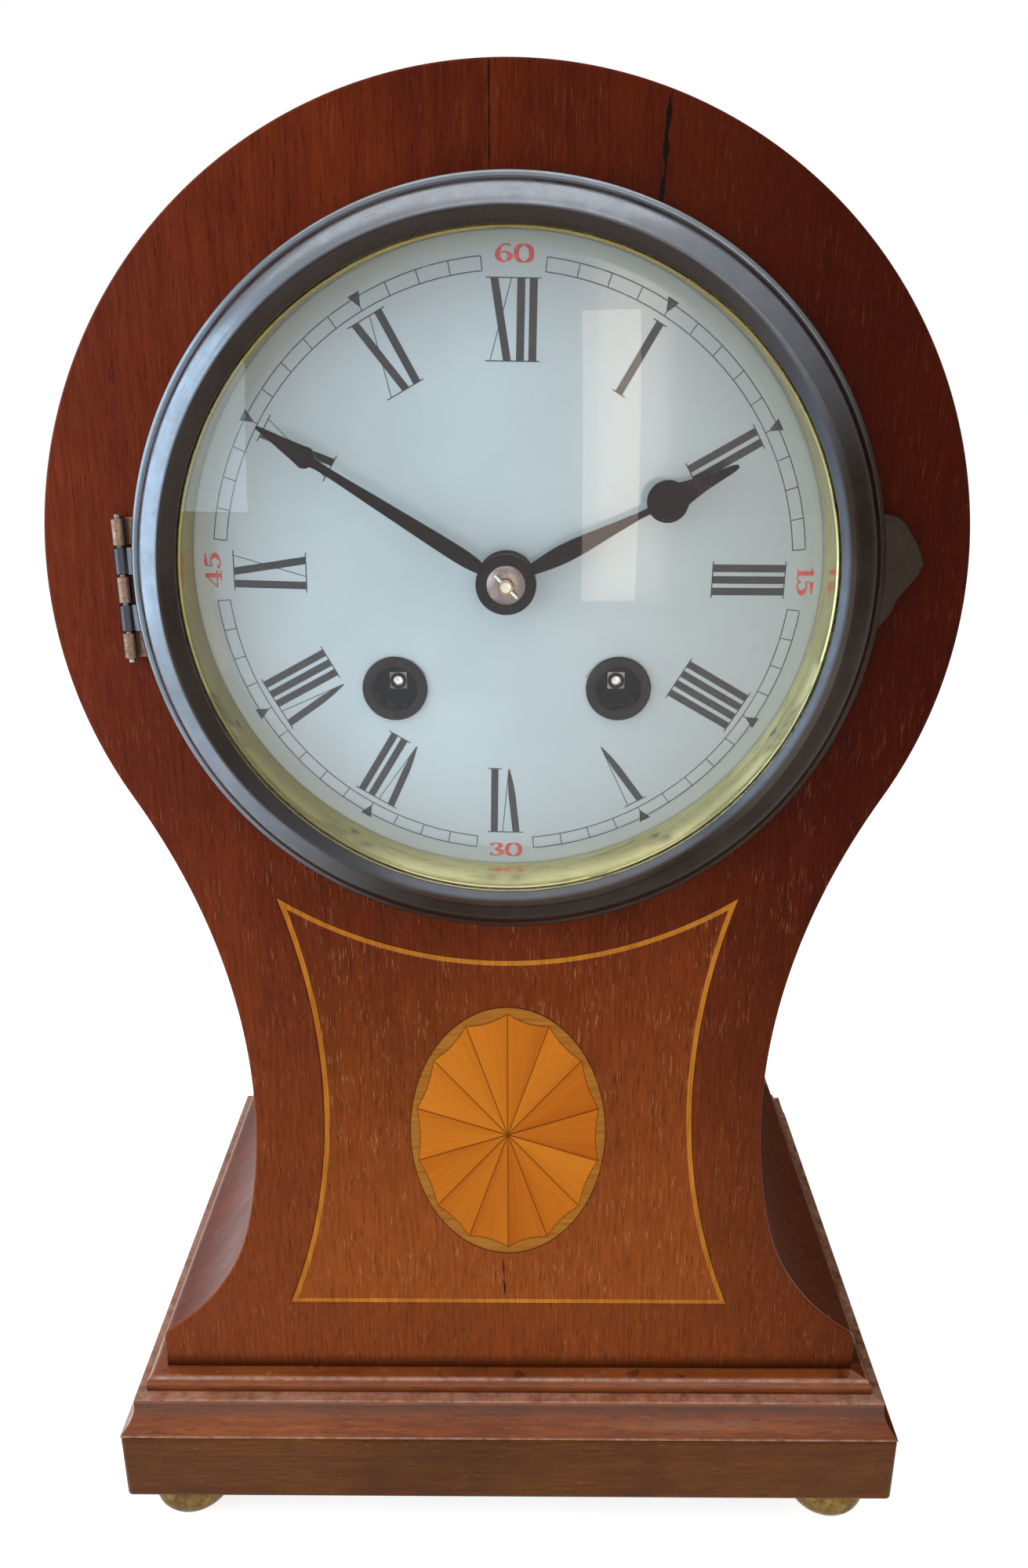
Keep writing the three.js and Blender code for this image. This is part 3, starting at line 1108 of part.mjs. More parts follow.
// Motion work: the cannon pinion on the centre arbor drives the hour wheel through the minute wheel
const cannonBack = MINUTE_WHEEL_DEPTH + (WHEEL_THICKNESS + PINION_LENGTH) / 2;
const cannonBore = CENTRE_ARBOR_RADIUS + RUN_GAP;
const cannonPinion = cut(
  joined(
    pinionAt(CANNON_PAIR, MINUTE_WHEEL_DEPTH, bearing(minuteWheel, centre)),
    rod(CANNON_RADIUS, MINUTE_HAND_FRONT, cannonBack, SMALL_ROUND),
  ),
  rod(cannonBore, MINUTE_HAND_FRONT - OVERRUN, cannonBack + OVERRUN, SMALL_ROUND),
);
piece(works, "cannon_pinion", cannonPinion, steel);
const minuteWheelGeometry = joined(
  rod(STOUT_ARBOR_RADIUS, HOUR_WHEEL_DEPTH, FRONT_PLATE_DEPTH - SEAT_GAP),
  rod(PIVOT_RADIUS, FRONT_PLATE_DEPTH - OVERRUN, FRONT_PLATE_DEPTH + PIVOT_LENGTH),
  gear(wheelOf(CANNON_PAIR), MINUTE_WHEEL_DEPTH, WHEEL_THICKNESS, bearing(minuteWheel, centre)),
  pinionAt(HOUR_PAIR, HOUR_WHEEL_DEPTH, bearing(centre, minuteWheel)),
);
piece(works, "minute_wheel", minuteWheelGeometry, brass, minuteWheel.x, minuteWheel.y);
const hourWheelBore = HOUR_PIPE_RADIUS - HOUR_PIPE_WALL / 4;
const hourWheel = joined(
  gear(wheelOf(HOUR_PAIR), HOUR_WHEEL_DEPTH, WHEEL_THICKNESS, bearing(centre, minuteWheel), hourWheelBore),
  tube(HOUR_PIPE_RADIUS, HOUR_PIPE_BORE, HOUR_HAND_FRONT, HOUR_WHEEL_DEPTH + WHEEL_THICKNESS),
);
piece(works, "hour_wheel", hourWheel, brass);

// Strike: the barrel turns the pin wheel, whose pins pass close by the end of the hammer's tail
const tailTurn = bearing(strikeWheel, hammer);
const tailLength = strikeWheel.distanceTo(hammer) - STRIKE_PIN_CIRCLE - STRIKE_PIN_RADIUS - SEAT_GAP;
const pinBack = INTERMEDIATE_WHEEL_DEPTH + WHEEL_THICKNESS + STRIKE_PIN_LENGTH;
const strikePins = Array.from({ length: STRIKE_PINS }, (_, i) => {
  const place = polar(STRIKE_PIN_CIRCLE, tailTurn + ((i + 0.5) * 2 * Math.PI) / STRIKE_PINS);
  return rod(STRIKE_PIN_RADIUS, INTERMEDIATE_WHEEL_DEPTH, pinBack, WIRE_ROUND).translate(place.x, 0, place.y);
});
const strikeGear = { teeth: STRIKE_TEETH, module: CENTRE_PAIR.module };
const strikeGeometry = joined(
  arbor(STOUT_ARBOR_RADIUS),
  greatPinion(bearing(strikeBarrel, strikeWheel)),
  gear(strikeGear, INTERMEDIATE_WHEEL_DEPTH, WHEEL_THICKNESS, 0),
  ...strikePins,
);
piece(works, "strike_pin_wheel", strikeGeometry, brass, strikeWheel.x, strikeWheel.y);

// Hammer: its head stands off the gong's outer turn, on the line to the gong's centre
const gongCentre = new THREE.Vector2(0, -GONG_DROP);
const strikeLine = degrees(HAMMER_STRIKE_ANGLE);
const faceRadius = GONG_RADIUS + GONG_WIRE_RADIUS + HAMMER_STANDOFF;
const headCentre = gongCentre
  .clone()
  .add(polar(faceRadius + HAMMER_HEAD_LENGTH / 2, strikeLine))
  .sub(hammer);
const armTurn = headCentre.angle();
const tailDepth = INTERMEDIATE_WHEEL_DEPTH + WHEEL_THICKNESS + RUN_GAP;
const armZ = [-HAMMER_ARM_HALF_WIDTH, HAMMER_ARM_HALF_WIDTH];
const bar = (from, to, depth, thickness, turn) =>
  block([from, to], [depth, depth + thickness], armZ).rotateY(-turn);
const armDepth = GONG_DEPTH - HAMMER_ARM_HALF_WIDTH;
const headGeometry = rod(HAMMER_HEAD_RADIUS, -HAMMER_HEAD_LENGTH / 2, HAMMER_HEAD_LENGTH / 2, SMALL_ROUND)
  .rotateZ(-Math.PI / 2)
  .rotateY(-strikeLine)
  .translate(headCentre.x, GONG_DEPTH, headCentre.y);
const hammerGeometry = joined(
  arbor(STOUT_ARBOR_RADIUS),
  rod(STOUT_ARBOR_RADIUS, BACK_PLATE_DEPTH - OVERRUN, GONG_DEPTH),
  bar(0, tailLength, tailDepth, WHEEL_THICKNESS, tailTurn + Math.PI),
  bar(-HAMMER_ARM_HALF_WIDTH, headCentre.length(), armDepth, 2 * HAMMER_ARM_HALF_WIDTH, armTurn),
  headGeometry,
);
piece(works, "hammer", hammerGeometry, iron, hammer.x, hammer.y);

// Gong: one unbroken spiral whose inner end runs straight out of the boss of its stand
const gongInnerStart = GONG_BOSS_RADIUS + RUN_GAP;
const gongPoints = [
  new THREE.Vector3(gongInnerStart, 0, 0),
  new THREE.Vector3(gongInnerStart + 2 * GONG_WIRE_RADIUS, 0, 0),
];
const gongSteps = GONG_TURNS * GONG_STEPS_PER_TURN;
for (let i = GONG_LEAD_STEPS; i <= gongSteps; i++) {
  const place = polar(
    THREE.MathUtils.lerp(GONG_INNER_RADIUS, GONG_RADIUS, i / gongSteps),
    (2 * Math.PI * i) / GONG_STEPS_PER_TURN,
  );
  gongPoints.push(new THREE.Vector3(place.x, 0, place.y));
}
const gongLine = new THREE.CatmullRomCurve3(gongPoints);
const gongSection = new THREE.Shape(circle(0, 0, GONG_WIRE_RADIUS, WIRE_ROUND));
const gongGeometry = new THREE.ExtrudeGeometry(gongSection, {
  steps: gongSteps + GONG_LEAD_STEPS,
  bevelEnabled: false,
  extrudePath: gongLine,
});
piece(works, "gong", gongGeometry.translate(0, GONG_DEPTH, 0), steel, gongCentre.x, gongCentre.y);

function leastSelfGap(line, radius) {
  const points = line.getSpacedPoints(GAP_SAMPLES);
  const apart = Math.ceil((GAP_LEAST_RADII * radius * GAP_SAMPLES) / line.getLength());
  let least = Infinity;
  points.forEach((a, i) => {
    for (const b of points.slice(i + apart)) least = Math.min(least, a.distanceTo(b) - 2 * radius);
  });
  return least;
}
console.log(`gong: least gap to itself ${leastSelfGap(gongLine, GONG_WIRE_RADIUS).toFixed(2)} mm`);

const standFloor = GONG_DROP - DIAL_RISE;
const postDepth = GONG_DEPTH + GONG_POST_SHARE * (backDepth - GONG_DEPTH);
const footRadius = GONG_FOOT_SHARE * (backDepth - postDepth);
const bossFront = GONG_DEPTH - 2 * GONG_WIRE_RADIUS;
const standFoot = rod(footRadius, standFloor + GLUE_LINE, standFloor + GONG_FOOT_HEIGHT, SMALL_ROUND);
const standGeometry = joined(
  rod(GONG_BOSS_RADIUS, bossFront, postDepth + GONG_BOSS_TAIL, SMALL_ROUND),
  upright(rod(GONG_POST_RADIUS, standFloor + GLUE_LINE, 0)).translate(0, postDepth, 0),
  upright(standFoot).translate(0, postDepth, 0),
);
piece(works, "gong_stand", standGeometry, iron, gongCentre.x, gongCentre.y);

// Back ring with the fixed knuckles of the door hinge
const ringBack = BODY_DEPTH + GLUE_LINE + BACK_SHEET;
const wallRadius = BACK_HOLE_RADIUS - SEAT_GAP;
const ringProfile = [
  [BACK_RING_BORE, BODY_DEPTH + GLUE_LINE],
  [wallRadius - BACK_WALL, BODY_DEPTH + GLUE_LINE],
  [wallRadius - BACK_WALL, BODY_DEPTH - BACK_WALL_LENGTH],
  [wallRadius, BODY_DEPTH - BACK_WALL_LENGTH],
  [wallRadius, BODY_DEPTH + GLUE_LINE],
  [BACK_RING_RADIUS, BODY_DEPTH + GLUE_LINE],
  [BACK_RING_RADIUS, ringBack],
  [BACK_RING_BORE, ringBack],
];
const doorHinge = [DOOR_RADIUS + KNUCKLE_RADIUS + SEAT_GAP, ringBack + KNUCKLE_RADIUS + SEAT_GAP];
const doorHingeTop = DOOR_HINGE_LENGTH / 2;
const doorSpan = [DOOR_KNUCKLES, doorHingeTop, DOOR_HINGE_LENGTH];
const ringLeaves = knuckles(...doorHinge, ...doorSpan, 0).flatMap(({ top, bottom, barrel: knuckle }) => [
  knuckle,
  block(
    [doorHinge[0] - DOOR_KNUCKLE_WEB, doorHinge[0] + KNUCKLE_RADIUS],
    [ringBack - BACK_SHEET / 2, doorHinge[1]],
    [bottom, top],
  ),
]);
const strapX = Math.sqrt((DOOR_RADIUS + STRAP_HEAD_RADIUS + SEAT_GAP) ** 2 - STRAP_Z ** 2);
const screwPlaces = [-1, 1].map((side) => new THREE.Vector2(side * strapX, STRAP_Z));
const screwHoles = screwPlaces.map(({ x, y }) =>
  rod(STRAP_SCREW_RADIUS + SEAT_GAP, BODY_DEPTH - OVERRUN, ringBack + OVERRUN).translate(x, 0, y),
);
const ringGeometry = cut(
  joined(turned(ringProfile, HIDDEN_ROUND), ...ringLeaves),
  hingeBore(...doorHinge, doorHingeTop, DOOR_HINGE_LENGTH),
  ...screwHoles,
);
piece(works, "back_ring", ringGeometry, brass);
piece(works, "back_door_pin", hingePin(...doorHinge, doorHingeTop, DOOR_HINGE_LENGTH), steel);

// Back door: a domed sheet with a lip that snaps into the ring, and a knob
const doorFront = ringBack + SEAT_GAP;
const lipRadius = BACK_RING_BORE - SEAT_GAP;
const doorMid = [DOOR_RADIUS * DOOR_MID_SHARE, DOOR_DOME * (1 - DOOR_MID_SHARE ** 2)];
const doorProfile = [
  [0, doorFront + DOOR_DOME],
  [doorMid[0], doorFront + doorMid[1]],
  [lipRadius - DOOR_LIP_WALL, doorFront],
  [lipRadius - DOOR_LIP_WALL, doorFront - DOOR_LIP_LENGTH],
  [lipRadius, doorFront - DOOR_LIP_LENGTH],
  [lipRadius, doorFront],
  [DOOR_RADIUS, doorFront],
  [DOOR_RADIUS, doorFront + BACK_SHEET],
  [doorMid[0], doorFront + BACK_SHEET + doorMid[1]],
  [0, doorFront + BACK_SHEET + DOOR_DOME],
];
const doorLeaves = knuckles(...doorHinge, ...doorSpan, 1).flatMap(({ top, bottom, barrel: knuckle }) => [
  knuckle,
  block([DOOR_RADIUS - LEAF_REACH, doorHinge[0]], [doorFront, doorFront + BACK_SHEET], [bottom, top]),
]);
const knobFrom = doorFront + BACK_SHEET / 2;
const knob = rod(KNOB_RADIUS, knobFrom, knobFrom + KNOB_LENGTH, SMALL_ROUND);
const doorGeometry = cut(
  joined(turned(doorProfile, HIDDEN_ROUND), ...doorLeaves, knob.translate(KNOB_INSET - DOOR_RADIUS, 0, 0)),
  hingeBore(...doorHinge, doorHingeTop, DOOR_HINGE_LENGTH),
);
piece(works, "back_door", doorGeometry, brass);

// Straps from the pan to the back ring, drawn up by a screw each
const strapFront = PAN_FLOOR_DEPTH + PAN_SHEET + GLUE_LINE;
const strapBack = BODY_DEPTH - STRAP_SETBACK;
const strapWeb = STRAP_SCREW_RADIUS + RUN_GAP + SEAT_GAP;
const strapZ = [-STRAP_WIDTH / 2, STRAP_WIDTH / 2];
for (const [side, sign] of [["left", -1], ["right", 1]]) {
  const span = (from, to) => [sign * from, sign * to].sort((a, b) => a - b);
  const lug = (depth) =>
    block(span(-STRAP_LUG, strapWeb + STRAP_THICKNESS), [depth, depth + STRAP_THICKNESS], strapZ);
  const strap = cut(
    joined(
      block(span(strapWeb, strapWeb + STRAP_THICKNESS), [strapFront, strapBack], strapZ),
      lug(strapFront),
      lug(strapBack - STRAP_THICKNESS),
    ),
    rod(STRAP_SCREW_RADIUS + RUN_GAP, strapBack - STRAP_THICKNESS - OVERRUN, strapBack + OVERRUN),
  );
  piece(works, `strap_${side}`, strap, brass, sign * strapX, STRAP_Z);
  const screw = joined(
    rod(STRAP_SCREW_RADIUS, strapBack - STRAP_THICKNESS, ringBack + STRAP_HEAD_HEIGHT / 2),
    rod(STRAP_HEAD_RADIUS, ringBack + GLUE_LINE, ringBack + GLUE_LINE + STRAP_HEAD_HEIGHT, SMALL_ROUND),
  );
  piece(works, `strap_screw_${side}`, screw, steel, sign * strapX, STRAP_Z);
}

export default clock;
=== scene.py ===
"""Looks of a balloon mantel clock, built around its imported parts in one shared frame."""

import json
import logging
import math
from collections.abc import Iterable, Sequence
from dataclasses import dataclass, field
from enum import Enum

import bmesh
import bpy
from mathutils import Matrix, Vector
from mathutils.geometry import tessellate_polygon


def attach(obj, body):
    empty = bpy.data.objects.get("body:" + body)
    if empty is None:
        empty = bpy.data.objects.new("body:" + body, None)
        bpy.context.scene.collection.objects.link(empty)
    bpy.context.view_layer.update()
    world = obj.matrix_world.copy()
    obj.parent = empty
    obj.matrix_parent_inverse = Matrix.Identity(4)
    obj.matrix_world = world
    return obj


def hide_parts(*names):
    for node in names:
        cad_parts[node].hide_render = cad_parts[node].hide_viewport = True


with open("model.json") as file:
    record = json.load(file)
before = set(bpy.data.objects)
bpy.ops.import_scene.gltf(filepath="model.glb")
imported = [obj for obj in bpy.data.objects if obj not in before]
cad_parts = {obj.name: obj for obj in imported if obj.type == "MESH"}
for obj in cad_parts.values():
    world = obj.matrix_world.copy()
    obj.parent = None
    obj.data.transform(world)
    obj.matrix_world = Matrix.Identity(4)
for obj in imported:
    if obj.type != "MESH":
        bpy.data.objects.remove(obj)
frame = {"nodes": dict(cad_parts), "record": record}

MM = 0.001
LOG = logging.getLogger("clock")

Point = tuple[float, float]
Points = tuple[Point, ...]
Triple = tuple[float, float, float]
Colour = tuple[float, float, float, float]
Piece = bpy.types.Object
Material = bpy.types.Material
Tree = bpy.types.NodeTree
Node = bpy.types.Node
Socket = bpy.types.NodeSocket
Value = Socket | float | int | Sequence[float]


class Body(str, Enum):
    """Moving bodies that dressed pieces ride on."""

    CASE = "case"
    BEZEL = "bezel_door"
    HOUR = "hour_set"
    MINUTE = "minute_set"
    CENTRE = "centre"
    GOING_WINDER = "going_winder"
    STRIKE_WINDER = "strike_winder"
    BACK_DOOR = "rear_door"


class Grain(Enum):
    """Which way the grain of a wooden piece runs, and where it is read from."""

    UPRIGHT = (1.0, 1.0, 0.07)
    LEVEL = (0.07, 0.07, 1.0)
    # Not quite the upright value, because members of one value would be one member
    ALONG_OUTLINE = (1.0, 1.0, 0.0701)


class Axis(Enum):
    """The axis that a turned piece is turned about."""

    DEPTH = "depth"
    UP = "up"


@dataclass(frozen=True)
class Datum:
    """Planes that the sizes are measured from, in millimetres."""

    front_y: float = -54.6
    base_z: float = 42.1
    dial_z: float = 225.5
    depth: float = 109.2

    def on_dial(self, x: float, depth: float, z: float) -> Vector:
        """Places a point right of the dial's centre, behind the front face and above the centre."""
        return Vector((x, self.front_y + depth, self.dial_z + z))

    @property
    def dial_centre(self) -> Vector:
        """Gives the centre of the dial in the plane of the front face."""
        return self.on_dial(0.0, 0.0, 0.0)


DATUM = Datum()


# Plane geometry


def polar(radius: float, angle: float) -> Vector:
    """Gives a plane vector from its length and its angle in radians."""
    return Vector((radius * math.cos(angle), radius * math.sin(angle)))


def arc(x: float, z: float, radius: float, start: float, end: float, step: float = 1.5) -> list[Point]:
    """Samples an arc.

    Args:
        x: Centre, across.
        z: Centre, upwards.
        radius: Radius of the arc.
        start: First angle in radians.
        end: Last angle in radians.
        step: Largest step in degrees.

    Returns:
        Points from start to end, both included.
    """
    count = max(2, math.ceil(abs(math.degrees(end - start)) / step))
    turns = [start + (end - start) * i / count for i in range(count + 1)]
    return [(x + radius * math.cos(t), z + radius * math.sin(t)) for t in turns]


def circle(x: float, z: float, radius: float, sides: int) -> list[Point]:
    """Samples a full circle, counter-clockwise from its right end."""
    return arc(x, z, radius, 0.0, 2 * math.pi, 360 / sides)[:-1]


def signed_area(loop: Sequence[Point]) -> float:
    """Measures a loop's area, positive where it runs counter-clockwise."""
    pairs = zip(loop, [*loop[1:], loop[0]])
    return sum(a[0] * b[1] - b[0] * a[1] for a, b in pairs) / 2


def inset(loop: Sequence[Point], distance: float) -> list[Point]:
    """Moves a counter-clockwise loop inwards.

    Args:
        loop: The loop to move.
        distance: How far inwards; a negative distance moves it outwards.

    Returns:
        As many points as the loop has.
    """
    moved: list[Point] = []
    for i, here in enumerate(loop):
        before = Vector(here) - Vector(loop[i - 1])
        after = Vector(loop[(i + 1) % len(loop)]) - Vector(here)
        normal_a = Vector((-before.y, before.x)).normalized()
        normal_b = Vector((-after.y, after.x)).normalized()
        middle = normal_a + normal_b
        reach = distance * 2 / max(middle.length_squared, 0.5)
        moved.append((here[0] + middle.x * reach, here[1] + middle.y * reach))
    return moved


def spline(stations: Sequence[Sequence[float]], steps: int) -> list[tuple[float, ...]]:
    """Runs a smooth curve through stations.

    Args:
        stations: Points of any one dimension.
        steps: Steps between two stations.

    Returns:
        Points of the same dimension.
    """
    ends = [stations[0], *stations, stations[-1]]
    out: list[tuple[float, ...]] = []
    for a, b, c, d in zip(ends, ends[1:], ends[2:], ends[3:]):
        for i in range(steps):
            t = i / steps
            out.append(
                tuple(
                    0.5
                    * (2 * q + (r - p) * t + (2 * p - 5 * q + 4 * r - s) * t**2 + (3 * q - p - 3 * r + s) * t**3)
                    for p, q, r, s in zip(a, b, c, d)
                )
            )
    return [*out, tuple(stations[-1])]


# Solids


def show(made: Piece) -> Piece:
    """Puts an object into the scene and returns it."""
    bpy.context.scene.collection.objects.link(made)
    return made


def settled(made: Piece) -> bpy.types.Mesh:
    """Gives an object's mesh with its modifiers applied."""
    graph = bpy.context.evaluated_depsgraph_get()
    return bpy.data.meshes.new_from_object(made.evaluated_get(graph))


class Solid:
    """A closed surface gathered ring by ring, in millimetres."""

    SHARP = math.radians(38)

    def __init__(self) -> None:
        """Starts with no points and no faces."""
        self.points: list[Vector] = []
        self.run: list[Vector] = []
        self.faces: list[tuple[int, ...]] = []
        self.flat: list[bool] = []

    def ring(self, points: Iterable[Vector], run: Iterable[Vector] | None = None) -> list[int]:
        """Adds points.

        Args:
            points: Where they are.
            run: Where they are in the grain of the wood, if that differs.

        Returns:
            Their numbers.
        """
        start = len(self.points)
        placed = list(points)
        self.points.extend(placed)
        self.run.extend(placed if run is None else run)
        return list(range(start, len(self.points)))

    def face(self, corners: Sequence[int], flat: bool = False) -> None:
        """Adds one face, shaded flat if asked."""
        self.faces.append(tuple(corners))
        self.flat.append(flat)

    def bridge(self, a: Sequence[int], b: Sequence[int], closed: bool = True) -> None:
        """Joins two rings of one length, or a ring to a single point.

        Args:
            a: One ring.
            b: The other.
            closed: Whether the last points join the first.
        """
        count = max(len(a), len(b))
        for i in range(count if closed else count - 1):
            j = (i + 1) % count
            corners = [a[i % len(a)], a[j % len(a)], b[j % len(b)], b[i % len(b)]]
            self.face(list(dict.fromkeys(corners)))

    def cap(self, loops: Sequence[Sequence[int]]) -> None:
        """Fills the first loop, leaving the others open as holes.

        Args:
            loops: Numbers of the points round each loop.
        """
        numbers = [n for loop in loops for n in loop]
        for triangle in tessellate_polygon([[self.points[n] for n in loop] for loop in loops]):
            self.face([numbers[k] for k in triangle], flat=True)

    def turn(self, angle: float, centre: Vector, axis: str = "Y") -> "Solid":
        """Turns every point about an axis through centre.

        Args:
            angle: Radians, by the right-hand rule.
            centre: A point on the axis.
            axis: The axis it is turned about.

        Returns:
            This solid.
        """
        spin = Matrix.Rotation(angle, 3, axis)
        self.points = [centre + spin @ (p - centre) for p in self.points]
        return self

    def join(self, *others: "Solid") -> "Solid":
        """Takes in the faces of other solids.

        Args:
            others: The solids that are taken in.

        Returns:
            This solid.
        """
        for other in others:
            start = len(self.points)
            self.points.extend(other.points)
            self.run.extend(other.run)
            self.faces.extend(tuple(start + n for n in face) for face in other.faces)
            self.flat.extend(other.flat)
        return self

    def piece(self, name: str, material: Material, closed: bool = True) -> Piece:
        """Makes the scene object.

        Args:
            name: Name of the piece.
            material: Its finish.
            closed: Whether the surface encloses a volume, so that its faces can be turned outwards.

        Returns:
            The object, at the origin.
        """
        mesh = bpy.data.meshes.new(name)
        mesh.from_pydata([p * MM for p in self.points], [], self.faces)
        mesh.shade_smooth()
        mesh.set_sharp_from_angle(angle=self.SHARP)
        mesh.polygons.foreach_set("use_smooth", [not flat for flat in self.flat])
        attribute = mesh.attributes.new("run", "FLOAT_VECTOR", "POINT")
        attribute.data.foreach_set("vector", [c * MM for p in self.run for c in p])
        if closed:
            surface = bmesh.new()
            surface.from_mesh(mesh)
            bmesh.ops.recalc_face_normals(surface, faces=surface.faces)
            surface.to_mesh(mesh)
            surface.free()
        mesh.materials.append(material)
        return show(bpy.data.objects.new(name, mesh))


def lathe(
    profile: Sequence[Point], centre: Vector, sides: int = 96, closed: bool = True, axis: Axis = Axis.DEPTH
) -> Solid:
    """Turns a profile.

    Args:
        profile: Points as radius and distance along the axis.
        centre: Where the axis starts.
        sides: Sides of each ring.
        closed: Whether the last point joins the first.
        axis: Which way the axis runs.

    Returns:
        The turned solid.
    """
    made = Solid()
    rings: list[list[int]] = []
    for radius, along in profile:
        turns = [2 * math.pi * i / sides for i in range(sides)] if radius else [0.0]
        if axis is Axis.DEPTH:
            points = [centre + Vector((radius * math.cos(t), along, radius * math.sin(t))) for t in turns]
        else:
            points = [centre + Vector((radius * math.cos(t), radius * math.sin(t), along)) for t in turns]
        rings.append(made.ring(points))
    pairs = list(zip(rings, rings[1:]))
    if closed:
        pairs.append((rings[-1], rings[0]))
    for a, b in pairs:
        made.bridge(a, b)
    return made


def plate(
    loops: Sequence[Sequence[Point]],
    front: float,
    back: float,
    origin_z: float,
    edge: float = 0.0,
    back_edge: float = 0.0,
    along: bool = False,
) -> Solid:
    """Cuts a plate from an outline with holes and eases its edges.

    Args:
        loops: The outline, then any holes.
        front: Depth of the front face.
        back: Depth of the back face.
        origin_z: Height that the outline is measured from.
        edge: Radius of the front edges.
        back_edge: Radius of the back edges.
        along: Whether the grain runs along the outline.

    Returns:
        The plate.
    """
    made = Solid()
    fronts, backs = [], []
    for number, loop in enumerate(loops):
        points = list(loop) if signed_area(loop) > 0 else list(reversed(loop))
        sign = -1 if number else 1
        lengths = [0.0]
        for a, b in zip(points, points[1:]):
            lengths.append(lengths[-1] + math.dist(a, b))
        levels = [(edge * (1 - math.sin(t)), front + edge * (1 - math.cos(t))) for t in quarter(edge)]
        for t in quarter(back_edge):
            levels.append((back_edge * (1 - math.cos(t)), back - back_edge * (1 - math.sin(t))))
        rings = []
        for move, depth in levels:
            moved = inset(points, move * sign) if move else points
            y = DATUM.front_y + depth
            run = [Vector((depth, 0.0, s)) for s in lengths] if along else None
            rings.append(made.ring((Vector((x, y, origin_z + z)) for x, z in moved), run))
        for a, b in zip(rings, rings[1:]):
            made.bridge(a, b)
        fronts.append(rings[0])
        backs.append(rings[-1])
    made.cap(fronts)
    made.cap(backs)
    return made


def quarter(radius: float, steps: int = 4) -> list[float]:
    """Gives the turns of an eased edge, or a single one for a square edge."""
    return [math.pi / 2 * i / steps for i in range(steps + 1)] if radius else [math.pi / 2]


def rod(start: Vector, end: Vector, radius: float, ease: float = 0.1, sides: int = 24) -> Solid:
    """Makes a round rod with eased ends.

    Args:
        start: Middle of one end.
        end: Middle of the other end.
        radius: Radius of the rod.
        ease: Radius of the edge of each end.
        sides: Sides of the rod.

    Returns:
        The rod.
    """
    way = end - start
    length = way.length
    profile = [(0.0, 0.0), (radius - ease, 0.0), (radius, ease), (radius, length - ease)]
    profile += [(radius - ease, length), (0.0, length)]
    made = lathe(profile, Vector(), sides, closed=False, axis=Axis.UP)
    spin = way.to_track_quat("Z", "Y").to_matrix()
    made.points = [start + spin @ p for p in made.points]
    return made


def box(low: Vector, high: Vector, ease: float) -> Solid:
    """Makes a box with eased edges.

    Args:
        low: Lowest corner.
        high: Highest corner.
        ease: Radius of the edges.

    Returns:
        The box.
    """
    surface = bmesh.new()
    bmesh.ops.create_cube(surface, size=1.0)
    size, middle = high - low, (high + low) / 2
    for vertex in surface.verts:
        vertex.co = Vector(c * s for c, s in zip(vertex.co, size)) + middle
    bmesh.ops.bevel(surface, geom=surface.edges[:], offset=ease, segments=4, profile=0.5, affect="EDGES")
    surface.verts.index_update()
    made = Solid()
    made.ring([vertex.co.copy() for vertex in surface.verts])
    for face in surface.faces:
        broad = face.calc_area() > 20 * ease**2
        made.face([vertex.index for vertex in face.verts], flat=broad)
    surface.free()
    return made


# Shaders


def linear(level: float) -> float:
    """Turns a screen level from 0 to 255 into a linear one from 0 to 1."""
    share = level / 255
    return share / 12.92 if share <= 0.04045 else ((share + 0.055) / 1.055) ** 2.4


def srgb(red: float, green: float, blue: float) -> Colour:
    """Turns a screen colour from 0 to 255 into a linear one."""
    return (linear(red), linear(green), linear(blue), 1.0)


def titled(values: dict[str, Value]) -> dict[str, Value]:
    """Turns names in lower case with underscores into the titles of sockets."""
    return {key.replace("_", " ").title().replace("Ior", "IOR"): value for key, value in values.items()}


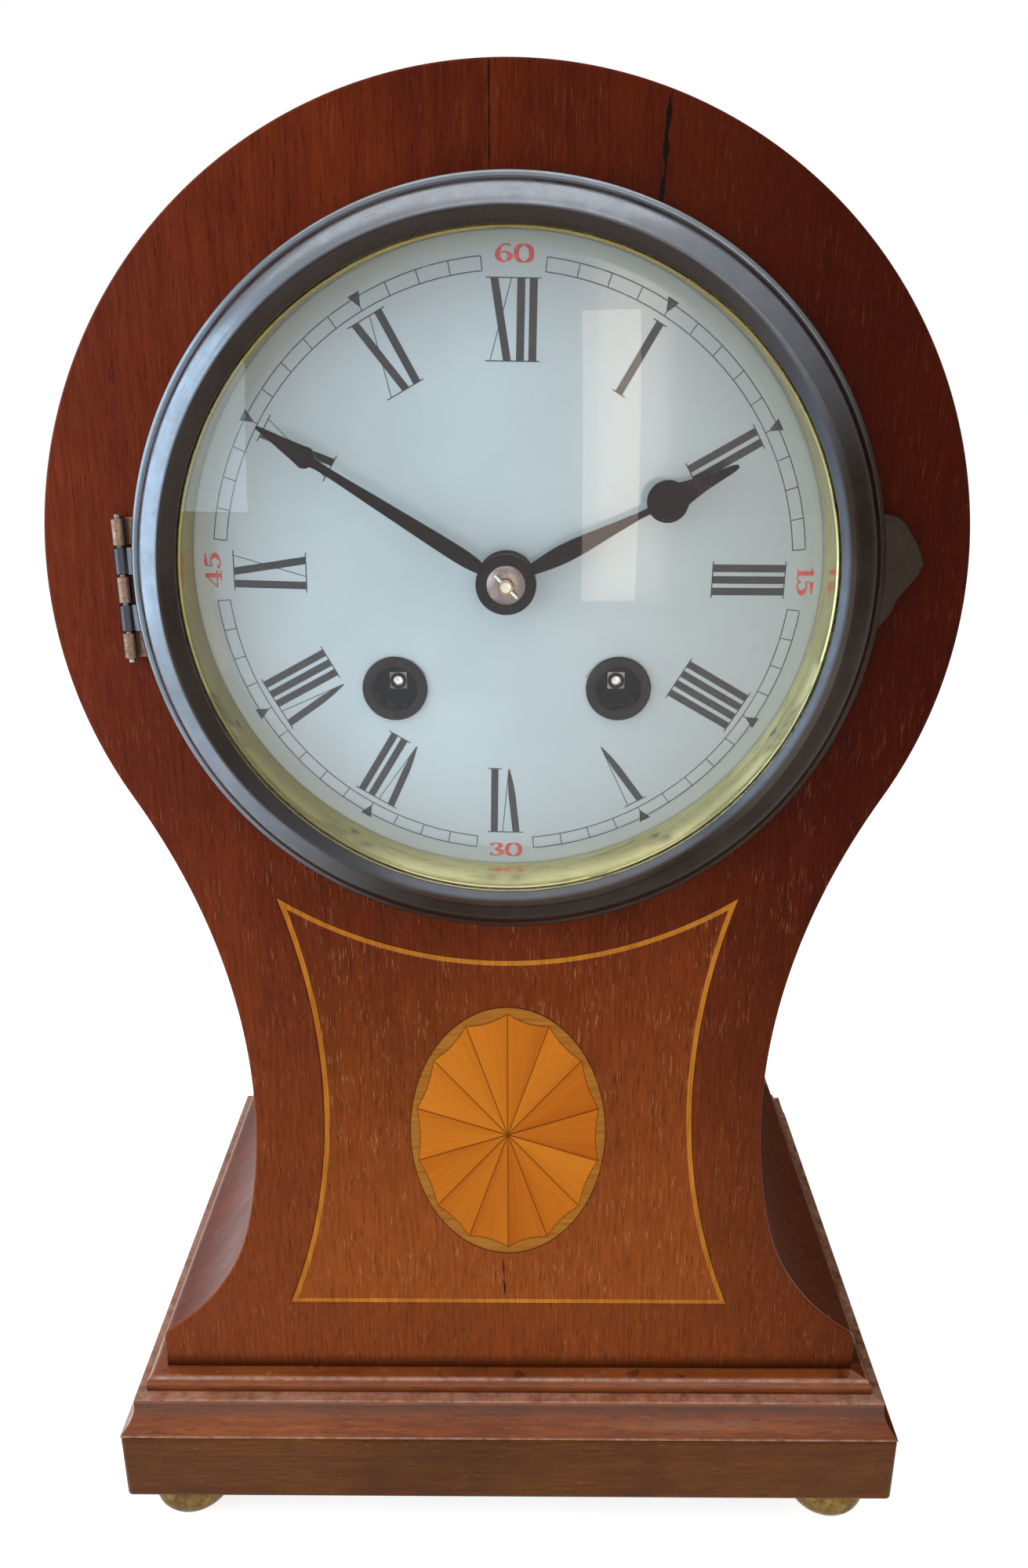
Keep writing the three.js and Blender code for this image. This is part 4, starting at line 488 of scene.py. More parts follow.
class Graph:
    """Short ways to place and join nodes in one tree."""

    def __init__(self, tree: Tree) -> None:
        """Keeps the tree that nodes are added to."""
        self.tree = tree

    def node(self, kind: str, **settings: object) -> Node:
        """Adds a node.

        Args:
            kind: Kind of the node.
            settings: Its settings by name.

        Returns:
            The node.
        """
        made = self.tree.nodes.new(kind)
        for key, value in settings.items():
            setattr(made, key, value)
        return made

    def feed(self, socket: Socket, value: Value) -> None:
        """Links a socket, or sets it where the value is plain.

        Args:
            socket: The input.
            value: What goes into it.
        """
        if isinstance(value, Socket):
            self.tree.links.new(value, socket)
        else:
            socket.default_value = value

    def fill(self, made: Node, values: dict[int | str, Value]) -> Node:
        """Feeds the inputs of a node.

        Args:
            made: The node.
            values: Values by the number or the title of an input.

        Returns:
            The node.
        """
        for key, value in values.items():
            self.feed(made.inputs[key], value)
        return made

    def fed(self, kind: str, **inputs: Value) -> Node:
        """Adds a node and feeds its inputs by name."""
        return self.fill(self.node(kind), titled(inputs))

    def math(self, operation: str, *values: Value, clamp: bool = False) -> Socket:
        """Works out a number."""
        made = self.node("ShaderNodeMath", operation=operation, use_clamp=clamp)
        return self.fill(made, dict(enumerate(values))).outputs[0]

    def times(self, a: Value, b: Value) -> Socket:
        """Multiplies two numbers."""
        return self.math("MULTIPLY", a, b)

    def plus(self, a: Value, b: Value) -> Socket:
        """Adds two numbers."""
        return self.math("ADD", a, b)

    def minus(self, a: Value, b: Value) -> Socket:
        """Takes the second number from the first."""
        return self.math("SUBTRACT", a, b)

    def hypotenuse(self, a: Value, b: Value) -> Socket:
        """Gives the length of a plane vector."""
        return self.math("SQRT", self.plus(self.times(a, a), self.times(b, b)))

    def scaled(self, vector: Value, factors: Value) -> Socket:
        """Multiplies a vector by factors."""
        made = self.node("ShaderNodeVectorMath", operation="MULTIPLY")
        return self.fill(made, {0: vector, 1: factors}).outputs[0]

    def mix(self, factor: Value, a: Value, b: Value, blend: str = "MIX") -> Socket:
        """Mixes two colours."""
        made = self.node("ShaderNodeMix", data_type="RGBA", blend_type=blend)
        return self.fill(made, {0: factor, 6: a, 7: b}).outputs[2]

    def remap(self, value: Value, low: float, high: float, start: float = 0.0, end: float = 1.0) -> Socket:
        """Eases a number from one range into another."""
        made = self.node("ShaderNodeMapRange", interpolation_type="SMOOTHSTEP")
        return self.fill(made, dict(enumerate((value, low, high, start, end)))).outputs[0]

    def noise(self, vector: Value, scale: Value, detail: float = 3.0, roughness: float = 0.55) -> Socket:
        """Samples noise from 0 to 1."""
        made = self.fed("ShaderNodeTexNoise", vector=vector, scale=scale, detail=detail, roughness=roughness)
        return made.outputs["Fac"]

    def place(self) -> Socket:
        """Gives object coordinates."""
        return self.node("ShaderNodeTexCoord").outputs["Object"]

    def attribute(self, name: str) -> Socket:
        """Gives a vector attribute of the piece."""
        return self.node("ShaderNodeAttribute", attribute_name=name).outputs["Vector"]

    def combine(self, x: Value = 0.0, y: Value = 0.0, z: Value = 0.0) -> Socket:
        """Puts a vector together."""
        return self.fed("ShaderNodeCombineXYZ", x=x, y=y, z=z).outputs[0]

    def split(self, vector: Value) -> tuple[Socket, Socket, Socket]:
        """Takes a vector apart."""
        return tuple(self.fed("ShaderNodeSeparateXYZ", vector=vector).outputs)

    def bump(self, height: Value, strength: float, distance: float) -> Socket:
        """Turns a height into a normal."""
        made = self.fed("ShaderNodeBump", height=height, strength=strength, distance=distance)
        return made.outputs["Normal"]

    def group(self, tree: Tree, **inputs: Value) -> dict[str, Socket]:
        """Places a node group and returns its outputs by name."""
        made = self.fill(self.node("ShaderNodeGroup", node_tree=tree), titled(inputs))
        return {output.name: output for output in made.outputs}


@dataclass
class Shader:
    """A material with its graph and its surface node."""

    material: Material
    graph: Graph
    surface: Node

    @classmethod
    def named(cls, name: str) -> "Shader":
        """Starts a material.

        Args:
            name: Name of the material.

        Returns:
            The material with its graph.
        """
        material = bpy.data.materials.new(name)
        material.use_nodes = True
        surface = material.node_tree.nodes["Principled BSDF"]
        return cls(material, Graph(material.node_tree), surface)

    def set(self, **values: Value) -> Material:
        """Feeds the surface node by input name and returns the material."""
        self.graph.fill(self.surface, titled(values))
        return self.material


def node_group(name: str, inputs: dict[str, str], outputs: Sequence[str]) -> tuple[Graph, dict[str, Socket], dict]:
    """Starts a shared group of nodes.

    Args:
        name: Name of the group.
        inputs: Socket types by input name.
        outputs: Names of its number outputs.

    Returns:
        The graph, its input sockets by name, and its output sockets by name.
    """
    tree = bpy.data.node_groups.new(name, "ShaderNodeTree")
    for key, kind in inputs.items():
        tree.interface.new_socket(key, in_out="INPUT", socket_type="NodeSocket" + kind)
    for key in outputs:
        tree.interface.new_socket(key, in_out="OUTPUT", socket_type="NodeSocketFloat")
    graph = Graph(tree)
    entry = graph.node("NodeGroupInput")
    end = graph.node("NodeGroupOutput")
    return graph, {s.name: s for s in entry.outputs if s.name}, {s.name: s for s in end.inputs if s.name}


class SharedEffects:
    """Groups of nodes that several finishes use."""

    def __init__(self) -> None:
        """Builds the groups."""
        self.grain = self._grain()
        self.tarnish = self._tarnish()

    @staticmethod
    def _grain() -> Tree:
        """Builds wood grain: broad figure, fibres, and light and dark pores.

        Returns:
            The group.
        """
        kinds = {"Vector": "Vector", "Stretch": "Vector", "Fineness": "Float"}
        graph, given, out = node_group("wood_grain", kinds, ("Figure", "Fibre", "Flecks", "Pores"))
        drawn = graph.scaled(given["Vector"], given["Stretch"])
        long_drawn = graph.scaled(drawn, given["Stretch"])
        wide = graph.noise(given["Vector"], 24.0, 3.0, 0.55)
        ribbon = graph.noise(long_drawn, 210.0, 4.0, 0.6)
        fibre = graph.noise(drawn, graph.times(given["Fineness"], 0.5), 4.0, 0.65)
        fleck_noise = graph.noise(drawn, graph.times(given["Fineness"], 1.8), 1.0, 0.4)
        pore_noise = graph.noise(drawn, graph.times(given["Fineness"], 1.4), 1.0, 0.4)
        patch = graph.noise(given["Vector"], 130.0, 2.0, 0.5)
        figure = graph.plus(graph.times(wide, 0.55), graph.times(ribbon, 0.45))
        graph.feed(out["Figure"], graph.remap(figure, 0.34, 0.66))
        graph.feed(out["Fibre"], graph.remap(fibre, 0.3, 0.7))
        flecks = graph.times(graph.remap(fleck_noise, 0.63, 0.73), graph.remap(patch, 0.36, 0.62))
        graph.feed(out["Flecks"], flecks)
        graph.feed(out["Pores"], graph.remap(pore_noise, 0.62, 0.72))
        return graph.tree

    @staticmethod
    def _tarnish() -> Tree:
        """Builds the wear of metal: blotches, fine mottling and scratches.

        Returns:
            The group.
        """
        kinds = {"Vector": "Vector", "Along": "Vector", "Scale": "Float"}
        graph, given, out = node_group("tarnish", kinds, ("Blotch", "Mottle", "Scratches"))
        blotch = graph.noise(given["Vector"], given["Scale"], 5.0, 0.6)
        mottle = graph.noise(given["Vector"], graph.times(given["Scale"], 7.0), 4.0, 0.7)
        lines = graph.noise(graph.scaled(given["Along"], (1.0, 1.0, 0.06)), 2600.0, 1.0, 0.5)
        graph.feed(out["Blotch"], graph.remap(blotch, 0.34, 0.66))
        graph.feed(out["Mottle"], graph.remap(mottle, 0.3, 0.7))
        graph.feed(out["Scratches"], graph.remap(lines, 0.64, 0.72))
        return graph.tree


EFFECTS = SharedEffects()
CRACK_FILLING = srgb(18, 12, 10)
# Colour of painted shade in corners and hollows
PAINTED_CORNER_SHADE = srgb(34, 14, 8)
# Pale arrises, partly wear and partly painted highlight: their colour, then how wide the line is
RUBBED_HIGHLIGHT_WOOD = srgb(214, 168, 144)
RUBBED_HIGHLIGHT_LINE = (0.34, 0.06)
CRACK_END = 2.0
PLAIN_WHITE = (1.0, 1.0, 1.0, 1.0)


@dataclass(frozen=True)
class Split:
    """A dark filled crack in a veneer, in millimetres."""

    x: float
    low: float
    high: float
    half_width: float
    lean: float = 0.0
    sway: float = 1.6

    def mask(self, graph: Graph) -> Socket:
        """Marks the crack.

        Args:
            graph: The graph of a finish.

        Returns:
            1 inside the crack and 0 elsewhere.
        """
        x, _, z = graph.split(graph.place())
        upward = graph.scaled(graph.place(), (0.0, 0.0, 1.0))
        wander = graph.noise(upward, 130.0, 3.0, 0.6)
        sway = graph.times(graph.minus(wander, 0.5), self.sway * MM)
        leaning = graph.times(graph.minus(z, self.low * MM), self.lean)
        middle = graph.plus(graph.plus(sway, leaning), self.x * MM)
        off = graph.math("ABSOLUTE", graph.minus(x, middle))
        swell = graph.remap(graph.noise(upward, 210.0, 2.0, 0.5), 0.35, 0.65, 0.3, 1.0)
        reach = graph.math("DIVIDE", off, graph.times(swell, self.half_width * MM))
        across = graph.remap(reach, 1.0, 0.6)
        below = graph.remap(z, self.low * MM, (self.low + CRACK_END) * MM)
        above = graph.remap(z, self.high * MM, (self.high - CRACK_END) * MM)
        return graph.times(across, graph.times(below, above))


@dataclass(frozen=True)
class PaintedLight:
    """Painted light and shade: a surface made lighter or darker from one part of it to another, as light falls on
    it, in millimetres.
    """

    across: float
    up: float
    start: float
    end: float
    colour: Colour
    share: float = 0.6

    def mask(self, graph: Graph) -> Socket:
        """Marks where the painted light or shade lies.

        Args:
            graph: The graph of a finish.

        Returns:
            The share of the painted light or shade.
        """
        x, _, z = graph.split(graph.place())
        along = graph.math("MULTIPLY_ADD", x, self.across, graph.times(z, self.up))
        return graph.remap(along, self.start * MM, self.end * MM, 0.0, self.share)


@dataclass(frozen=True)
class Wood:
    """A polished wood, with its places in millimetres.

    Attributes:
        rubbed_highlight_heights: Heights of arrises worn pale, with a painted highlight along them.
        painted_corner_shade: Painted shade in corners and hollows, each as start, end and share.
        fleck_fade: Where flecks start and stop to thin out upwards, and the share left of them.
        dull_side: Where the polish starts and stops to dull towards the right.
    """

    name: str
    deep: Colour
    warm: Colour
    fleck: Colour
    pore: Colour
    grain: Grain
    fineness: float = 2600.0
    fleck_share: float = 0.42
    pore_share: float = 0.48
    roughness: float = 0.36
    specular: float = 0.05
    splits: tuple[Split, ...] = ()
    painted_lights: tuple[PaintedLight, ...] = ()
    rubbed_highlight_heights: tuple[float, ...] = ()
    painted_corner_shade: tuple[Triple, ...] = ()
    fleck_fade: Triple | None = None
    dull_side: tuple[float, float] | None = None

    def material(self) -> Material:
        """Builds the finish.

        Returns:
            The material.
        """
        shader = Shader.named(self.name)
        graph = shader.graph
        follows = self.grain is Grain.ALONG_OUTLINE
        source = graph.attribute("run") if follows else graph.place()
        effect = graph.group(EFFECTS.grain, vector=source, stretch=self.grain.value, fineness=self.fineness)
        colour = graph.mix(effect["Figure"], self.deep, self.warm)
        # Painted light and shade: parts of the veneer made lighter or darker where light falls on them more or
        # less
        for painted_light in self.painted_lights:
            colour = graph.mix(painted_light.mask(graph), colour, painted_light.colour)
        shade = graph.remap(effect["Fibre"], 0.0, 1.0, 0.84, 1.14)
        colour = graph.mix(1.0, colour, graph.combine(shade, shade, shade), "MULTIPLY")
        x, _, z = graph.split(graph.place())
        flecks = graph.times(effect["Flecks"], self.fleck_share)
        if self.fleck_fade:
            low, high, least = self.fleck_fade
            flecks = graph.times(flecks, graph.remap(z, low * MM, high * MM, 1.0, least))
        colour = graph.mix(flecks, colour, self.fleck)
        colour = graph.mix(graph.times(effect["Pores"], self.pore_share), colour, self.pore)
        for split in self.splits:
            colour = graph.mix(split.mask(graph), colour, CRACK_FILLING)
        rubbed_highlight = graph.remap(graph.noise(graph.place(), 300.0, 4.0, 0.7), 0.3, 0.7, 0.15, 0.75)
        # Painted shade in corners and hollows: darkest at the start height, gone by the end height
        for start, end, share in self.painted_corner_shade:
            sharp = math.copysign(0.2, start - end)
            corner = graph.remap(z, (start + sharp) * MM, start * MM)
            spread = graph.remap(z, end * MM, start * MM, 0.0, share)
            colour = graph.mix(graph.times(corner, spread), colour, PAINTED_CORNER_SHADE)
        # Pale lines along arrises: partly wear, partly painted highlight
        for height in self.rubbed_highlight_heights:
            off = graph.math("ABSOLUTE", graph.minus(z, height * MM))
            near = graph.remap(off, RUBBED_HIGHLIGHT_LINE[0] * MM, RUBBED_HIGHLIGHT_LINE[1] * MM)
            colour = graph.mix(graph.times(near, rubbed_highlight), colour, RUBBED_HIGHLIGHT_WOOD)
        rough = graph.remap(effect["Fibre"], 0.0, 1.0, self.roughness - 0.05, self.roughness + 0.08)
        height = graph.minus(effect["Fibre"], effect["Pores"])
        if self.dull_side:
            start, end = self.dull_side
            rough = graph.math("MAXIMUM", rough, graph.remap(x, start * MM, end * MM))
        return shader.set(
            base_color=colour,
            roughness=rough,
            specular_ior_level=self.specular,
            normal=graph.bump(height, 0.1, 0.03 * MM),
        )


@dataclass(frozen=True)
class FanInlay:
    """Wedges of shaded veneer in an oval, drawn from its centre."""

    name: str
    centre_z: float
    half_width: float
    half_height: float
    wedges: int = 14
    tip: float = 0.945
    dip: float = 0.05
    seam_width: Point = (0.2, 0.05)
    seam_end: Point = (0.95, 0.93)
    seam_depth: float = 0.75
    rim_width: Point = (0.24, 0.06)
    rim_depth: float = 0.55
    edge_line: Point = (0.985, 0.997)
    burn_power: float = 2.6
    burn_share: float = 0.3
    tone_share: float = 0.5
    fibre_share: float = 0.22
    border: Colour = srgb(202, 130, 48)
    light: Colour = srgb(244, 142, 38)
    deep: Colour = srgb(198, 92, 18)
    line: Colour = srgb(66, 28, 8)

    def material(self) -> Material:
        """Builds the finish.

        Returns:
            The material.
        """
        shader = Shader.named(self.name)
        graph = shader.graph
        place = graph.place()
        x, _, z = graph.split(place)
        across = graph.math("DIVIDE", x, self.half_width * MM)
        up = graph.math("DIVIDE", graph.minus(z, self.centre_z * MM), self.half_height * MM)
        reach = graph.hypotenuse(across, up)
        turn = graph.math("ARCTAN2", across, up)
        wedge = graph.times(turn, self.wedges / (2 * math.pi))
        share = graph.math("FRACT", wedge)
        number = graph.math("FLOOR", wedge)
        side = graph.math("ABSOLUTE", graph.math("MULTIPLY_ADD", share, 2.0, -1.0))
        bow = graph.minus(1.0, graph.times(side, side))
        limit = graph.math("MULTIPLY_ADD", bow, -self.dip, self.tip)
        beyond = graph.minus(reach, limit)
        outside = graph.remap(beyond, -0.004, 0.004)
        middle_radius = (self.half_width + self.half_height) / 2
        seam = graph.times(graph.minus(1.0, side), reach)
        seam_mm = graph.times(seam, math.pi / self.wedges * middle_radius)
        seam_line = graph.times(graph.remap(seam_mm, *self.seam_width), graph.remap(reach, *self.seam_end))
        rim_mm = graph.times(graph.math("ABSOLUTE", beyond), middle_radius)
        rim_line = graph.remap(rim_mm, *self.rim_width)
        edge_line = graph.remap(reach, *self.edge_line)
        tone = graph.node("ShaderNodeTexWhiteNoise", noise_dimensions="1D")
        graph.feed(tone.inputs["W"], number)
        ray = graph.combine(graph.times(wedge, 3.0), graph.times(reach, 0.4))
        fibre = graph.remap(graph.noise(ray, 4.0, 4.0, 0.7), 0.3, 0.7)
        burn = graph.math("POWER", share, self.burn_power)
        depth = graph.times(tone.outputs["Value"], self.tone_share)
        depth = graph.math("MULTIPLY_ADD", burn, self.burn_share, depth)
        depth = graph.math("MULTIPLY_ADD", fibre, self.fibre_share, depth)
        wedge_colour = graph.mix(graph.math("MULTIPLY", depth, 1.0, clamp=True), self.light, self.deep)
        streak = graph.remap(graph.noise(graph.scaled(place, (0.05, 1.0, 1.0)), 1400.0, 3.0, 0.6), 0.3, 0.7)
        border_colour = graph.mix(streak, self.border, srgb(178, 104, 34))
        colour = graph.mix(outside, wedge_colour, border_colour)
        for mask, depth in ((seam_line, self.seam_depth), (rim_line, self.rim_depth)):
            colour = graph.mix(graph.times(mask, depth), colour, self.line)
        colour = graph.mix(edge_line, colour, self.line)
        return shader.set(base_color=colour, roughness=0.36, specular_ior_level=0.05)


def round_dial(graph: Graph) -> Socket:
    """Gives a place as radius, depth and turn about the axis of the dial.

    Args:
        graph: The graph of a finish.

    Returns:
        The place, all three in metres.
    """
    x, y, z = graph.split(graph.place())
    up = graph.minus(z, DATUM.dial_z * MM)
    return graph.combine(graph.hypotenuse(x, up), y, graph.times(graph.math("ARCTAN2", x, up), 60 * MM))


@dataclass(frozen=True)
class PaintedReflection:
    """Painted reflection and shade on metal, changing from the upper left to the lower right as light falls on it,
    in millimetres.
    """

    outer: tuple[Colour, Colour]
    inner: tuple[Colour, Colour]
    arris: float = 62.0
    lead: float = 1.0
    rim: float = 68.3
    rim_colour: Colour = srgb(70, 72, 80)
    start: float = -22.0
    end: float = 34.0

    def colour(self, graph: Graph) -> Socket:
        """Mixes the metal's colour with painted reflection and shade.

        Args:
            graph: The graph of a finish.

        Returns:
            Its colour.
        """
        radius = graph.split(round_dial(graph))[0]
        x, _, z = graph.split(graph.place())
        up = graph.minus(z, DATUM.dial_z * MM)
        across = graph.times(graph.minus(x, up), math.sqrt(0.5))
        side = graph.remap(across, self.start * MM, self.end * MM)
        outer = graph.mix(side, *self.outer)
        inner = graph.mix(side, *self.inner)
        led = graph.math("MULTIPLY_ADD", side, self.lead * MM, radius)
        face = graph.mix(graph.remap(led, (self.arris - 0.3) * MM, (self.arris + 0.5) * MM), inner, outer)
        return graph.mix(graph.remap(radius, self.rim * MM, (self.rim + 0.3) * MM), face, self.rim_colour)


@dataclass(frozen=True)
class Metal:
    """A worn metal."""

    name: str
    bright: Colour
    dull: Colour
    spot: Colour
    scale: float = 60.0
    dull_share: float = 0.7
    spot_share: float = 0.5
    smooth: float = 0.25
    rough: float = 0.5
    scratch_share: float = 0.0
    turned: bool = False
    painted_reflection: PaintedReflection | None = None
    # Painted shade: between these depths the metal is painted near black, deep in a recess
    painted_shade_depths: tuple[float, float] | None = None
    painted_shade_ease: float = 0.4
    dark: Colour = srgb(8, 7, 7)

    def material(self) -> Material:
        """Builds the finish.

        Returns:
            The material.
        """
        shader = Shader.named(self.name)
        graph = shader.graph
        place = graph.place()
        along = round_dial(graph) if self.turned else place
        effect = graph.group(EFFECTS.tarnish, vector=place, along=along, scale=self.scale)
        # Where given, the colour carries painted reflection and shade
        colour = self.bright if self.painted_reflection is None else self.painted_reflection.colour(graph)
        colour = graph.mix(graph.times(effect["Blotch"], self.dull_share), colour, self.dull)
        colour = graph.mix(graph.times(effect["Mottle"], self.spot_share), colour, self.spot)
        colour = graph.mix(graph.times(effect["Scratches"], self.scratch_share), colour, self.spot)
        # Painted shade deep in a recess
        if self.painted_shade_depths is not None:
            y = graph.split(place)[1]
            near, far = ((DATUM.front_y + depth) * MM for depth in self.painted_shade_depths)
            ease = self.painted_shade_ease * MM
            in_painted_shade = graph.times(graph.remap(y, near, near + ease), graph.remap(y, far + ease, far))
            colour = graph.mix(in_painted_shade, colour, self.dark)
        worn = graph.math("MULTIPLY_ADD", effect["Mottle"], 0.5, graph.times(effect["Blotch"], 0.5))
        rough = graph.remap(worn, 0.0, 1.0, self.smooth, self.rough)
        height = graph.minus(effect["Mottle"], effect["Scratches"])
        return shader.set(
            base_color=colour,
            metallic=1.0,
            roughness=rough,
            normal=graph.bump(height, 0.06, 0.03 * MM),
        )


@dataclass(frozen=True)
class Enamel:
    """White fired enamel with faint clouding, and painted shade that greys it to one side and towards the edge."""

    name: str
    clear: Colour
    cloud: Colour
    # Colours of the painted shade: towards the edge, and to one side
    edge: Colour
    painted_light: PaintedLight
    edge_shade_radii: Point = (34.0, 62.0)
    edge_shade_share: float = 0.6
    speck: Colour = srgb(150, 140, 125)
    speck_share: float = 0.35

    def material(self) -> Material:
        """Builds the finish.

        Returns:
            The material.
        """
        shader = Shader.named(self.name)
        graph = shader.graph
        place = graph.place()
        clouding = graph.remap(graph.noise(place, 26.0, 4.0, 0.6), 0.3, 0.7)
        specks = graph.remap(graph.noise(place, 1500.0, 1.0, 0.4), 0.76, 0.8)
        colour = graph.mix(clouding, self.clear, self.cloud)
        # Painted shade to one side and towards the edge
        colour = graph.mix(self.painted_light.mask(graph), colour, self.painted_light.colour)
        radius = graph.split(round_dial(graph))[0]
        inside, outside = (limit * MM for limit in self.edge_shade_radii)
        colour = graph.mix(graph.remap(radius, inside, outside, 0.0, self.edge_shade_share), colour, self.edge)
        colour = graph.mix(graph.times(specks, self.speck_share), colour, self.speck)
        return shader.set(base_color=colour, roughness=0.16, coat_weight=0.4, coat_roughness=0.06)


@dataclass(frozen=True)
class Ink:
    """Fired paint, a little worn."""

    name: str
    colour: Colour
    faded: Colour

    def material(self) -> Material:
        """Builds the finish.

        Returns:
            The material.
        """
        shader = Shader.named(self.name)
        graph = shader.graph
        wear = graph.remap(graph.noise(graph.place(), 900.0, 3.0, 0.6), 0.5, 0.8)
        return shader.set(base_color=graph.mix(wear, self.colour, self.faded), roughness=0.3)


@dataclass(frozen=True)
class Glass:
    """Clear glass that lets light through to the dial."""

    name: str

    def material(self) -> Material:
        """Builds the finish.

        Returns:
            The material.
        """
        shader = Shader.named(self.name)
        graph = shader.graph
        haze = graph.remap(graph.noise(graph.place(), 45.0, 4.0, 0.6), 0.3, 0.8, 0.0, 0.035)
        shader.set(base_color=PLAIN_WHITE, roughness=haze, ior=1.3, transmission_weight=1.0)
        path = graph.node("ShaderNodeLightPath")
        clear = graph.node("ShaderNodeBsdfTransparent")
        blend = graph.node("ShaderNodeMixShader")
        shadow, whole = path.outputs["Is Shadow Ray"], shader.surface.outputs[0]
        graph.fill(blend, {0: shadow, 1: whole, 2: clear.outputs[0]})
        graph.feed(shader.material.node_tree.nodes["Material Output"].inputs["Surface"], blend.outputs[0])
        return shader.material


class Finishes:
    """Every finish of the clock, built once."""

    def __init__(self) -> None:
        """Builds the finishes."""
        veneer = dict(
            deep=srgb(92, 30, 14),
            warm=srgb(124, 48, 20),
            fleck=srgb(218, 152, 98),
            pore=srgb(42, 12, 6),
        )
        top_split = Split(26.0, 286.0, 305.0, 0.75, 0.04)
        joint = Split(-2.6, 290.0, 312.0, 0.22, 0.0, 0.4)
        low_split = Split(-1.0, 62.5, 74.0, 0.28)
        # Painted light and shade on the front veneer: lighter towards the bottom and to the left, darker to the
        # right
        painted_lights = (
            PaintedLight(0.0, 1.0, 190.0, 60.0, srgb(168, 84, 32), 0.55),
            PaintedLight(-1.0, 0.0, 20.0, 85.0, srgb(136, 60, 36), 0.45),
            PaintedLight(1.0, 0.2, 36.0, 120.0, srgb(64, 11, 2), 0.84),
        )
        # Painted light on the panel: lighter and more orange towards the bottom
        panel_painted_light = PaintedLight(0.0, 1.0, 190.0, 50.0, srgb(184, 94, 36), 0.74)
        self.front_veneer = Wood(
            "front_mahogany",
            grain=Grain.UPRIGHT,
            splits=(top_split, joint),
            painted_lights=painted_lights,
            fleck_share=0.27,
            fleck_fade=(160.0, 225.0, 0.3),
            # Painted shade along the foot of the front veneer, just above the plinth
            painted_corner_shade=((42.1, 46.8, 0.85),),
            **veneer,
        ).material()
        self.panel_veneer = Wood(
            "panel_mahogany",
            grain=Grain.UPRIGHT,
            splits=(low_split,),
            painted_lights=(panel_painted_light,),
            fleck_share=0.5,
            **veneer,
        ).material()
        # Painted shade on the sides: darker towards the right flank
        right_painted_shade = PaintedLight(1.0, 0.0, 20.0, 40.0, srgb(84, 44, 24), 0.8)
        self.side_veneer = Wood(
            "side_mahogany",
            grain=Grain.ALONG_OUTLINE,
            roughness=0.3,
            specular=0.06,
            painted_lights=(right_painted_shade,),
            dull_side=(20.0, 40.0),
            **veneer,
        ).material()
        self.back_wood = Wood("back_mahogany", grain=Grain.UPRIGHT, roughness=0.48, **veneer).material()
        level = dict(fleck=srgb(190, 132, 86), pore=srgb(46, 18, 10), grain=Grain.LEVEL, fleck_share=0.4)
        self.block = Wood(
            "block_mahogany", srgb(92, 48, 18), srgb(122, 70, 28), roughness=0.34, specular=0.08, **level
        ).material()
        moulded = dict(
            # Pale arrises, partly wear and partly painted highlight, and painted shade in the hollows of the
            # moulding
            rubbed_highlight_heights=(41.7, 38.4, 30.6),
            painted_corner_shade=((38.75, 40.2, 0.6), (37.4, 33.2, 0.5)),
            **level,
        )
        self.moulding = Wood(
            "moulding_mahogany", srgb(124, 58, 25), srgb(156, 82, 39), roughness=0.18, specular=0.3, **moulded
        ).material()
        # A copy of the moulding for the right side: painted shade in darker colours, and a duller polish
        self.dull_shaded_moulding = Wood(
            "dull_shaded_moulding_mahogany", srgb(90, 46, 24), srgb(99, 52, 27), roughness=0.6, specular=0.0, **moulded
        ).material()
        self.carcase = Wood(
            "plain_carcase_wood",
            srgb(132, 98, 62),
            srgb(168, 130, 86),
            srgb(190, 156, 112),
            srgb(96, 66, 40),
            Grain.LEVEL,
            roughness=0.6,
            specular=0.1,
        ).material()
        self.boxwood = Wood(
            "boxwood_line",
            srgb(200, 116, 34),
            srgb(224, 142, 50),
            srgb(232, 160, 74),
            srgb(150, 78, 24),
            Grain.UPRIGHT,
            fleck_share=0.3,
            pore_share=0.3,
        ).material()
        self.fan = FanInlay("fan_veneer", 106.1, 21.1, 31.3).material()
        # Painted reflection and shade on the bezel: outer slope bright blue-grey at the upper left and dark brown
        # at the lower right, inner slope the other way round
        painted_reflection = PaintedReflection((srgb(124, 131, 140), srgb(40, 31, 25)), (srgb(46, 40, 38), srgb(74, 78, 85)))
        self.bezel = Metal(
            "bezel_brass", painted_reflection.outer[0], srgb(80, 74, 68), srgb(62, 54, 48), 40.0, 0.2, 0.16, 0.18, 0.3, 0.2,
            turned=True, painted_reflection=painted_reflection,
        ).material()
        self.brass = Metal(
            "worn_brass", srgb(186, 150, 86), srgb(150, 116, 62), srgb(112, 82, 46), 36.0, 0.6, 0.3, 0.28, 0.46
        ).material()
        self.foot = Metal(
            "worn_foot_brass", srgb(140, 110, 64), srgb(92, 70, 42), srgb(58, 44, 30), 110.0, smooth=0.3, rough=0.6
        ).material()
        self.hinge = Metal(
            "hinge_brass", srgb(146, 128, 112), srgb(108, 88, 74), srgb(104, 62, 42), 260.0, 0.6, 0.65, 0.26, 0.5
        ).material()
        self.tab = Metal(
            "tab_brass", srgb(56, 47, 41), srgb(42, 34, 29), srgb(30, 23, 19), 150.0, 0.6, 0.4, 0.26, 0.44
        ).material()
        self.washer = Metal(
            "washer_metal", srgb(150, 138, 132), srgb(106, 92, 88), srgb(70, 58, 56), 300.0, 0.6, 0.4, 0.24, 0.4
        ).material()
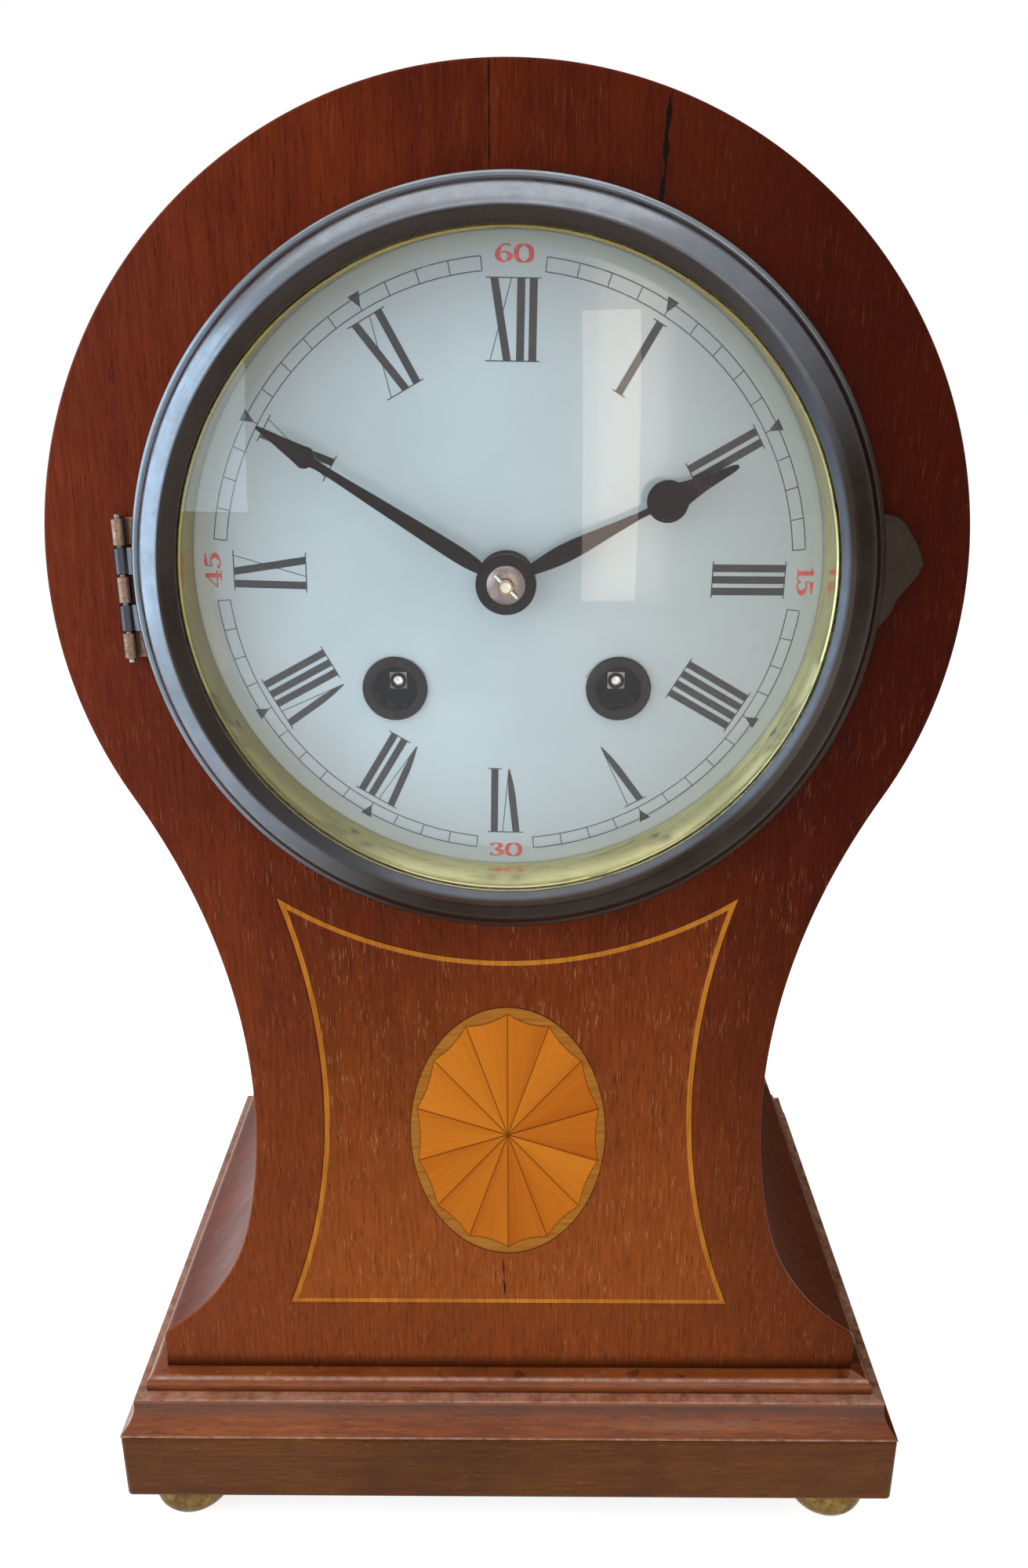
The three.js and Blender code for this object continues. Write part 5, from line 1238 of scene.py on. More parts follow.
        # Painted glint and shade on the sight ring: dull olive at the upper left, bright lemon at the lower right
        lemon = (srgb(172, 158, 94), srgb(240, 231, 170))
        self.gilt = Metal(
            "worn_gilt_painted_glint", lemon[0], srgb(190, 172, 96), srgb(112, 96, 54), 50.0, 0.4, 0.1, 0.14, 0.26, 0.6,
            turned=True, painted_reflection=PaintedReflection(lemon, lemon, start=-10.0, end=44.0),
        ).material()
        self.bronze = Metal(
            "dark_bronze", srgb(46, 41, 43), srgb(32, 28, 29), srgb(20, 17, 18), 120.0, smooth=0.2, rough=0.4
        ).material()
        self.steel = Metal("worn_steel", srgb(176, 178, 182), srgb(120, 120, 122), srgb(84, 78, 72)).material()
        self.bright_steel = Metal(
            "bright_steel", srgb(226, 222, 216), srgb(190, 184, 176), srgb(140, 128, 116),
            300.0, 0.5, 0.3, 0.14, 0.3,
        ).material()
        # Painted shade on the winding arbors: near black deep inside the winding holes
        self.winding = Metal(
            "winding_steel", srgb(150, 144, 140), srgb(110, 104, 100), srgb(74, 68, 64), painted_shade_depths=(9.7, 16.0)
        ).material()
        self.blued = Metal(
            "dark_blued_steel", srgb(36, 27, 28), srgb(25, 19, 19), srgb(17, 13, 13), 160.0,
            smooth=0.22, rough=0.42,
        ).material()
        self.iron = Metal(
            "dark_iron", srgb(84, 82, 80), srgb(54, 50, 47), srgb(40, 30, 24), smooth=0.45, rough=0.7
        ).material()
        # Painted shade on the dial: greyer to the right and towards the rim
        self.enamel = Enamel(
            "white_enamel", srgb(166, 180, 185), srgb(158, 171, 176), srgb(140, 146, 146),
            PaintedLight(1.0, 0.0, -10.0, 50.0, srgb(150, 157, 155), 0.9),
        ).material()
        self.black_ink = Ink("black_paint", srgb(14, 12, 13), srgb(46, 42, 42)).material()
        self.grey_ink = Ink("line_paint", srgb(46, 46, 50), srgb(104, 104, 106)).material()
        self.red_ink = Ink("red_paint", srgb(176, 58, 48), srgb(206, 110, 98)).material()
        self.glass = Glass("clear_glass").material()


def stand(piece: Piece, body: Body, slot: str | None, *nodes: str) -> Piece:
    """Lets a piece ride on a body and stand for parts of the frame.

    Args:
        piece: The dressed piece.
        body: The body that it moves with.
        slot: The material slot of the record, if it has one; not used.
        nodes: The parts that it stands for.

    Returns:
        The piece.
    """
    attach(piece, body.value)
    if nodes:
        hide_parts(*nodes)
    LOG.info("%s rides on %s for %s", piece.name, body.value, ", ".join(nodes) or "itself")
    return piece


def cut_away(piece: Piece, tool: Solid) -> None:
    """Cuts a solid out of a piece.

    Args:
        piece: The piece that is cut.
        tool: The shape that is taken out of it.
    """
    cutter = tool.piece("tool", piece.data.materials[0])
    change = piece.modifiers.new("cut", "BOOLEAN")
    change.operation = "DIFFERENCE"
    change.object = cutter
    mesh = settled(piece)
    piece.modifiers.clear()
    piece.data = mesh
    bpy.data.objects.remove(cutter)


# Sub-assemblies


@dataclass(frozen=True)
class Hinge:
    """Knuckles on one upright axis, measured from the centre of the dial."""

    x: float
    depth: float
    top: float
    length: float
    count: int
    radius: float = 1.25
    ease: float = 0.2
    gap: float = 0.15
    leaf_ease: float = 0.12

    def knuckle(self, number: int, *leaves: tuple[float, float, float, float]) -> Solid:
        """Builds one knuckle with its leaves.

        Args:
            number: Its number, counted from the top.
            leaves: Left and right side from the axis, and front and back depth, of each leaf.

        Returns:
            The knuckle in its place.
        """
        pitch = self.length / self.count
        top = self.top - number * pitch - self.gap
        low = self.top - (number + 1) * pitch + self.gap
        start, end = (DATUM.on_dial(self.x, self.depth, z) for z in (low, top))
        made = rod(start, end, self.radius, self.ease)
        for left, right, front, back in leaves:
            near, far = DATUM.on_dial(self.x + left, front, low), DATUM.on_dial(self.x + right, back, top)
            made.join(box(near, far, self.leaf_ease))
        return made


@dataclass
class CaseBody:
    """The balloon-shaped body with its veneers and inlay."""

    finishes: Finishes
    half_width: float = 79.7
    head_radius: float = 84.25
    dial_rise: float = 183.4
    waist_half_width: float = 54.3
    waist_rise: float = 71.6
    flare_rise: float = 39.6
    flare_end_rise: float = 11.7
    shoulder_run: float = 2.9
    shoulder_radius: float = 4.0
    veneer: float = 1.0
    board_back: float = 10.08
    band_back: float = 101.18
    wall: float = 8.0
    aperture_radius: float = 62.2
    back_hole_radius: float = 56.6
    string_width: float = 1.05
    string_arc_radius: float = 84.1
    string_arc_lift: float = 6.0
    string_waist_half_width: float = 38.7
    string_waist_rise: float = 73.9
    string_side_radius: float = 153.0
    string_bottom_rise: float = 19.4
    fan_rise: float = 64.0
    fan_half_width: float = 21.1
    fan_half_height: float = 31.3
    edge: float = 0.45
    inlay_proud: float = 0.02
    hole_sides: int = 180
    oval_sides: int = 144

    def outline(self, moved_in: float = 0.0) -> list[Point]:
        """Draws the balloon outline.

        Args:
            moved_in: How far inside the outside face it runs.

        Returns:
            A loop from the lower right corner, counter-clockwise.
        """
        rise = self.dial_rise - self.waist_rise
        waist, head = self.waist_half_width, self.head_radius
        flank_radius = (waist**2 + rise**2 - head**2) / (2 * (head - waist))
        flank = Vector((waist + flank_radius, self.waist_rise))
        flare_turn = math.asin((self.waist_rise - self.flare_rise) / flank_radius)
        start = flank - polar(flank_radius, flare_turn)
        run = self.half_width - self.shoulder_run - start.x
        drop = start.y - self.flare_end_rise
        chord_turn = math.atan2(run, drop)
        flare_radius = math.hypot(run, drop) / (2 * math.sin(chord_turn - flare_turn))
        flare = flank - polar(flank_radius - flare_radius, flare_turn)
        edge = self.half_width - moved_in
        end_turn = min(
            2 * chord_turn - flare_turn, math.acos((flare.x - edge) / (flare_radius + moved_in))
        )
        flare_end = flare - polar(flare_radius + moved_in, end_turn)
        corner = flare_end.y - (edge - flare_end.x) / math.tan(end_turn)
        shoulder = max(self.shoulder_radius - moved_in, 0.0)
        base = corner - shoulder * math.tan(end_turn / 2)
        head_turn = math.atan2(self.dial_rise - flank.y, -flank.x)
        right = [(edge, 0.0)]
        right += arc(edge - shoulder, base, shoulder, 0, end_turn, 4) if shoulder else [(edge, corner)]
        right += arc(flare.x, flare.y, flare_radius + moved_in, math.pi + end_turn, math.pi + flare_turn)
        right += arc(flank.x, flank.y, flank_radius + moved_in, math.pi + flare_turn, head_turn, 0.8)[1:]
        right += arc(0, self.dial_rise, head - moved_in, head_turn - math.pi, math.pi / 2, 1.2)[1:]
        return [*right, *((-x, z) for x, z in reversed(right[:-1]))]

    def panel(self, grow: float) -> list[Point]:
        """Draws the border of the inlaid panel.

        Args:
            grow: How far outside the middle of the stringing it runs.

        Returns:
            A loop, counter-clockwise.
        """
        flank = Vector((self.string_waist_half_width + self.string_side_radius, self.string_waist_rise))
        head = Vector((0.0, self.dial_rise + self.string_arc_lift))
        top, side = self.string_arc_radius - grow, self.string_side_radius - grow
        base = self.string_bottom_rise - grow
        between = flank - head
        along = (top**2 - side**2 + between.length_squared) / (2 * between.length)
        across = math.sqrt(top**2 - along**2)
        unit = between.normalized()
        corner = head + unit * along + Vector((unit.y, -unit.x)) * across
        base_turn = math.asin((self.string_waist_rise - base) / side)
        top_turn = math.atan2(corner.y - flank.y, corner.x - flank.x)
        right = arc(flank.x, flank.y, side, math.pi + base_turn, top_turn, 0.8)
        sweep = math.atan2(corner.y - head.y, corner.x - head.x)
        crown = arc(head.x, head.y, top, sweep, -math.pi - sweep, 1.2)[1:-1]
        return [*right, *crown, *((-x, z) for x, z in reversed(right))]

    def oval(self) -> list[Point]:
        """Draws the oval of the fan, counter-clockwise."""
        unit = circle(0.0, 0.0, 1.0, self.oval_sides)
        return [(x * self.fan_half_width, self.fan_rise + z * self.fan_half_height) for x, z in unit]

    def _inlay(self) -> None:
        """Builds the veneers of the front with the stringing and the fan."""
        finishes, half = self.finishes, self.string_width / 2
        hole = circle(0.0, self.dial_rise, self.aperture_radius, self.hole_sides)
        base = DATUM.base_z
        front = plate([self.outline(), hole, self.panel(half)], 0.0, self.veneer, base, self.edge)
        stand(front.piece("veneer_front", finishes.front_veneer), Body.CASE, "mahogany", "front_veneer")
        string = plate([self.panel(half), self.panel(-half)], -self.inlay_proud, self.veneer, base)
        stand(string.piece("inlay_stringing", finishes.boxwood), Body.CASE, "boxwood", "stringing")
        panel = plate([self.panel(-half), self.oval()], 0.0, self.veneer, base)
        stand(panel.piece("veneer_panel", finishes.panel_veneer), Body.CASE, "mahogany", "panel_veneer")
        fan = plate([self.oval()], -self.inlay_proud, self.veneer, base)
        stand(fan.piece("inlay_fan", finishes.fan), Body.CASE, "satinwood", "fan_inlay")

    def _carcase(self) -> None:
        """Builds the front board, the bent band and the back board as one run of veneer."""
        finishes, base = self.finishes, DATUM.base_z
        hole = circle(0.0, self.dial_rise, self.aperture_radius, self.hole_sides)
        board = plate([self.outline(), hole], self.veneer, self.board_back, base, along=True)
        stand(board.piece("board_front", finishes.side_veneer), Body.CASE, "carcase_wood", "front_board")
        band = plate([self.outline(), self.outline(self.wall)], self.board_back, self.band_back, base, along=True)
        stand(band.piece("band_sides", finishes.side_veneer), Body.CASE, "mahogany", "case_band")
        back_hole = circle(0.0, self.dial_rise, self.back_hole_radius, self.hole_sides)
        back = plate([self.outline(), back_hole], self.band_back, DATUM.depth, base, back_edge=self.edge)
        stand(back.piece("board_back", finishes.back_wood), Body.CASE, "mahogany", "back_board")

    def build(self) -> None:
        """Builds and dresses the body."""
        self._inlay()
        self._carcase()


@dataclass
class Plinth:
    """The plinth block, its mouldings and the bun feet."""

    finishes: Finishes
    half_width: float = 89.2
    half_depth: float = 64.1
    block_base: float = 12.5
    block_top: float = 30.53
    block_ease: float = 1.1
    moulding_top: float = 42.05
    body_half_width: float = 79.7
    body_half_depth: float = 54.6
    seat: float = 14.0
    ledge_run: float = 2.15
    ovolo: float = 1.8
    fillet_drop: float = 1.7
    step_run: float = 2.45
    step_drop: float = 0.95
    cyma_run: float = 3.1
    cyma_handles: Triple = (0.5, 0.35, 0.3)
    cyma_steps: int = 16
    ease: float = 0.25
    foot_radius: float = 9.3
    foot_flat_radius: float = 3.6
    foot_neck_radius: float = 5.2
    foot_neck_height: float = 1.4
    foot_inset: float = 12.2
    foot_bulge: Point = (-62.0, 49.0)
    foot_gap: float = 0.05

    def section(self) -> list[Point]:
        """Draws the moulding.

        Returns:
            Points as distance outside the body and height.
        """
        top, base = self.moulding_top, self.block_top
        fillet = top - self.ovolo - self.fillet_drop
        cyma = fillet - self.step_drop
        edge = self.ledge_run + self.ovolo + self.step_run
        toe = edge + self.cyma_run
        drop = cyma - base
        upper, run, lower = self.cyma_handles
        hollow = [Vector((edge, cyma)), Vector((edge, cyma - drop * upper))]
        hollow += [Vector((edge + self.cyma_run * run, base + drop * lower)), Vector((toe, base))]
        curve = []
        for i in range(self.cyma_steps):
            t = (i + 1) / self.cyma_steps
            weights = ((1 - t) ** 3, 3 * t * (1 - t) ** 2, 3 * t**2 * (1 - t), t**3)
            curve.append(tuple(sum((p * w for p, w in zip(hollow, weights)), Vector((0.0, 0.0)))))
        inner = self.ledge_run + self.ovolo
        return [
            (-self.seat, base),
            (-self.seat, top),
            *arc(self.ledge_run, top - self.ovolo, self.ovolo, math.pi / 2, 0.0, 10),
            (inner, fillet),
            *arc(edge - self.ease, fillet - self.ease, self.ease, math.pi / 2, 0.0, 30),
            (edge, cyma),
            *curve,
        ]

    def _moulding(self, quarter_turn: int) -> Solid:
        """Builds one mitred length.

        Args:
            quarter_turn: Quarter turns from the front to its side of the plinth.

        Returns:
            The length in its place.
        """
        faces = (self.body_half_width, self.body_half_depth)
        half, reach = (faces[1], faces[0]) if quarter_turn % 2 else faces
        made = Solid()
        section = self.section()
        ends = []
        for sign in (-1, 1):
            ends.append(made.ring(Vector((sign * (half + out), -(reach + out), z)) for out, z in section))
        made.bridge(*ends)
        made.cap(ends[:1])
        made.cap(ends[1:])
        return made.turn(quarter_turn * math.pi / 2, Vector(), "Z")

    def _foot(self, x: float, y: float) -> Solid:
        """Builds one bun foot.

        Args:
            x: Its middle, across.
            y: Its middle, in depth.

        Returns:
            The foot.
        """
        middle = (self.block_base - self.foot_neck_height) / 2
        bulge = arc(0.0, 0.0, 1.0, *(math.radians(turn) for turn in self.foot_bulge), 6)
        profile = [(0.0, 0.0), (self.foot_flat_radius, 0.0)]
        profile += [(self.foot_radius * a, middle + middle * b) for a, b in bulge]
        neck = self.block_base - self.foot_neck_height
        top = self.block_base - self.foot_gap
        profile += [(self.foot_neck_radius, neck), (self.foot_neck_radius, top), (0.0, top)]
        return lathe(profile, Vector((x, y, 0.0)), 64, closed=False, axis=Axis.UP)

    def build(self) -> None:
        """Builds and dresses the plinth."""
        finishes = self.finishes
        low = Vector((-self.half_width, -self.half_depth, self.block_base))
        high = Vector((self.half_width, self.half_depth, self.block_top))
        block = box(low, high, self.block_ease)
        stand(block.piece("block", finishes.block), Body.CASE, "mahogany", "plinth_block")
        for number, side in enumerate(("front", "right", "back", "left")):
            # The right-hand length takes the copy with painted shade
            finish = finishes.dull_shaded_moulding if side == "right" else finishes.moulding
            piece = self._moulding(number).piece(f"moulding_{side}", finish)
            stand(piece, Body.CASE, "mahogany", f"plinth_{side}")
        for end, sign_y in (("front", -1), ("back", 1)):
            for side, sign_x in (("left", -1), ("right", 1)):
                x = sign_x * (self.half_width - self.foot_inset)
                y = sign_y * (self.half_depth - self.foot_inset)
                piece = self._foot(x, y).piece(f"bun_{end}_{side}", finishes.foot)
                stand(piece, Body.CASE, "foot_brass", f"foot_{end}_{side}")


@dataclass
class Bezel:
    """The hinged bezel with its glass, sight ring, hinge and tab, and the pan behind it."""

    finishes: Finishes
    hang: Point = (0.35, -0.3)
    radius: float = 68.0
    back: float = -1.35
    rim: float = -2.6
    rim_ease: float = 0.1
    bead_width: float = 1.6
    bead_rise: float = 0.7
    crease: float = 0.96
    arris_radius: float = 62.0
    arris_front: float = -7.2
    arris_ease: Points = ((0.35, 0.04), (-0.05, 0.0), (-0.4, 0.18))
    cove_sag: float = 0.7
    cove_steps: int = 12
    lip_radius: float = 59.7
    lip_ease: float = 0.15
    lip_front: float = -4.9
    lip_back: float = -4.4
    glass_radius: float = 60.3
    glass_edge: float = -4.1
    glass_rise: float = 4.6
    glass_thickness: float = 1.6
    glass_play: float = 0.3
    glass_steps: int = 28
    sight_radius: float = 59.2
    sight_ease: float = 0.3
    sight_foot_radius: float = 58.6
    sight_foot_ease: Point = (0.1, 0.5)
    sight_foot_shift: Point = (-0.05, 1.1)
    sight_front: float = -2.44
    sight_back: float = 5.2
    hinge: Hinge = Hinge(-69.4, -2.2, 11.9, 25.9, 5)
    leaf_start: float = 0.1
    leaf_reach: float = 2.6
    fixed_leaf: Point = (-1.05, -0.05)
    moving_leaf_back: float = -1.5
    web_half_width: float = 1.0
    web_start: float = 0.2
    tab_seat: float = 68.15
    tab_top: float = 12.6
    tab_bottom: float = -8.6
    tab_reach: float = 75.1
    tab_rise: float = 3.6
    tab_thickness: float = 1.0
    tab_edges: Point = (0.2, 0.1)
    tab_shoulder: Point = (4.6, 1.2)
    tab_upper: Point = (1.2, 3.0)
    tab_lower: Points = ((1.0, 2.3), (3.9, 6.2), (5.3, 9.4))
    pan: Points = (
        (61.1, -1.05), (67.4, -1.05), (67.4, -0.05), (61.9, -0.05), (61.9, 8.55), (42.0, 8.55), (42.0, 7.55),
        (61.1, 7.55),
    )
    ring_sides: int = 192
    inner_sides: int = 160

    def profile(self) -> list[Point]:
        """Draws the bezel's section.

        Returns:
            Points as radius and depth.
        """
        bead = arc(0.0, 0.0, 1.0, 0.0, math.pi - math.asin(self.crease), 15)
        half = self.bead_width / 2
        points = [(self.radius, self.back), (self.radius, self.rim + self.rim_ease)]
        points += [(self.radius - half + half * x, self.rim - self.bead_rise * z) for x, z in bead]
        start, low = points[-1]
        for i in range(1, self.cove_steps):
            share = i / self.cove_steps
            bow = self.cove_sag * math.sin(math.pi * share)
            radius = start + (self.arris_radius - start) * share + bow
            points.append((radius, low + (self.arris_front - low) * share - bow))
        points += [(self.arris_radius + out, self.arris_front + back) for out, back in self.arris_ease]
        points += [(self.lip_radius + self.lip_ease, self.lip_front)]
        points += [(self.lip_radius, self.lip_front + self.lip_ease), (self.lip_radius, self.lip_back)]
        bore = self.glass_radius + self.glass_play
        return [*points, (bore, self.lip_back), (bore, self.back)]

    def knuckle(self, number: int) -> Solid:
        """Builds one knuckle of the hinge with its leaf.

        Args:
            number: Its number, counted from the top.

        Returns:
            The knuckle in its place.
        """
        start, reach, hinge = self.leaf_start, self.leaf_reach, self.hinge
        if number % 2:
            return hinge.knuckle(number, (start, reach, self.rim, self.moving_leaf_back))
        front, back = self.fixed_leaf
        web = (-self.web_half_width, self.web_half_width, hinge.depth + self.web_start, back)
        return hinge.knuckle(number, (start, reach + hinge.radius, front, back), web)

    def _tab(self) -> Solid:
        """Builds the thumb tab.

        Returns:
            The tab in its place.
        """
        angles = (math.asin(self.tab_bottom / self.tab_seat), math.asin(self.tab_top / self.tab_seat))
        root = arc(0.0, 0.0, self.tab_seat, *angles)
        reach, rise = self.tab_reach, self.tab_rise
        shoulder = (reach - self.tab_shoulder[0], self.tab_top - self.tab_shoulder[1])
        upper = (reach - self.tab_upper[0], rise + self.tab_upper[1])
        sides = spline([root[-1], shoulder, upper, (reach, rise)], 5)
        lower = [(reach - run, rise - drop) for run, drop in self.tab_lower]
        low = spline([(reach, rise), *lower, root[0]], 5)
        loop = [*root, *sides[1:], *low[1:-1]]
        return plate([loop], self.rim, self.rim + self.tab_thickness, DATUM.dial_z, *self.tab_edges)

    def _dome(self, edge: float) -> list[Point]:
        """Draws one face of the glass, from its middle to an edge at a depth."""
        shares = [i / self.glass_steps for i in range(self.glass_steps + 1)]
        return [(self.glass_radius * s, edge - self.glass_rise * (1 - s * s)) for s in shares]

    def _sight(self, centre: Vector) -> Solid:
        """Builds the sight ring, whose foot stands off centre.

        Args:
            centre: Centre of the ring.

        Returns:
            The ring.
        """
        run, rise = self.sight_foot_ease
        foot, back = self.sight_foot_radius, self.sight_back
        profile = [(foot, back), (foot + run, back - rise)]
        profile += [(self.sight_radius, self.sight_front + self.sight_ease)]
        profile += [(self.sight_radius + self.sight_ease, self.sight_front)]
        profile += [(self.glass_radius, self.sight_front), (self.glass_radius, back)]
        made = lathe(profile, centre, self.ring_sides)
        shift = Vector((self.sight_foot_shift[0], 0.0, self.sight_foot_shift[1]))
        moved = 2 * self.ring_sides
        made.points[:moved] = [p + shift for p in made.points[:moved]]
        return made

    def build(self) -> None:
        """Builds and dresses the bezel."""
        finishes, centre = self.finishes, DATUM.on_dial(self.hang[0], 0.0, self.hang[1])
        ring = lathe(self.profile(), centre, self.ring_sides)
        ring.join(*(self.knuckle(n) for n in range(1, self.hinge.count, 2)))
        stand(ring.piece("bezel_ring", finishes.bezel), Body.BEZEL, "aged_brass", "bezel")
        front, back = self._dome(self.glass_edge), self._dome(self.glass_edge + self.glass_thickness)
        glass = lathe([*front, *reversed(back)], centre, self.inner_sides, closed=False)
        stand(glass.piece("glass_dome", finishes.glass), Body.BEZEL, "glass", "bezel_glass")
        stand(self._sight(centre).piece("sight_gilt", finishes.gilt), Body.BEZEL, "gilt", "sight_ring")
        stand(self._tab().piece("tab_thumb", finishes.tab), Body.BEZEL, "aged_brass", "bezel_tab")
        pan = lathe(self.pan, DATUM.dial_centre, self.inner_sides)
        stand(pan.piece("pan_brass", finishes.brass), Body.CASE, "brass", "dial_pan")
        fixed = self.knuckle(0).join(*(self.knuckle(n) for n in range(2, self.hinge.count, 2)))
        stand(fixed.piece("hinge_fixed", finishes.hinge), Body.CASE, "brass")


@dataclass
class MarkRing:
    """Marks repeated round the dial, set out by a node tree."""

    name: str
    material: Material
    count: int
    radius: float
    length: float
    width: float
    taper: float
    skip: int
    turn: float
    offset: Point
    tree: Tree

    def piece(self) -> Piece:
        """Sets the tree's inputs and turns its result into a plain mesh.

        Returns:
            The marks as one piece.
        """
        host = show(bpy.data.objects.new(self.name + "_host", bpy.data.meshes.new(self.name + "_host")))
        modifier = host.modifiers.new("marks", "NODES")
        modifier.node_group = self.tree
        values = {
            "Count": self.count,
            "Radius": self.radius * MM,
            "Length": self.length * MM,
            "Width": self.width * MM,
            "Taper": self.taper,
            "Skip": self.skip,
            "Turn": self.turn,
            "Offset X": self.offset[0] * MM,
            "Offset Z": self.offset[1] * MM,
            "Material": self.material,
        }
        for item in self.tree.interface.items_tree:
            if item.in_out == "INPUT":
                modifier[item.identifier] = values[item.name]
        mesh = settled(host)
        mesh.name = self.name
        bpy.data.objects.remove(host)
        return show(bpy.data.objects.new(self.name, mesh))


# Strokes of the red figures, as stations of x, y and half-width in heights of a figure
FIGURES: dict[str, tuple[tuple[Triple, ...], ...]] = {
    "0": (
        ((0.31, 0.97, 0.04), (0.52, 0.76, 0.09), (0.53, 0.24, 0.09), (0.31, 0.03, 0.04)),
        ((0.31, 0.97, 0.04), (0.10, 0.76, 0.09), (0.09, 0.24, 0.09), (0.31, 0.03, 0.04)),
    ),
    "1": (
        ((0.31, 0.0, 0.09), (0.31, 0.5, 0.09), (0.31, 1.0, 0.09)),
        ((0.10, 0.80, 0.03), (0.30, 0.96, 0.05)),
        ((0.10, 0.03, 0.035), (0.52, 0.03, 0.035)),
    ),
    "3": (
        ((0.09, 0.80, 0.08), (0.28, 0.96, 0.04), (0.48, 0.78, 0.09), (0.30, 0.55, 0.04)),
        ((0.24, 0.54, 0.04), (0.52, 0.30, 0.10), (0.28, 0.04, 0.04), (0.07, 0.22, 0.08)),
    ),
    "4": (
        ((0.42, 0.98, 0.05), (0.04, 0.30, 0.03)),
        ((0.02, 0.28, 0.04), (0.62, 0.28, 0.04)),
        ((0.44, 0.0, 0.085), (0.44, 0.5, 0.085), (0.44, 1.0, 0.085)),
        ((0.26, 0.03, 0.035), (0.62, 0.03, 0.035)),
    ),
    "5": (
        ((0.14, 0.92, 0.07), (0.54, 0.95, 0.05)),
        ((0.15, 0.94, 0.03), (0.12, 0.55, 0.03)),
        ((0.12, 0.55, 0.04), (0.33, 0.62, 0.04), (0.51, 0.34, 0.10), (0.28, 0.04, 0.04), (0.07, 0.20, 0.08)),
    ),
    "6": (
        ((0.50, 0.90, 0.06), (0.30, 0.95, 0.04), (0.11, 0.60, 0.08), (0.12, 0.26, 0.09), (0.31, 0.03, 0.04)),
        ((0.13, 0.42, 0.04), (0.33, 0.58, 0.04), (0.52, 0.32, 0.09), (0.31, 0.03, 0.04)),
    ),
}


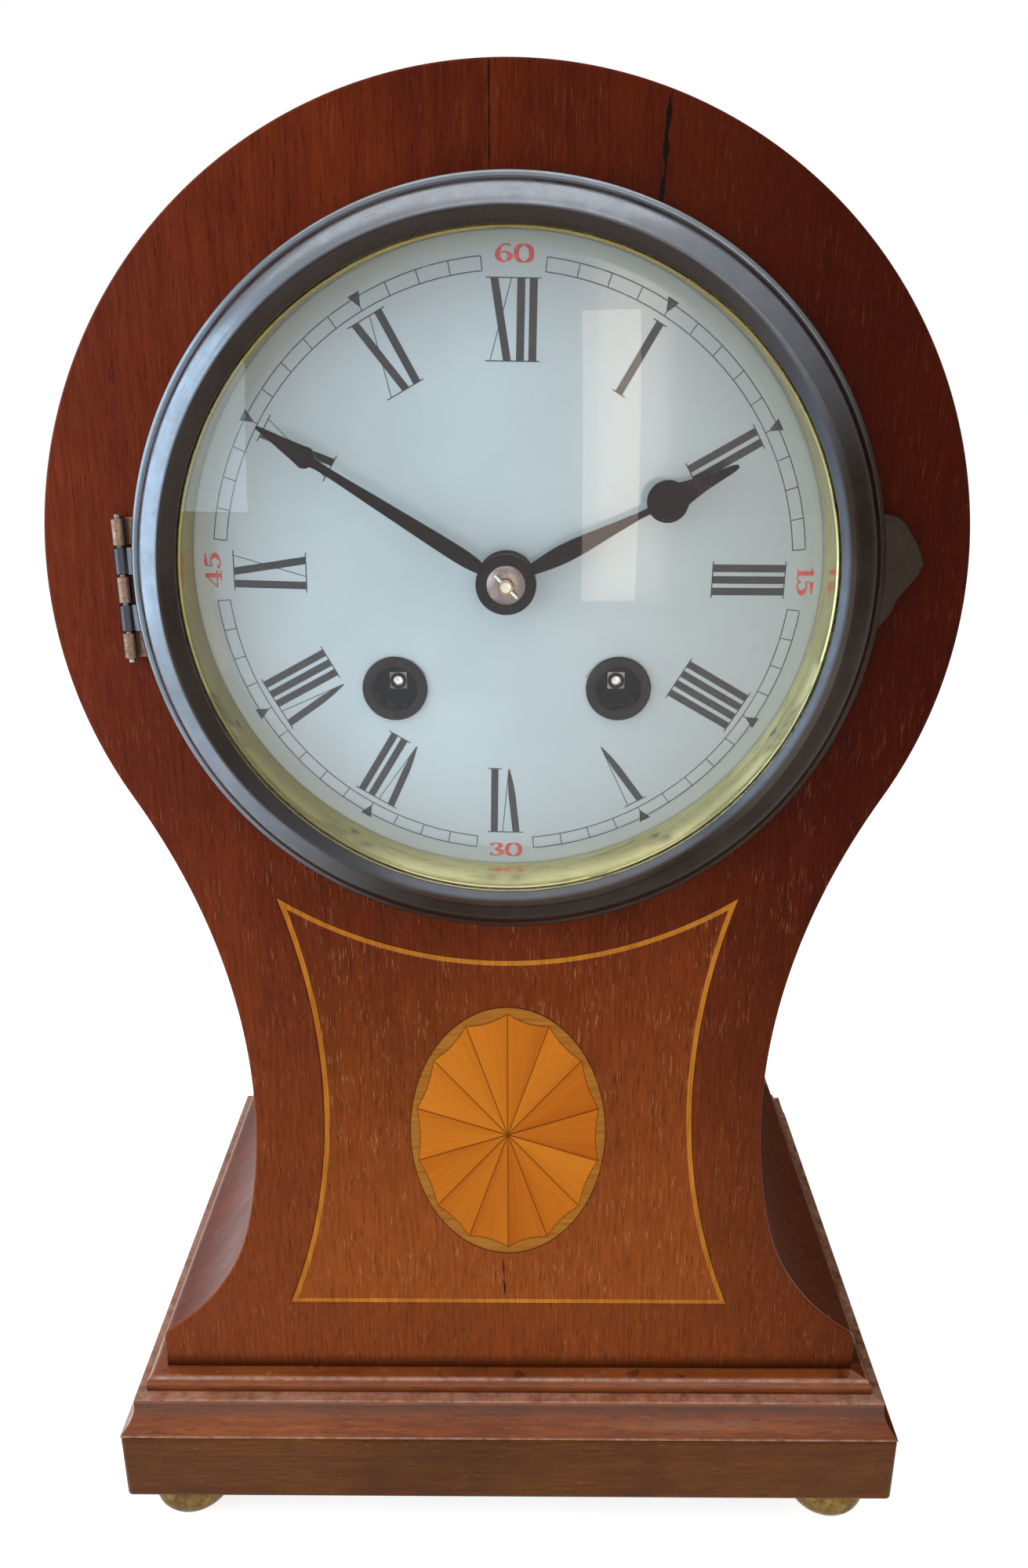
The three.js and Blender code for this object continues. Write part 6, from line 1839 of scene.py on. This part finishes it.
@dataclass
class Dial:
    """The enamel dial with its printing and collets."""

    finishes: Finishes
    radius: float = 60.7
    edge_depth: float = 5.65
    dome: float = 2.7
    thickness: float = 1.6
    centre_hole: float = 4.45
    winding_x: float = 21.3
    winding_z: float = -20.9
    winding_hole: float = 5.05
    lift: float = 0.03
    print_offset: Point = (0.5, 0.4)
    print_turn: float = math.radians(1.0)
    numeral_inner: float = 37.7
    numeral_outer: float = 51.3
    track_inner: float = 52.6
    track_outer: float = 55.0
    line: float = 0.2
    thick: float = 0.7
    hair: float = 0.1
    serif_reach: float = 0.25
    stroke_inset: float = 1.2
    hair_inset: float = 0.6
    vee_inset: float = 1.1
    vee_feet: Point = (0.5, 0.55)
    blade_foot: Point = (0.1, 0.5)
    bar_steps: int = 5
    five_radius: float = 54.45
    five_size: Point = (2.5, 2.3)
    figure_radius: float = 55.2
    figure_size: float = 3.1
    figure_pitch: float = 3.4
    narrow_pitch: float = 2.6
    figure_spread: float = 1.75
    figure_weight: float = 1.5
    figure_bold: float = 0.06
    figure_middle: Point = (0.31, 0.5)
    collet_wall: float = 0.55
    collet_flange: float = 0.9
    collet_tail: float = 2.4
    collet_mouth: Points = ((0.35, 0.0), (0.08, 0.12), (0.0, 0.4))
    winding_collet: Triple = (6.2, 4.3, 2.41)
    centre_collet: Triple = (5.4, 3.7, 2.0)
    nose: Points = ((0.0, 9.55), (1.6, 9.55), (1.6, 9.2), (1.4, 8.9), (0.9, 8.68), (0.0, 8.6))
    cut_depth: float = 9.0
    numerals: tuple[str, ...] = ("XII", "I", "II", "III", "IIII", "V", "VI", "VII", "VIII", "IX", "X", "XI")
    advance: dict[str, float] = field(default_factory=lambda: {"I": 2.15, "V": 4.4, "X": 4.8})

    def depth(self, radius: float) -> float:
        """Gives the depth of the enamel at a radius."""
        return self.edge_depth - self.dome * (1 - (radius / self.radius) ** 2)

    def spot(self, angle: float, across: float, out: float) -> Vector:
        """Places a point of the printing.

        Args:
            angle: Clockwise turn from twelve, in radians.
            across: Millimetres clockwise of that line.
            out: Millimetres from the middle of the printing.

        Returns:
            The point, just off the enamel.
        """
        turn = angle + self.print_turn
        x = self.print_offset[0] + out * math.sin(turn) + across * math.cos(turn)
        z = self.print_offset[1] + out * math.cos(turn) - across * math.sin(turn)
        return DATUM.on_dial(x, self.depth(math.hypot(x, z)) - self.lift, z)

    def stroke(self, made: Solid, angle: float, path: Sequence[Sequence[float]]) -> None:
        """Draws a stroke of varying width.

        Args:
            made: The printing that it is added to.
            angle: Clockwise turn of the sign from twelve.
            path: Stations as across, out, half-width across and half-width out.
        """
        left = made.ring(self.spot(angle, a - wa, o - wo) for a, o, wa, wo in path)
        right = made.ring(self.spot(angle, a + wa, o + wo) for a, o, wa, wo in path)
        made.bridge(left, right, closed=False)

    def _bar(self, made: Solid, angle: float, low: Point, high: Point, halves: Sequence[float]) -> None:
        """Draws a straight stroke.

        Args:
            made: The printing that it is added to.
            angle: Clockwise turn of the sign from twelve.
            low: Inner end, as across and out.
            high: Outer end, as across and out.
            halves: Half-widths at even steps from the inner to the outer end.
        """
        steps = len(halves) - 1
        path = []
        for i, half in enumerate(halves):
            share = i / steps
            across = low[0] + (high[0] - low[0]) * share
            path.append((across, low[1] + (high[1] - low[1]) * share, half, 0.0))
        self.stroke(made, angle, path)

    def _serif(self, made: Solid, angle: float, start: float, end: float, out: float) -> None:
        """Draws a thin line across the end of a sign.

        Args:
            made: The printing that it is added to.
            angle: Clockwise turn of the sign from twelve.
            start: One end, across.
            end: The other end.
            out: How far out it is.
        """
        steps = 4
        path = [(start + (end - start) * i / steps, out, 0.0, self.hair) for i in range(steps + 1)]
        self.stroke(made, angle, path)

    def _numeral(self, made: Solid, angle: float, text: str) -> None:
        """Draws one hour.

        Args:
            made: The printing that it is added to.
            angle: Clockwise turn of the sign from twelve.
            text: The signs of the hour.
        """
        low, high = self.numeral_inner, self.numeral_outer
        count = self.bar_steps + 1
        full, thin = [self.thick] * count, [self.hair * 0.75] * count
        blade = [*self.blade_foot, *full[len(self.blade_foot):]]
        at = -sum(self.advance[sign] for sign in text) / 2
        for sign in text:
            wide = self.advance[sign]
            middle, end = at + wide / 2, at + wide
            if sign == "I":
                self._bar(made, angle, (middle, low), (middle, high), full)
            elif sign == "V":
                self._bar(made, angle, (middle + self.vee_feet[0], low), (at + self.vee_inset, high), blade)
                self._bar(made, angle, (middle + self.vee_feet[1], low), (end - self.hair_inset, high), thin)
            else:
                self._bar(made, angle, (end - self.stroke_inset, low), (at + self.stroke_inset, high), full)
                self._bar(made, angle, (at + self.hair_inset, low), (end - self.hair_inset, high), thin)
            for out in (low, high):
                if sign != "V" or out == high:
                    self._serif(made, angle, at - self.serif_reach, end + self.serif_reach, out)
            at = end

    def _digit(self, made: Solid, angle: float, sign: str, at: float, flip: bool) -> None:
        """Draws one red figure from its strokes.

        Args:
            made: The printing that it is added to.
            angle: Clockwise turn of the figure from twelve.
            sign: The figure.
            at: Where its middle is, across.
            flip: Whether its top points to the middle of the dial.
        """
        out, size = self.figure_radius, self.figure_size
        turn = -1.0 if flip else 1.0
        middle_x, middle_y = self.figure_middle
        for stations in FIGURES[sign]:
            run = spline(stations, 6)
            path = []
            for i, (x, y, half) in enumerate(run):
                before, after = run[max(i - 1, 0)], run[min(i + 1, len(run) - 1)]
                way = Vector((after[0] - before[0], after[1] - before[1])).normalized()
                across = (at + (x - middle_x) * size * self.figure_spread) * turn
                up = (y - middle_y) * size * turn
                bold = half * self.figure_weight if half > self.figure_bold else half
                path.append((across, out + up, -way.y * bold * size * turn, way.x * bold * size * turn))
            self.stroke(made, angle, path)

    def _arcs(self, made: Solid) -> None:
        """Draws the two lines of the minute track between the red figures.

        Args:
            made: The printing that they are added to.
        """
        minute = math.radians(6)
        for quarter_turn in range(4):
            start = quarter_turn * math.pi / 2
            turns = [start + minute + (math.pi / 2 - 2 * minute) * i / 52 for i in range(53)]
            for out in (self.track_inner, self.track_outer):
                rings = []
                for edge in (-self.line / 2, self.line / 2):
                    rings.append(made.ring(self.spot(t, 0.0, out + edge) for t in turns))
                made.bridge(*rings, closed=False)

    def _mark_tree(self) -> Tree:
        """Builds the node tree that sets marks round the dial and lays them on the enamel.

        Returns:
            The tree.
        """
        tree = bpy.data.node_groups.new("mark_ring", "GeometryNodeTree")
        kinds = {"Count": "Int", "Skip": "Int", "Material": "Material"}
        sizes = ("Count", "Radius", "Length", "Width", "Taper", "Skip", "Turn", "Offset X", "Offset Z")
        for name in (*sizes, "Material"):
            tree.interface.new_socket(name, in_out="INPUT", socket_type="NodeSocket" + kinds.get(name, "Float"))
        tree.interface.new_socket("Marks", in_out="OUTPUT", socket_type="NodeSocketGeometry")
        graph = Graph(tree)
        given = graph.node("NodeGroupInput").outputs
        index = graph.node("GeometryNodeInputIndex").outputs[0]
        step = graph.math("DIVIDE", 2 * math.pi, given["Count"])
        angle = graph.math("MULTIPLY_ADD", index, step, given["Turn"])
        across = graph.times(graph.math("SINE", angle), given["Radius"])
        up = graph.times(graph.math("COSINE", angle), given["Radius"])
        points = graph.fed("GeometryNodePoints", count=given["Count"], position=graph.combine(across, 0.0, up))
        grid = graph.fed(
            "GeometryNodeMeshGrid", size_x=given["Width"], size_y=given["Length"], vertices_x=3, vertices_y=4
        )
        x, y, _ = graph.split(graph.node("GeometryNodeInputPosition").outputs[0])
        inward = graph.minus(0.5, graph.math("DIVIDE", y, given["Length"]))
        pinch = graph.times(graph.times(inward, given["Taper"]), -1.0)
        narrow = graph.combine(graph.times(x, pinch))
        mark = graph.fed("GeometryNodeSetPosition", geometry=grid.outputs["Mesh"], offset=narrow)
        quarter_turn = (math.pi / 2, 0.0, 0.0)
        upright = graph.fed("GeometryNodeTransform", geometry=mark.outputs[0], rotation=quarter_turn)
        placed = graph.fed(
            "GeometryNodeInstanceOnPoints",
            points=points.outputs[0],
            selection=graph.math("MODULO", index, given["Skip"]),
            instance=upright.outputs[0],
            rotation=graph.combine(0.0, angle),
        )
        real = graph.fed("GeometryNodeRealizeInstances", geometry=placed.outputs[0])
        px, _, pz = graph.split(graph.node("GeometryNodeInputPosition").outputs[0])
        px, pz = graph.plus(px, given["Offset X"]), graph.plus(pz, given["Offset Z"])
        square = graph.plus(graph.times(px, px), graph.times(pz, pz))
        fall = graph.times(square, self.dome * MM / (self.radius * MM) ** 2)
        rest = (DATUM.front_y + self.edge_depth - self.dome - self.lift) * MM
        laid = graph.combine(px, graph.plus(fall, rest), graph.plus(pz, DATUM.dial_z * MM))
        lay = graph.fed("GeometryNodeSetPosition", geometry=real.outputs[0], position=laid)
        paint = graph.fed("GeometryNodeSetMaterial", geometry=lay.outputs[0], material=given["Material"])
        graph.feed(graph.node("NodeGroupOutput").inputs[0], paint.outputs[0])
        return tree

    def _printing(self) -> None:
        """Builds the hours, the minute track and the red figures."""
        finishes = self.finishes
        hours = Solid()
        for number, text in enumerate(self.numerals):
            self._numeral(hours, math.radians(30 * number), text)
        stand(hours.piece("print_hours", finishes.black_ink, closed=False), Body.CASE, None)
        lines = Solid()
        self._arcs(lines)
        stand(lines.piece("print_track", finishes.grey_ink, closed=False), Body.CASE, None)
        tree = self._mark_tree()
        middle = (self.track_inner + self.track_outer) / 2
        length = self.track_outer - self.track_inner
        ticks = MarkRing(
            "print_minutes", finishes.grey_ink, 60, middle, length, self.line, 0.0, 15, self.print_turn,
            self.print_offset, tree,
        )
        stand(ticks.piece(), Body.CASE, None)
        fives = MarkRing(
            "print_fives", finishes.black_ink, 12, self.five_radius, *self.five_size, 1.0, 3, self.print_turn,
            self.print_offset, tree,
        )
        stand(fives.piece(), Body.CASE, None)
        red = Solid()
        for number, text in enumerate(("60", "15", "30", "45")):
            pitch = self.narrow_pitch if "1" in text else self.figure_pitch
            for place, sign in enumerate(text):
                self._digit(red, number * math.pi / 2, sign, (place - 0.5) * pitch, flip=text == "30")
        stand(red.piece("print_quarters", finishes.red_ink, closed=False), Body.CASE, None)

    def _plate(self) -> Solid:
        """Builds the domed plate with its centre hole.

        Returns:
            The plate.
        """
        steps = 24
        radii = [self.centre_hole + (self.radius - self.centre_hole) * i / steps for i in range(steps + 1)]
        face = [(r, self.depth(r)) for r in radii]
        back = [(r, self.depth(r) + self.thickness) for r in reversed(radii)]
        return lathe([*face, *back], DATUM.dial_centre, 160)

    def _collet(self, x: float, z: float, radius: float, bore: float, lip: float) -> Solid:
        """Builds one collet that lines a hole.

        Args:
            x: Its middle, across.
            z: Its middle above the centre of the dial.
            radius: Radius of its flange.
            bore: Radius of its hole.
            lip: Depth of its front.

        Returns:
            The collet.
        """
        wall, seat = bore + self.collet_wall, lip + self.collet_flange
        tail, round_over = seat + self.collet_tail, self.collet_wall
        rim = arc(radius - round_over, lip + round_over, round_over, 0.0, -math.pi / 2, 20)
        profile = [(wall, tail), (wall, seat), (radius, seat), *rim]
        profile += [(bore + out, lip + back) for out, back in self.collet_mouth]
        profile += [(bore, tail)]
        return lathe(profile, DATUM.on_dial(x, 0.0, z), 64)

    def build(self) -> None:
        """Builds and dresses the dial."""
        finishes = self.finishes
        face = self._plate().piece("dial_enamel", finishes.enamel)
        for sign in (-1, 1):
            x = sign * self.winding_x
            start, end = (DATUM.on_dial(x, depth, self.winding_z) for depth in (0.0, self.cut_depth))
            cut_away(face, rod(start, end, self.winding_hole, 0.05, 64))
        stand(face, Body.CASE, "enamel", "dial")
        for side, sign in (("left", -1), ("right", 1)):
            x = sign * self.winding_x
            collet = self._collet(x, self.winding_z, *self.winding_collet)
            piece = collet.piece(f"collet_{side}", finishes.bronze)
            stand(piece, Body.CASE, "bronze", f"winding_collet_{side}")
            nose = lathe(self.nose, DATUM.on_dial(x, 0.0, self.winding_z), 32, closed=False)
            end = nose.piece(f"arbor_nose_{side}", finishes.bright_steel)
            stand(end, Body.GOING_WINDER if sign > 0 else Body.STRIKE_WINDER, "steel")
        middle = self._collet(0.0, 0.0, *self.centre_collet).piece("collet_middle", finishes.bronze)
        stand(middle, Body.CASE, "bronze", "centre_collet")
        self._printing()


@dataclass
class Hands:
    """The hour and minute hands with their washer and taper pin."""

    finishes: Finishes
    hour_angle: float = math.radians(63.4)
    minute_angle: float = math.radians(302.3)
    thickness: float = 0.7
    edge: float = 0.16
    hour_stem: Points = ((4.0, 0.85), (12.0, 1.7), (22.15, 0.95), (26.7, 0.6))
    spade_place: float = 32.3
    spade_radius: float = 3.75
    spade_neck: float = 0.6
    spade_end: float = math.radians(35)
    hour_point: Points = ((38.9, 1.36), (41.9, 0.97), (44.9, 0.6), (46.0, 0.3))
    hour_boss: Triple = (5.0, 3.35, -1.0)
    minute_shape: Points = (
        (4.5, 0.87), (9.9, 1.45), (24.9, 1.1), (38.4, 0.75), (40.5, 1.56), (41.5, 1.95), (43.45, 1.56),
        (51.2, 0.27),
    )
    minute_boss: Triple = (5.5, 2.15, -3.2)
    washer: Points = (
        (1.35, -3.25), (3.5, -3.25), (3.5, -3.5), (3.2, -3.75), (2.5, -4.0), (1.9, -4.15), (1.35, -4.15),
    )
    arbor_tip: Points = (
        (0.0, -4.6), (1.26, -4.6), (1.26, -5.7), (1.1, -5.88), (0.6, -5.93), (0.0, -5.94),
    )
    pin_depth: float = -4.95
    pin_half_length: float = 3.0
    pin_radius: float = 0.4

    def _hand(self, stations: Sequence[Point], boss: float, bore: float, front: float, angle: float) -> Solid:
        """Builds one hand.

        Args:
            stations: Radius and half-width along one edge.
            boss: Radius of the boss.
            bore: Radius of its hole.
            front: Depth of its front face.
            angle: Clockwise turn from twelve.

        Returns:
            The hand, turned to its hour.
        """
        right = [(half, radius) for radius, half in stations]
        loop = [*right, *((-x, z) for x, z in reversed(right))]
        made = plate([loop], front, front + self.thickness, DATUM.dial_z, self.edge)
        ease = self.edge
        profile = [(bore, front + self.thickness), (bore, front + ease), (bore + ease, front)]
        profile += [(boss - ease, front), (boss, front + ease), (boss, front + self.thickness)]
        made.join(lathe(profile, DATUM.dial_centre, 64))
        return made.turn(angle, DATUM.dial_centre)

    def build(self) -> None:
        """Builds and dresses the hands."""
        finishes, centre = self.finishes, DATUM.dial_centre
        start = math.pi - math.asin(self.spade_neck / self.spade_radius)
        stem = spline(self.hour_stem, 8)
        spade = arc(self.spade_place, 0.0, self.spade_radius, start, self.spade_end, 5)
        point = spline([spade[-1], *self.hour_point], 6)
        hour = self._hand([*stem, *spade, *point[1:]], *self.hour_boss, self.hour_angle)
        stand(hour.piece("hand_hour", finishes.blued), Body.HOUR, "blued_steel", "hour_hand")
        minute = self._hand(spline(self.minute_shape, 6), *self.minute_boss, self.minute_angle)
        stand(minute.piece("hand_minute", finishes.blued), Body.MINUTE, "blued_steel", "minute_hand")
        washer = lathe(self.washer, centre, 48)
        stand(washer.piece("washer", finishes.washer), Body.CENTRE, "bronze", "hand_washer")
        tip = lathe(self.arbor_tip, centre, 32, closed=False)
        stand(tip.piece("arbor_tip", finishes.bright_steel), Body.CENTRE, "steel")
        reach = self.pin_half_length / math.sqrt(2)
        ends = (DATUM.on_dial(x, self.pin_depth, -x) for x in (-reach, reach))
        pin = rod(*ends, self.pin_radius, 0.1, 16)
        stand(pin.piece("pin_taper", finishes.bright_steel), Body.CENTRE, "steel", "hand_pin")


@dataclass
class BackWork:
    """The ring and the door at the back, and the gong in front of them."""

    finishes: Finishes
    ring_radius: float = 61.5
    ring_bore: float = 45.5
    ring_back: float = 110.45
    ring_gap: float = 0.05
    ring_ease: float = 0.3
    bore_ease: float = 0.2
    spigot_radii: Point = (55.5, 56.3)
    spigot_front: float = 103.2
    door_radius: float = 47.5
    door_dome: float = 2.4
    door_gap: float = 0.3
    door_ease: Point = (0.4, 0.3)
    door_steps: int = 16
    lip_radii: Point = (45.2, 44.2)
    lip_height: float = 3.4
    sheet: float = 1.2
    knob_x: float = -38.5
    knob: Points = (
        (0.0, 3.6), (2.2, 3.6), (2.9, 3.2), (3.0, 2.6), (2.7, 1.9), (1.9, 1.4), (1.8, 0.0), (0.0, 0.0),
    )
    hinge: Hinge = Hinge(49.05, 112.0, 7.0, 14.0, 3)
    door_leaf: Point = (110.75, 111.95)
    door_leaf_reach: float = 2.6
    fixed_leaf: Point = (-0.75, 1.25)
    fixed_leaf_front: float = 109.85
    strap_x: float = 49.05
    strap_z: float = 12.0
    screw_shank: Point = (1.4, 7.45)
    screw_head: Points = ((2.7, 0.0), (2.7, 0.9), (2.5, 1.2), (1.8, 1.5), (0.0, 1.6))
    slot_low: Triple = (-3.0, 0.8, -0.35)
    slot_high: Triple = (3.0, 2.0, 0.35)
    slot_turn: float = math.radians(35)
    gong_depth: float = 72.0
    gong_drop: float = 72.0
    gong_start: float = 5.15
    gong_radii: Point = (14.0, 34.0)
    gong_turns: int = 3
    gong_wire: float = 1.3

    def knuckle(self, number: int) -> Solid:
        """Builds one of the three knuckles with its leaf.

        Args:
            number: Its number, counted from the top; the middle one is the door's.

        Returns:
            The knuckle in its place.
        """
        if number == 1:
            left = self.door_radius - self.door_leaf_reach - self.hinge.x
            return self.hinge.knuckle(number, (left, 0.0, *self.door_leaf))
        return self.hinge.knuckle(number, (*self.fixed_leaf, self.fixed_leaf_front, self.hinge.depth))

    def _screw(self, side: str, sign: int) -> None:
        """Builds one slotted screw that draws up a strap.

        Args:
            side: Name of its side.
            sign: Which way that side is.
        """
        seat = self.ring_back + self.ring_gap
        radius, length = self.screw_shank
        shank = [(0.0, seat - length), (radius, seat - length), (radius, seat)]
        head = [(out, seat + back) for out, back in self.screw_head]
        place = DATUM.on_dial(sign * self.strap_x, 0.0, self.strap_z)
        piece = lathe([*shank, *head], place, 40, closed=False).piece(f"screw_{side}", self.finishes.steel)
        lift = Vector((0.0, seat, 0.0))
        slot = box(Vector(self.slot_low) + lift, Vector(self.slot_high) + lift, 0.02)
        slot.points = [p + place for p in slot.turn(sign * self.slot_turn, Vector()).points]
        cut_away(piece, slot)
        stand(piece, Body.CASE, "steel", f"strap_screw_{side}")

    def _gong(self) -> None:
        """Builds the gong as one coil of round wire that runs out of its boss."""
        made, centre = Solid(), DATUM.on_dial(0.0, self.gong_depth, -self.gong_drop)
        inner, outer = self.gong_radii
        per_turn, lead = 20, 3
        steps = per_turn * self.gong_turns
        coil = [
            polar(inner + (outer - inner) * i / steps, math.tau * i / per_turn) for i in range(lead, steps + 1)
        ]
        straight = [(self.gong_start, 0.0), (self.gong_start + 2 * self.gong_wire, 0.0)]
        line = [Vector(p) for p in spline([*straight, *coil], 5)]
        section = circle(0.0, 0.0, self.gong_wire, 12)
        rings = []
        for before, at, after in zip([line[0], *line], line, [*line[1:], line[-1]]):
            out = (after - before).orthogonal().normalized()
            points = [Vector((at.x + out.x * a, b, at.y + out.y * a)) for a, b in section]
            rings.append(made.ring(centre + p for p in points))
        for ring, following in zip(rings, rings[1:]):
            made.bridge(ring, following)
        made.cap(rings[:1])
        made.cap(rings[-1:])
        stand(made.piece("gong_coil", self.finishes.steel), Body.CASE, "steel", "gong")

    def _ring(self) -> None:
        """Builds the back ring with its spigot and the fixed knuckles."""
        flat, outside, bore, back = DATUM.depth + self.ring_gap, self.ring_radius, self.ring_bore, self.ring_back
        inner, outer = self.spigot_radii
        ring = [(bore, flat), (inner, flat), (inner, self.spigot_front), (outer, self.spigot_front), (outer, flat)]
        ring += [(outside, flat), (outside, back - self.ring_ease), (outside - self.ring_ease, back)]
        ring += [(bore + self.bore_ease, back), (bore, back - self.bore_ease)]
        solid = lathe(ring, DATUM.dial_centre, 160).join(self.knuckle(0), self.knuckle(2))
        stand(solid.piece("ring_back", self.finishes.brass), Body.CASE, "brass", "back_ring")

    def _door(self) -> None:
        """Builds the domed back door with its lip, its knob and its knuckle."""
        front, edge = self.ring_back + self.door_gap, self.door_radius
        back = front + self.sheet
        radii = [edge * i / self.door_steps for i in range(self.door_steps + 1)]
        outer = [(r, back + self.door_dome * (1 - (r / edge) ** 2)) for r in radii[:-1]]
        outer += [(edge - self.door_ease[0], back), (edge, back - self.door_ease[1])]
        outside, inside = self.lip_radii
        end = front - self.lip_height
        lip = [(edge, front), (outside, front), (outside, end), (inside, end), (inside, front)]
        hollow = [(r, front + self.door_dome * (1 - (r / inside) ** 2)) for r in reversed(radii) if r < inside]
        door = lathe([*outer, *lip, *hollow], DATUM.dial_centre, 128, closed=False)
        place = DATUM.on_dial(self.knob_x, front + self.sheet / 2, 0.0)
        door.join(lathe(self.knob, place, 40, closed=False), self.knuckle(1))
        stand(door.piece("door_back", self.finishes.brass), Body.BACK_DOOR, "brass", "back_door")

    def build(self) -> None:
        """Builds and dresses the back."""
        self._gong()
        self._ring()
        for side, sign in (("left", -1), ("right", 1)):
            self._screw(side, sign)
        self._door()


@dataclass
class Movement:
    """Parts of the movement that keep their own shape and take a finish."""

    finishes: Finishes

    def build(self) -> None:
        """Gives each part left of the frame its finish."""
        finishes = self.finishes
        by_slot = {
            "brass": finishes.brass,
            "steel": finishes.steel,
            "iron": finishes.iron,
            "carcase_wood": finishes.carcase,
        }
        slots = {part["node"]: part["material_slot"] for part in frame["record"]["subparts"]}
        for name, part in frame["nodes"].items():
            if part.hide_render:
                continue
            finish = finishes.winding if name.endswith("winding_arbor") else by_slot[slots[name]]
            for slot in part.material_slots:
                slot.material = finish
            LOG.info("%s keeps its shape with %s", name, finish.name)


def seen(graph: Graph) -> Socket:
    """Tells the rays that the camera sees straight, mirrored or through glass.

    Args:
        graph: The graph that it is worked out in.

    Returns:
        1 for such a ray and 0 for others.
    """
    path = graph.node("ShaderNodeLightPath")
    straight = graph.math("MAXIMUM", path.outputs["Is Camera Ray"], path.outputs["Is Glossy Ray"])
    return graph.math("MAXIMUM", straight, path.outputs["Is Transmission Ray"])


@dataclass(frozen=True)
class Lamp:
    """A soft lamp, in metres and watts."""

    name: str
    place: Triple
    size: Point
    power: float
    tint: Triple
    aim: Triple = (0.0, 0.0, 0.17)

    def add(self) -> None:
        """Adds the lamp, turned to its aim."""
        lamp = bpy.data.lights.new(self.name, "AREA")
        lamp.shape = "RECTANGLE"
        lamp.size, lamp.size_y = self.size
        lamp.energy = self.power
        lamp.color = self.tint
        made = bpy.data.objects.new(self.name, lamp)
        made.location = self.place
        made.rotation_euler = (Vector(self.aim) - Vector(self.place)).to_track_quat("-Z", "Y").to_euler()
        show(made)


COOL, PLAIN, WARM = (0.62, 0.82, 1.0), (1.0, 0.97, 0.93), (1.0, 0.84, 0.68)


@dataclass
class Studio:
    """Floor, soft light and the camera of the photograph."""

    camera_place: Triple = (3.05, -275.57, 263.4)
    pitch: float = math.radians(-19.243)
    yaw: float = math.radians(0.428)
    roll: float = math.radians(0.055)
    lens: float = 27.72
    sensor: float = 36.0
    clip: Point = (0.01, 50.0)
    floor_reach: float = 4000.0
    floor_glow: float = 0.78
    world_light: float = 0.18
    lamps: tuple[Lamp, ...] = (
        Lamp("window", (-0.72, -0.2, 0.34), (1.0, 0.66), 5.6, COOL, (0.0, -0.08, 0.22)),
        Lamp("pane", (-0.5, -0.85, 0.36), (0.14, 0.34), 0.6, COOL),
        Lamp("fill", (0.17, -1.0, 0.28), (0.1, 0.5), 0.5, WARM),
        Lamp("top", (-0.1, -0.3, 1.15), (1.2, 1.1), 5.6, PLAIN),
        Lamp("behind", (0.6, 1.2, 0.8), (1.0, 1.0), 3.4, PLAIN),
    )

    def _floor(self) -> None:
        """Adds the pale floor, which shows white but keeps the shadow of the clock."""
        shader = Shader.named("floor_paper")
        graph = shader.graph
        tooth = graph.remap(graph.noise(graph.place(), 700.0, 2.0, 0.5), 0.3, 0.7)
        shader.set(
            base_color=graph.mix(tooth, srgb(238, 238, 238), srgb(242, 242, 242)),
            roughness=0.9,
            emission_color=PLAIN_WHITE,
            emission_strength=graph.times(seen(graph), self.floor_glow),
        )
        made, far = Solid(), self.floor_reach
        corners = ((-far, -far), (far, -far), (far, far), (-far, far))
        made.face(made.ring(Vector((x, y, 0.0)) for x, y in corners))
        made.piece("floor", shader.material, closed=False)

    def _world(self) -> None:
        """Sets a plain pale surround that shows white."""
        world = bpy.data.worlds.new("studio")
        bpy.context.scene.world = world
        world.use_nodes = True
        graph = Graph(world.node_tree)
        background = world.node_tree.nodes["Background"]
        background.inputs["Color"].default_value = PLAIN_WHITE
        strength = graph.math("MULTIPLY_ADD", seen(graph), 1.0 - self.world_light, self.world_light)
        graph.feed(background.inputs["Strength"], strength)

    def _camera(self) -> None:
        """Puts the camera where the photograph was taken from."""
        turns = ((self.yaw, "Z"), (self.pitch, "X"), (self.roll, "Y"))
        yaw, pitch, roll = (Matrix.Rotation(angle, 3, axis) for angle, axis in turns)
        right, forward, up = (yaw @ pitch @ roll).col
        data = bpy.data.cameras.new("camera")
        data.lens = self.lens
        data.sensor_width = self.sensor
        data.clip_start, data.clip_end = self.clip
        camera = bpy.data.objects.new("camera", data)
        basis = Matrix((right, up, -forward)).transposed()
        camera.matrix_world = Matrix.Translation(Vector(self.camera_place) * MM) @ basis.to_4x4()
        bpy.context.scene.camera = show(camera)

    def build(self) -> None:
        """Builds the studio."""
        for lamp in self.lamps:
            lamp.add()
        self._floor()
        self._world()
        self._camera()
        bpy.context.scene.view_settings.view_transform = "Standard"


def main() -> None:
    """Builds the looks of the clock around its frame."""
    logging.basicConfig(level=logging.INFO)
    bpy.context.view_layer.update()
    finishes = Finishes()
    for part in (CaseBody, Plinth, Bezel, Dial, Hands, BackWork, Movement):
        part(finishes).build()
    Studio().build()


if __name__ == "__main__":
    main()
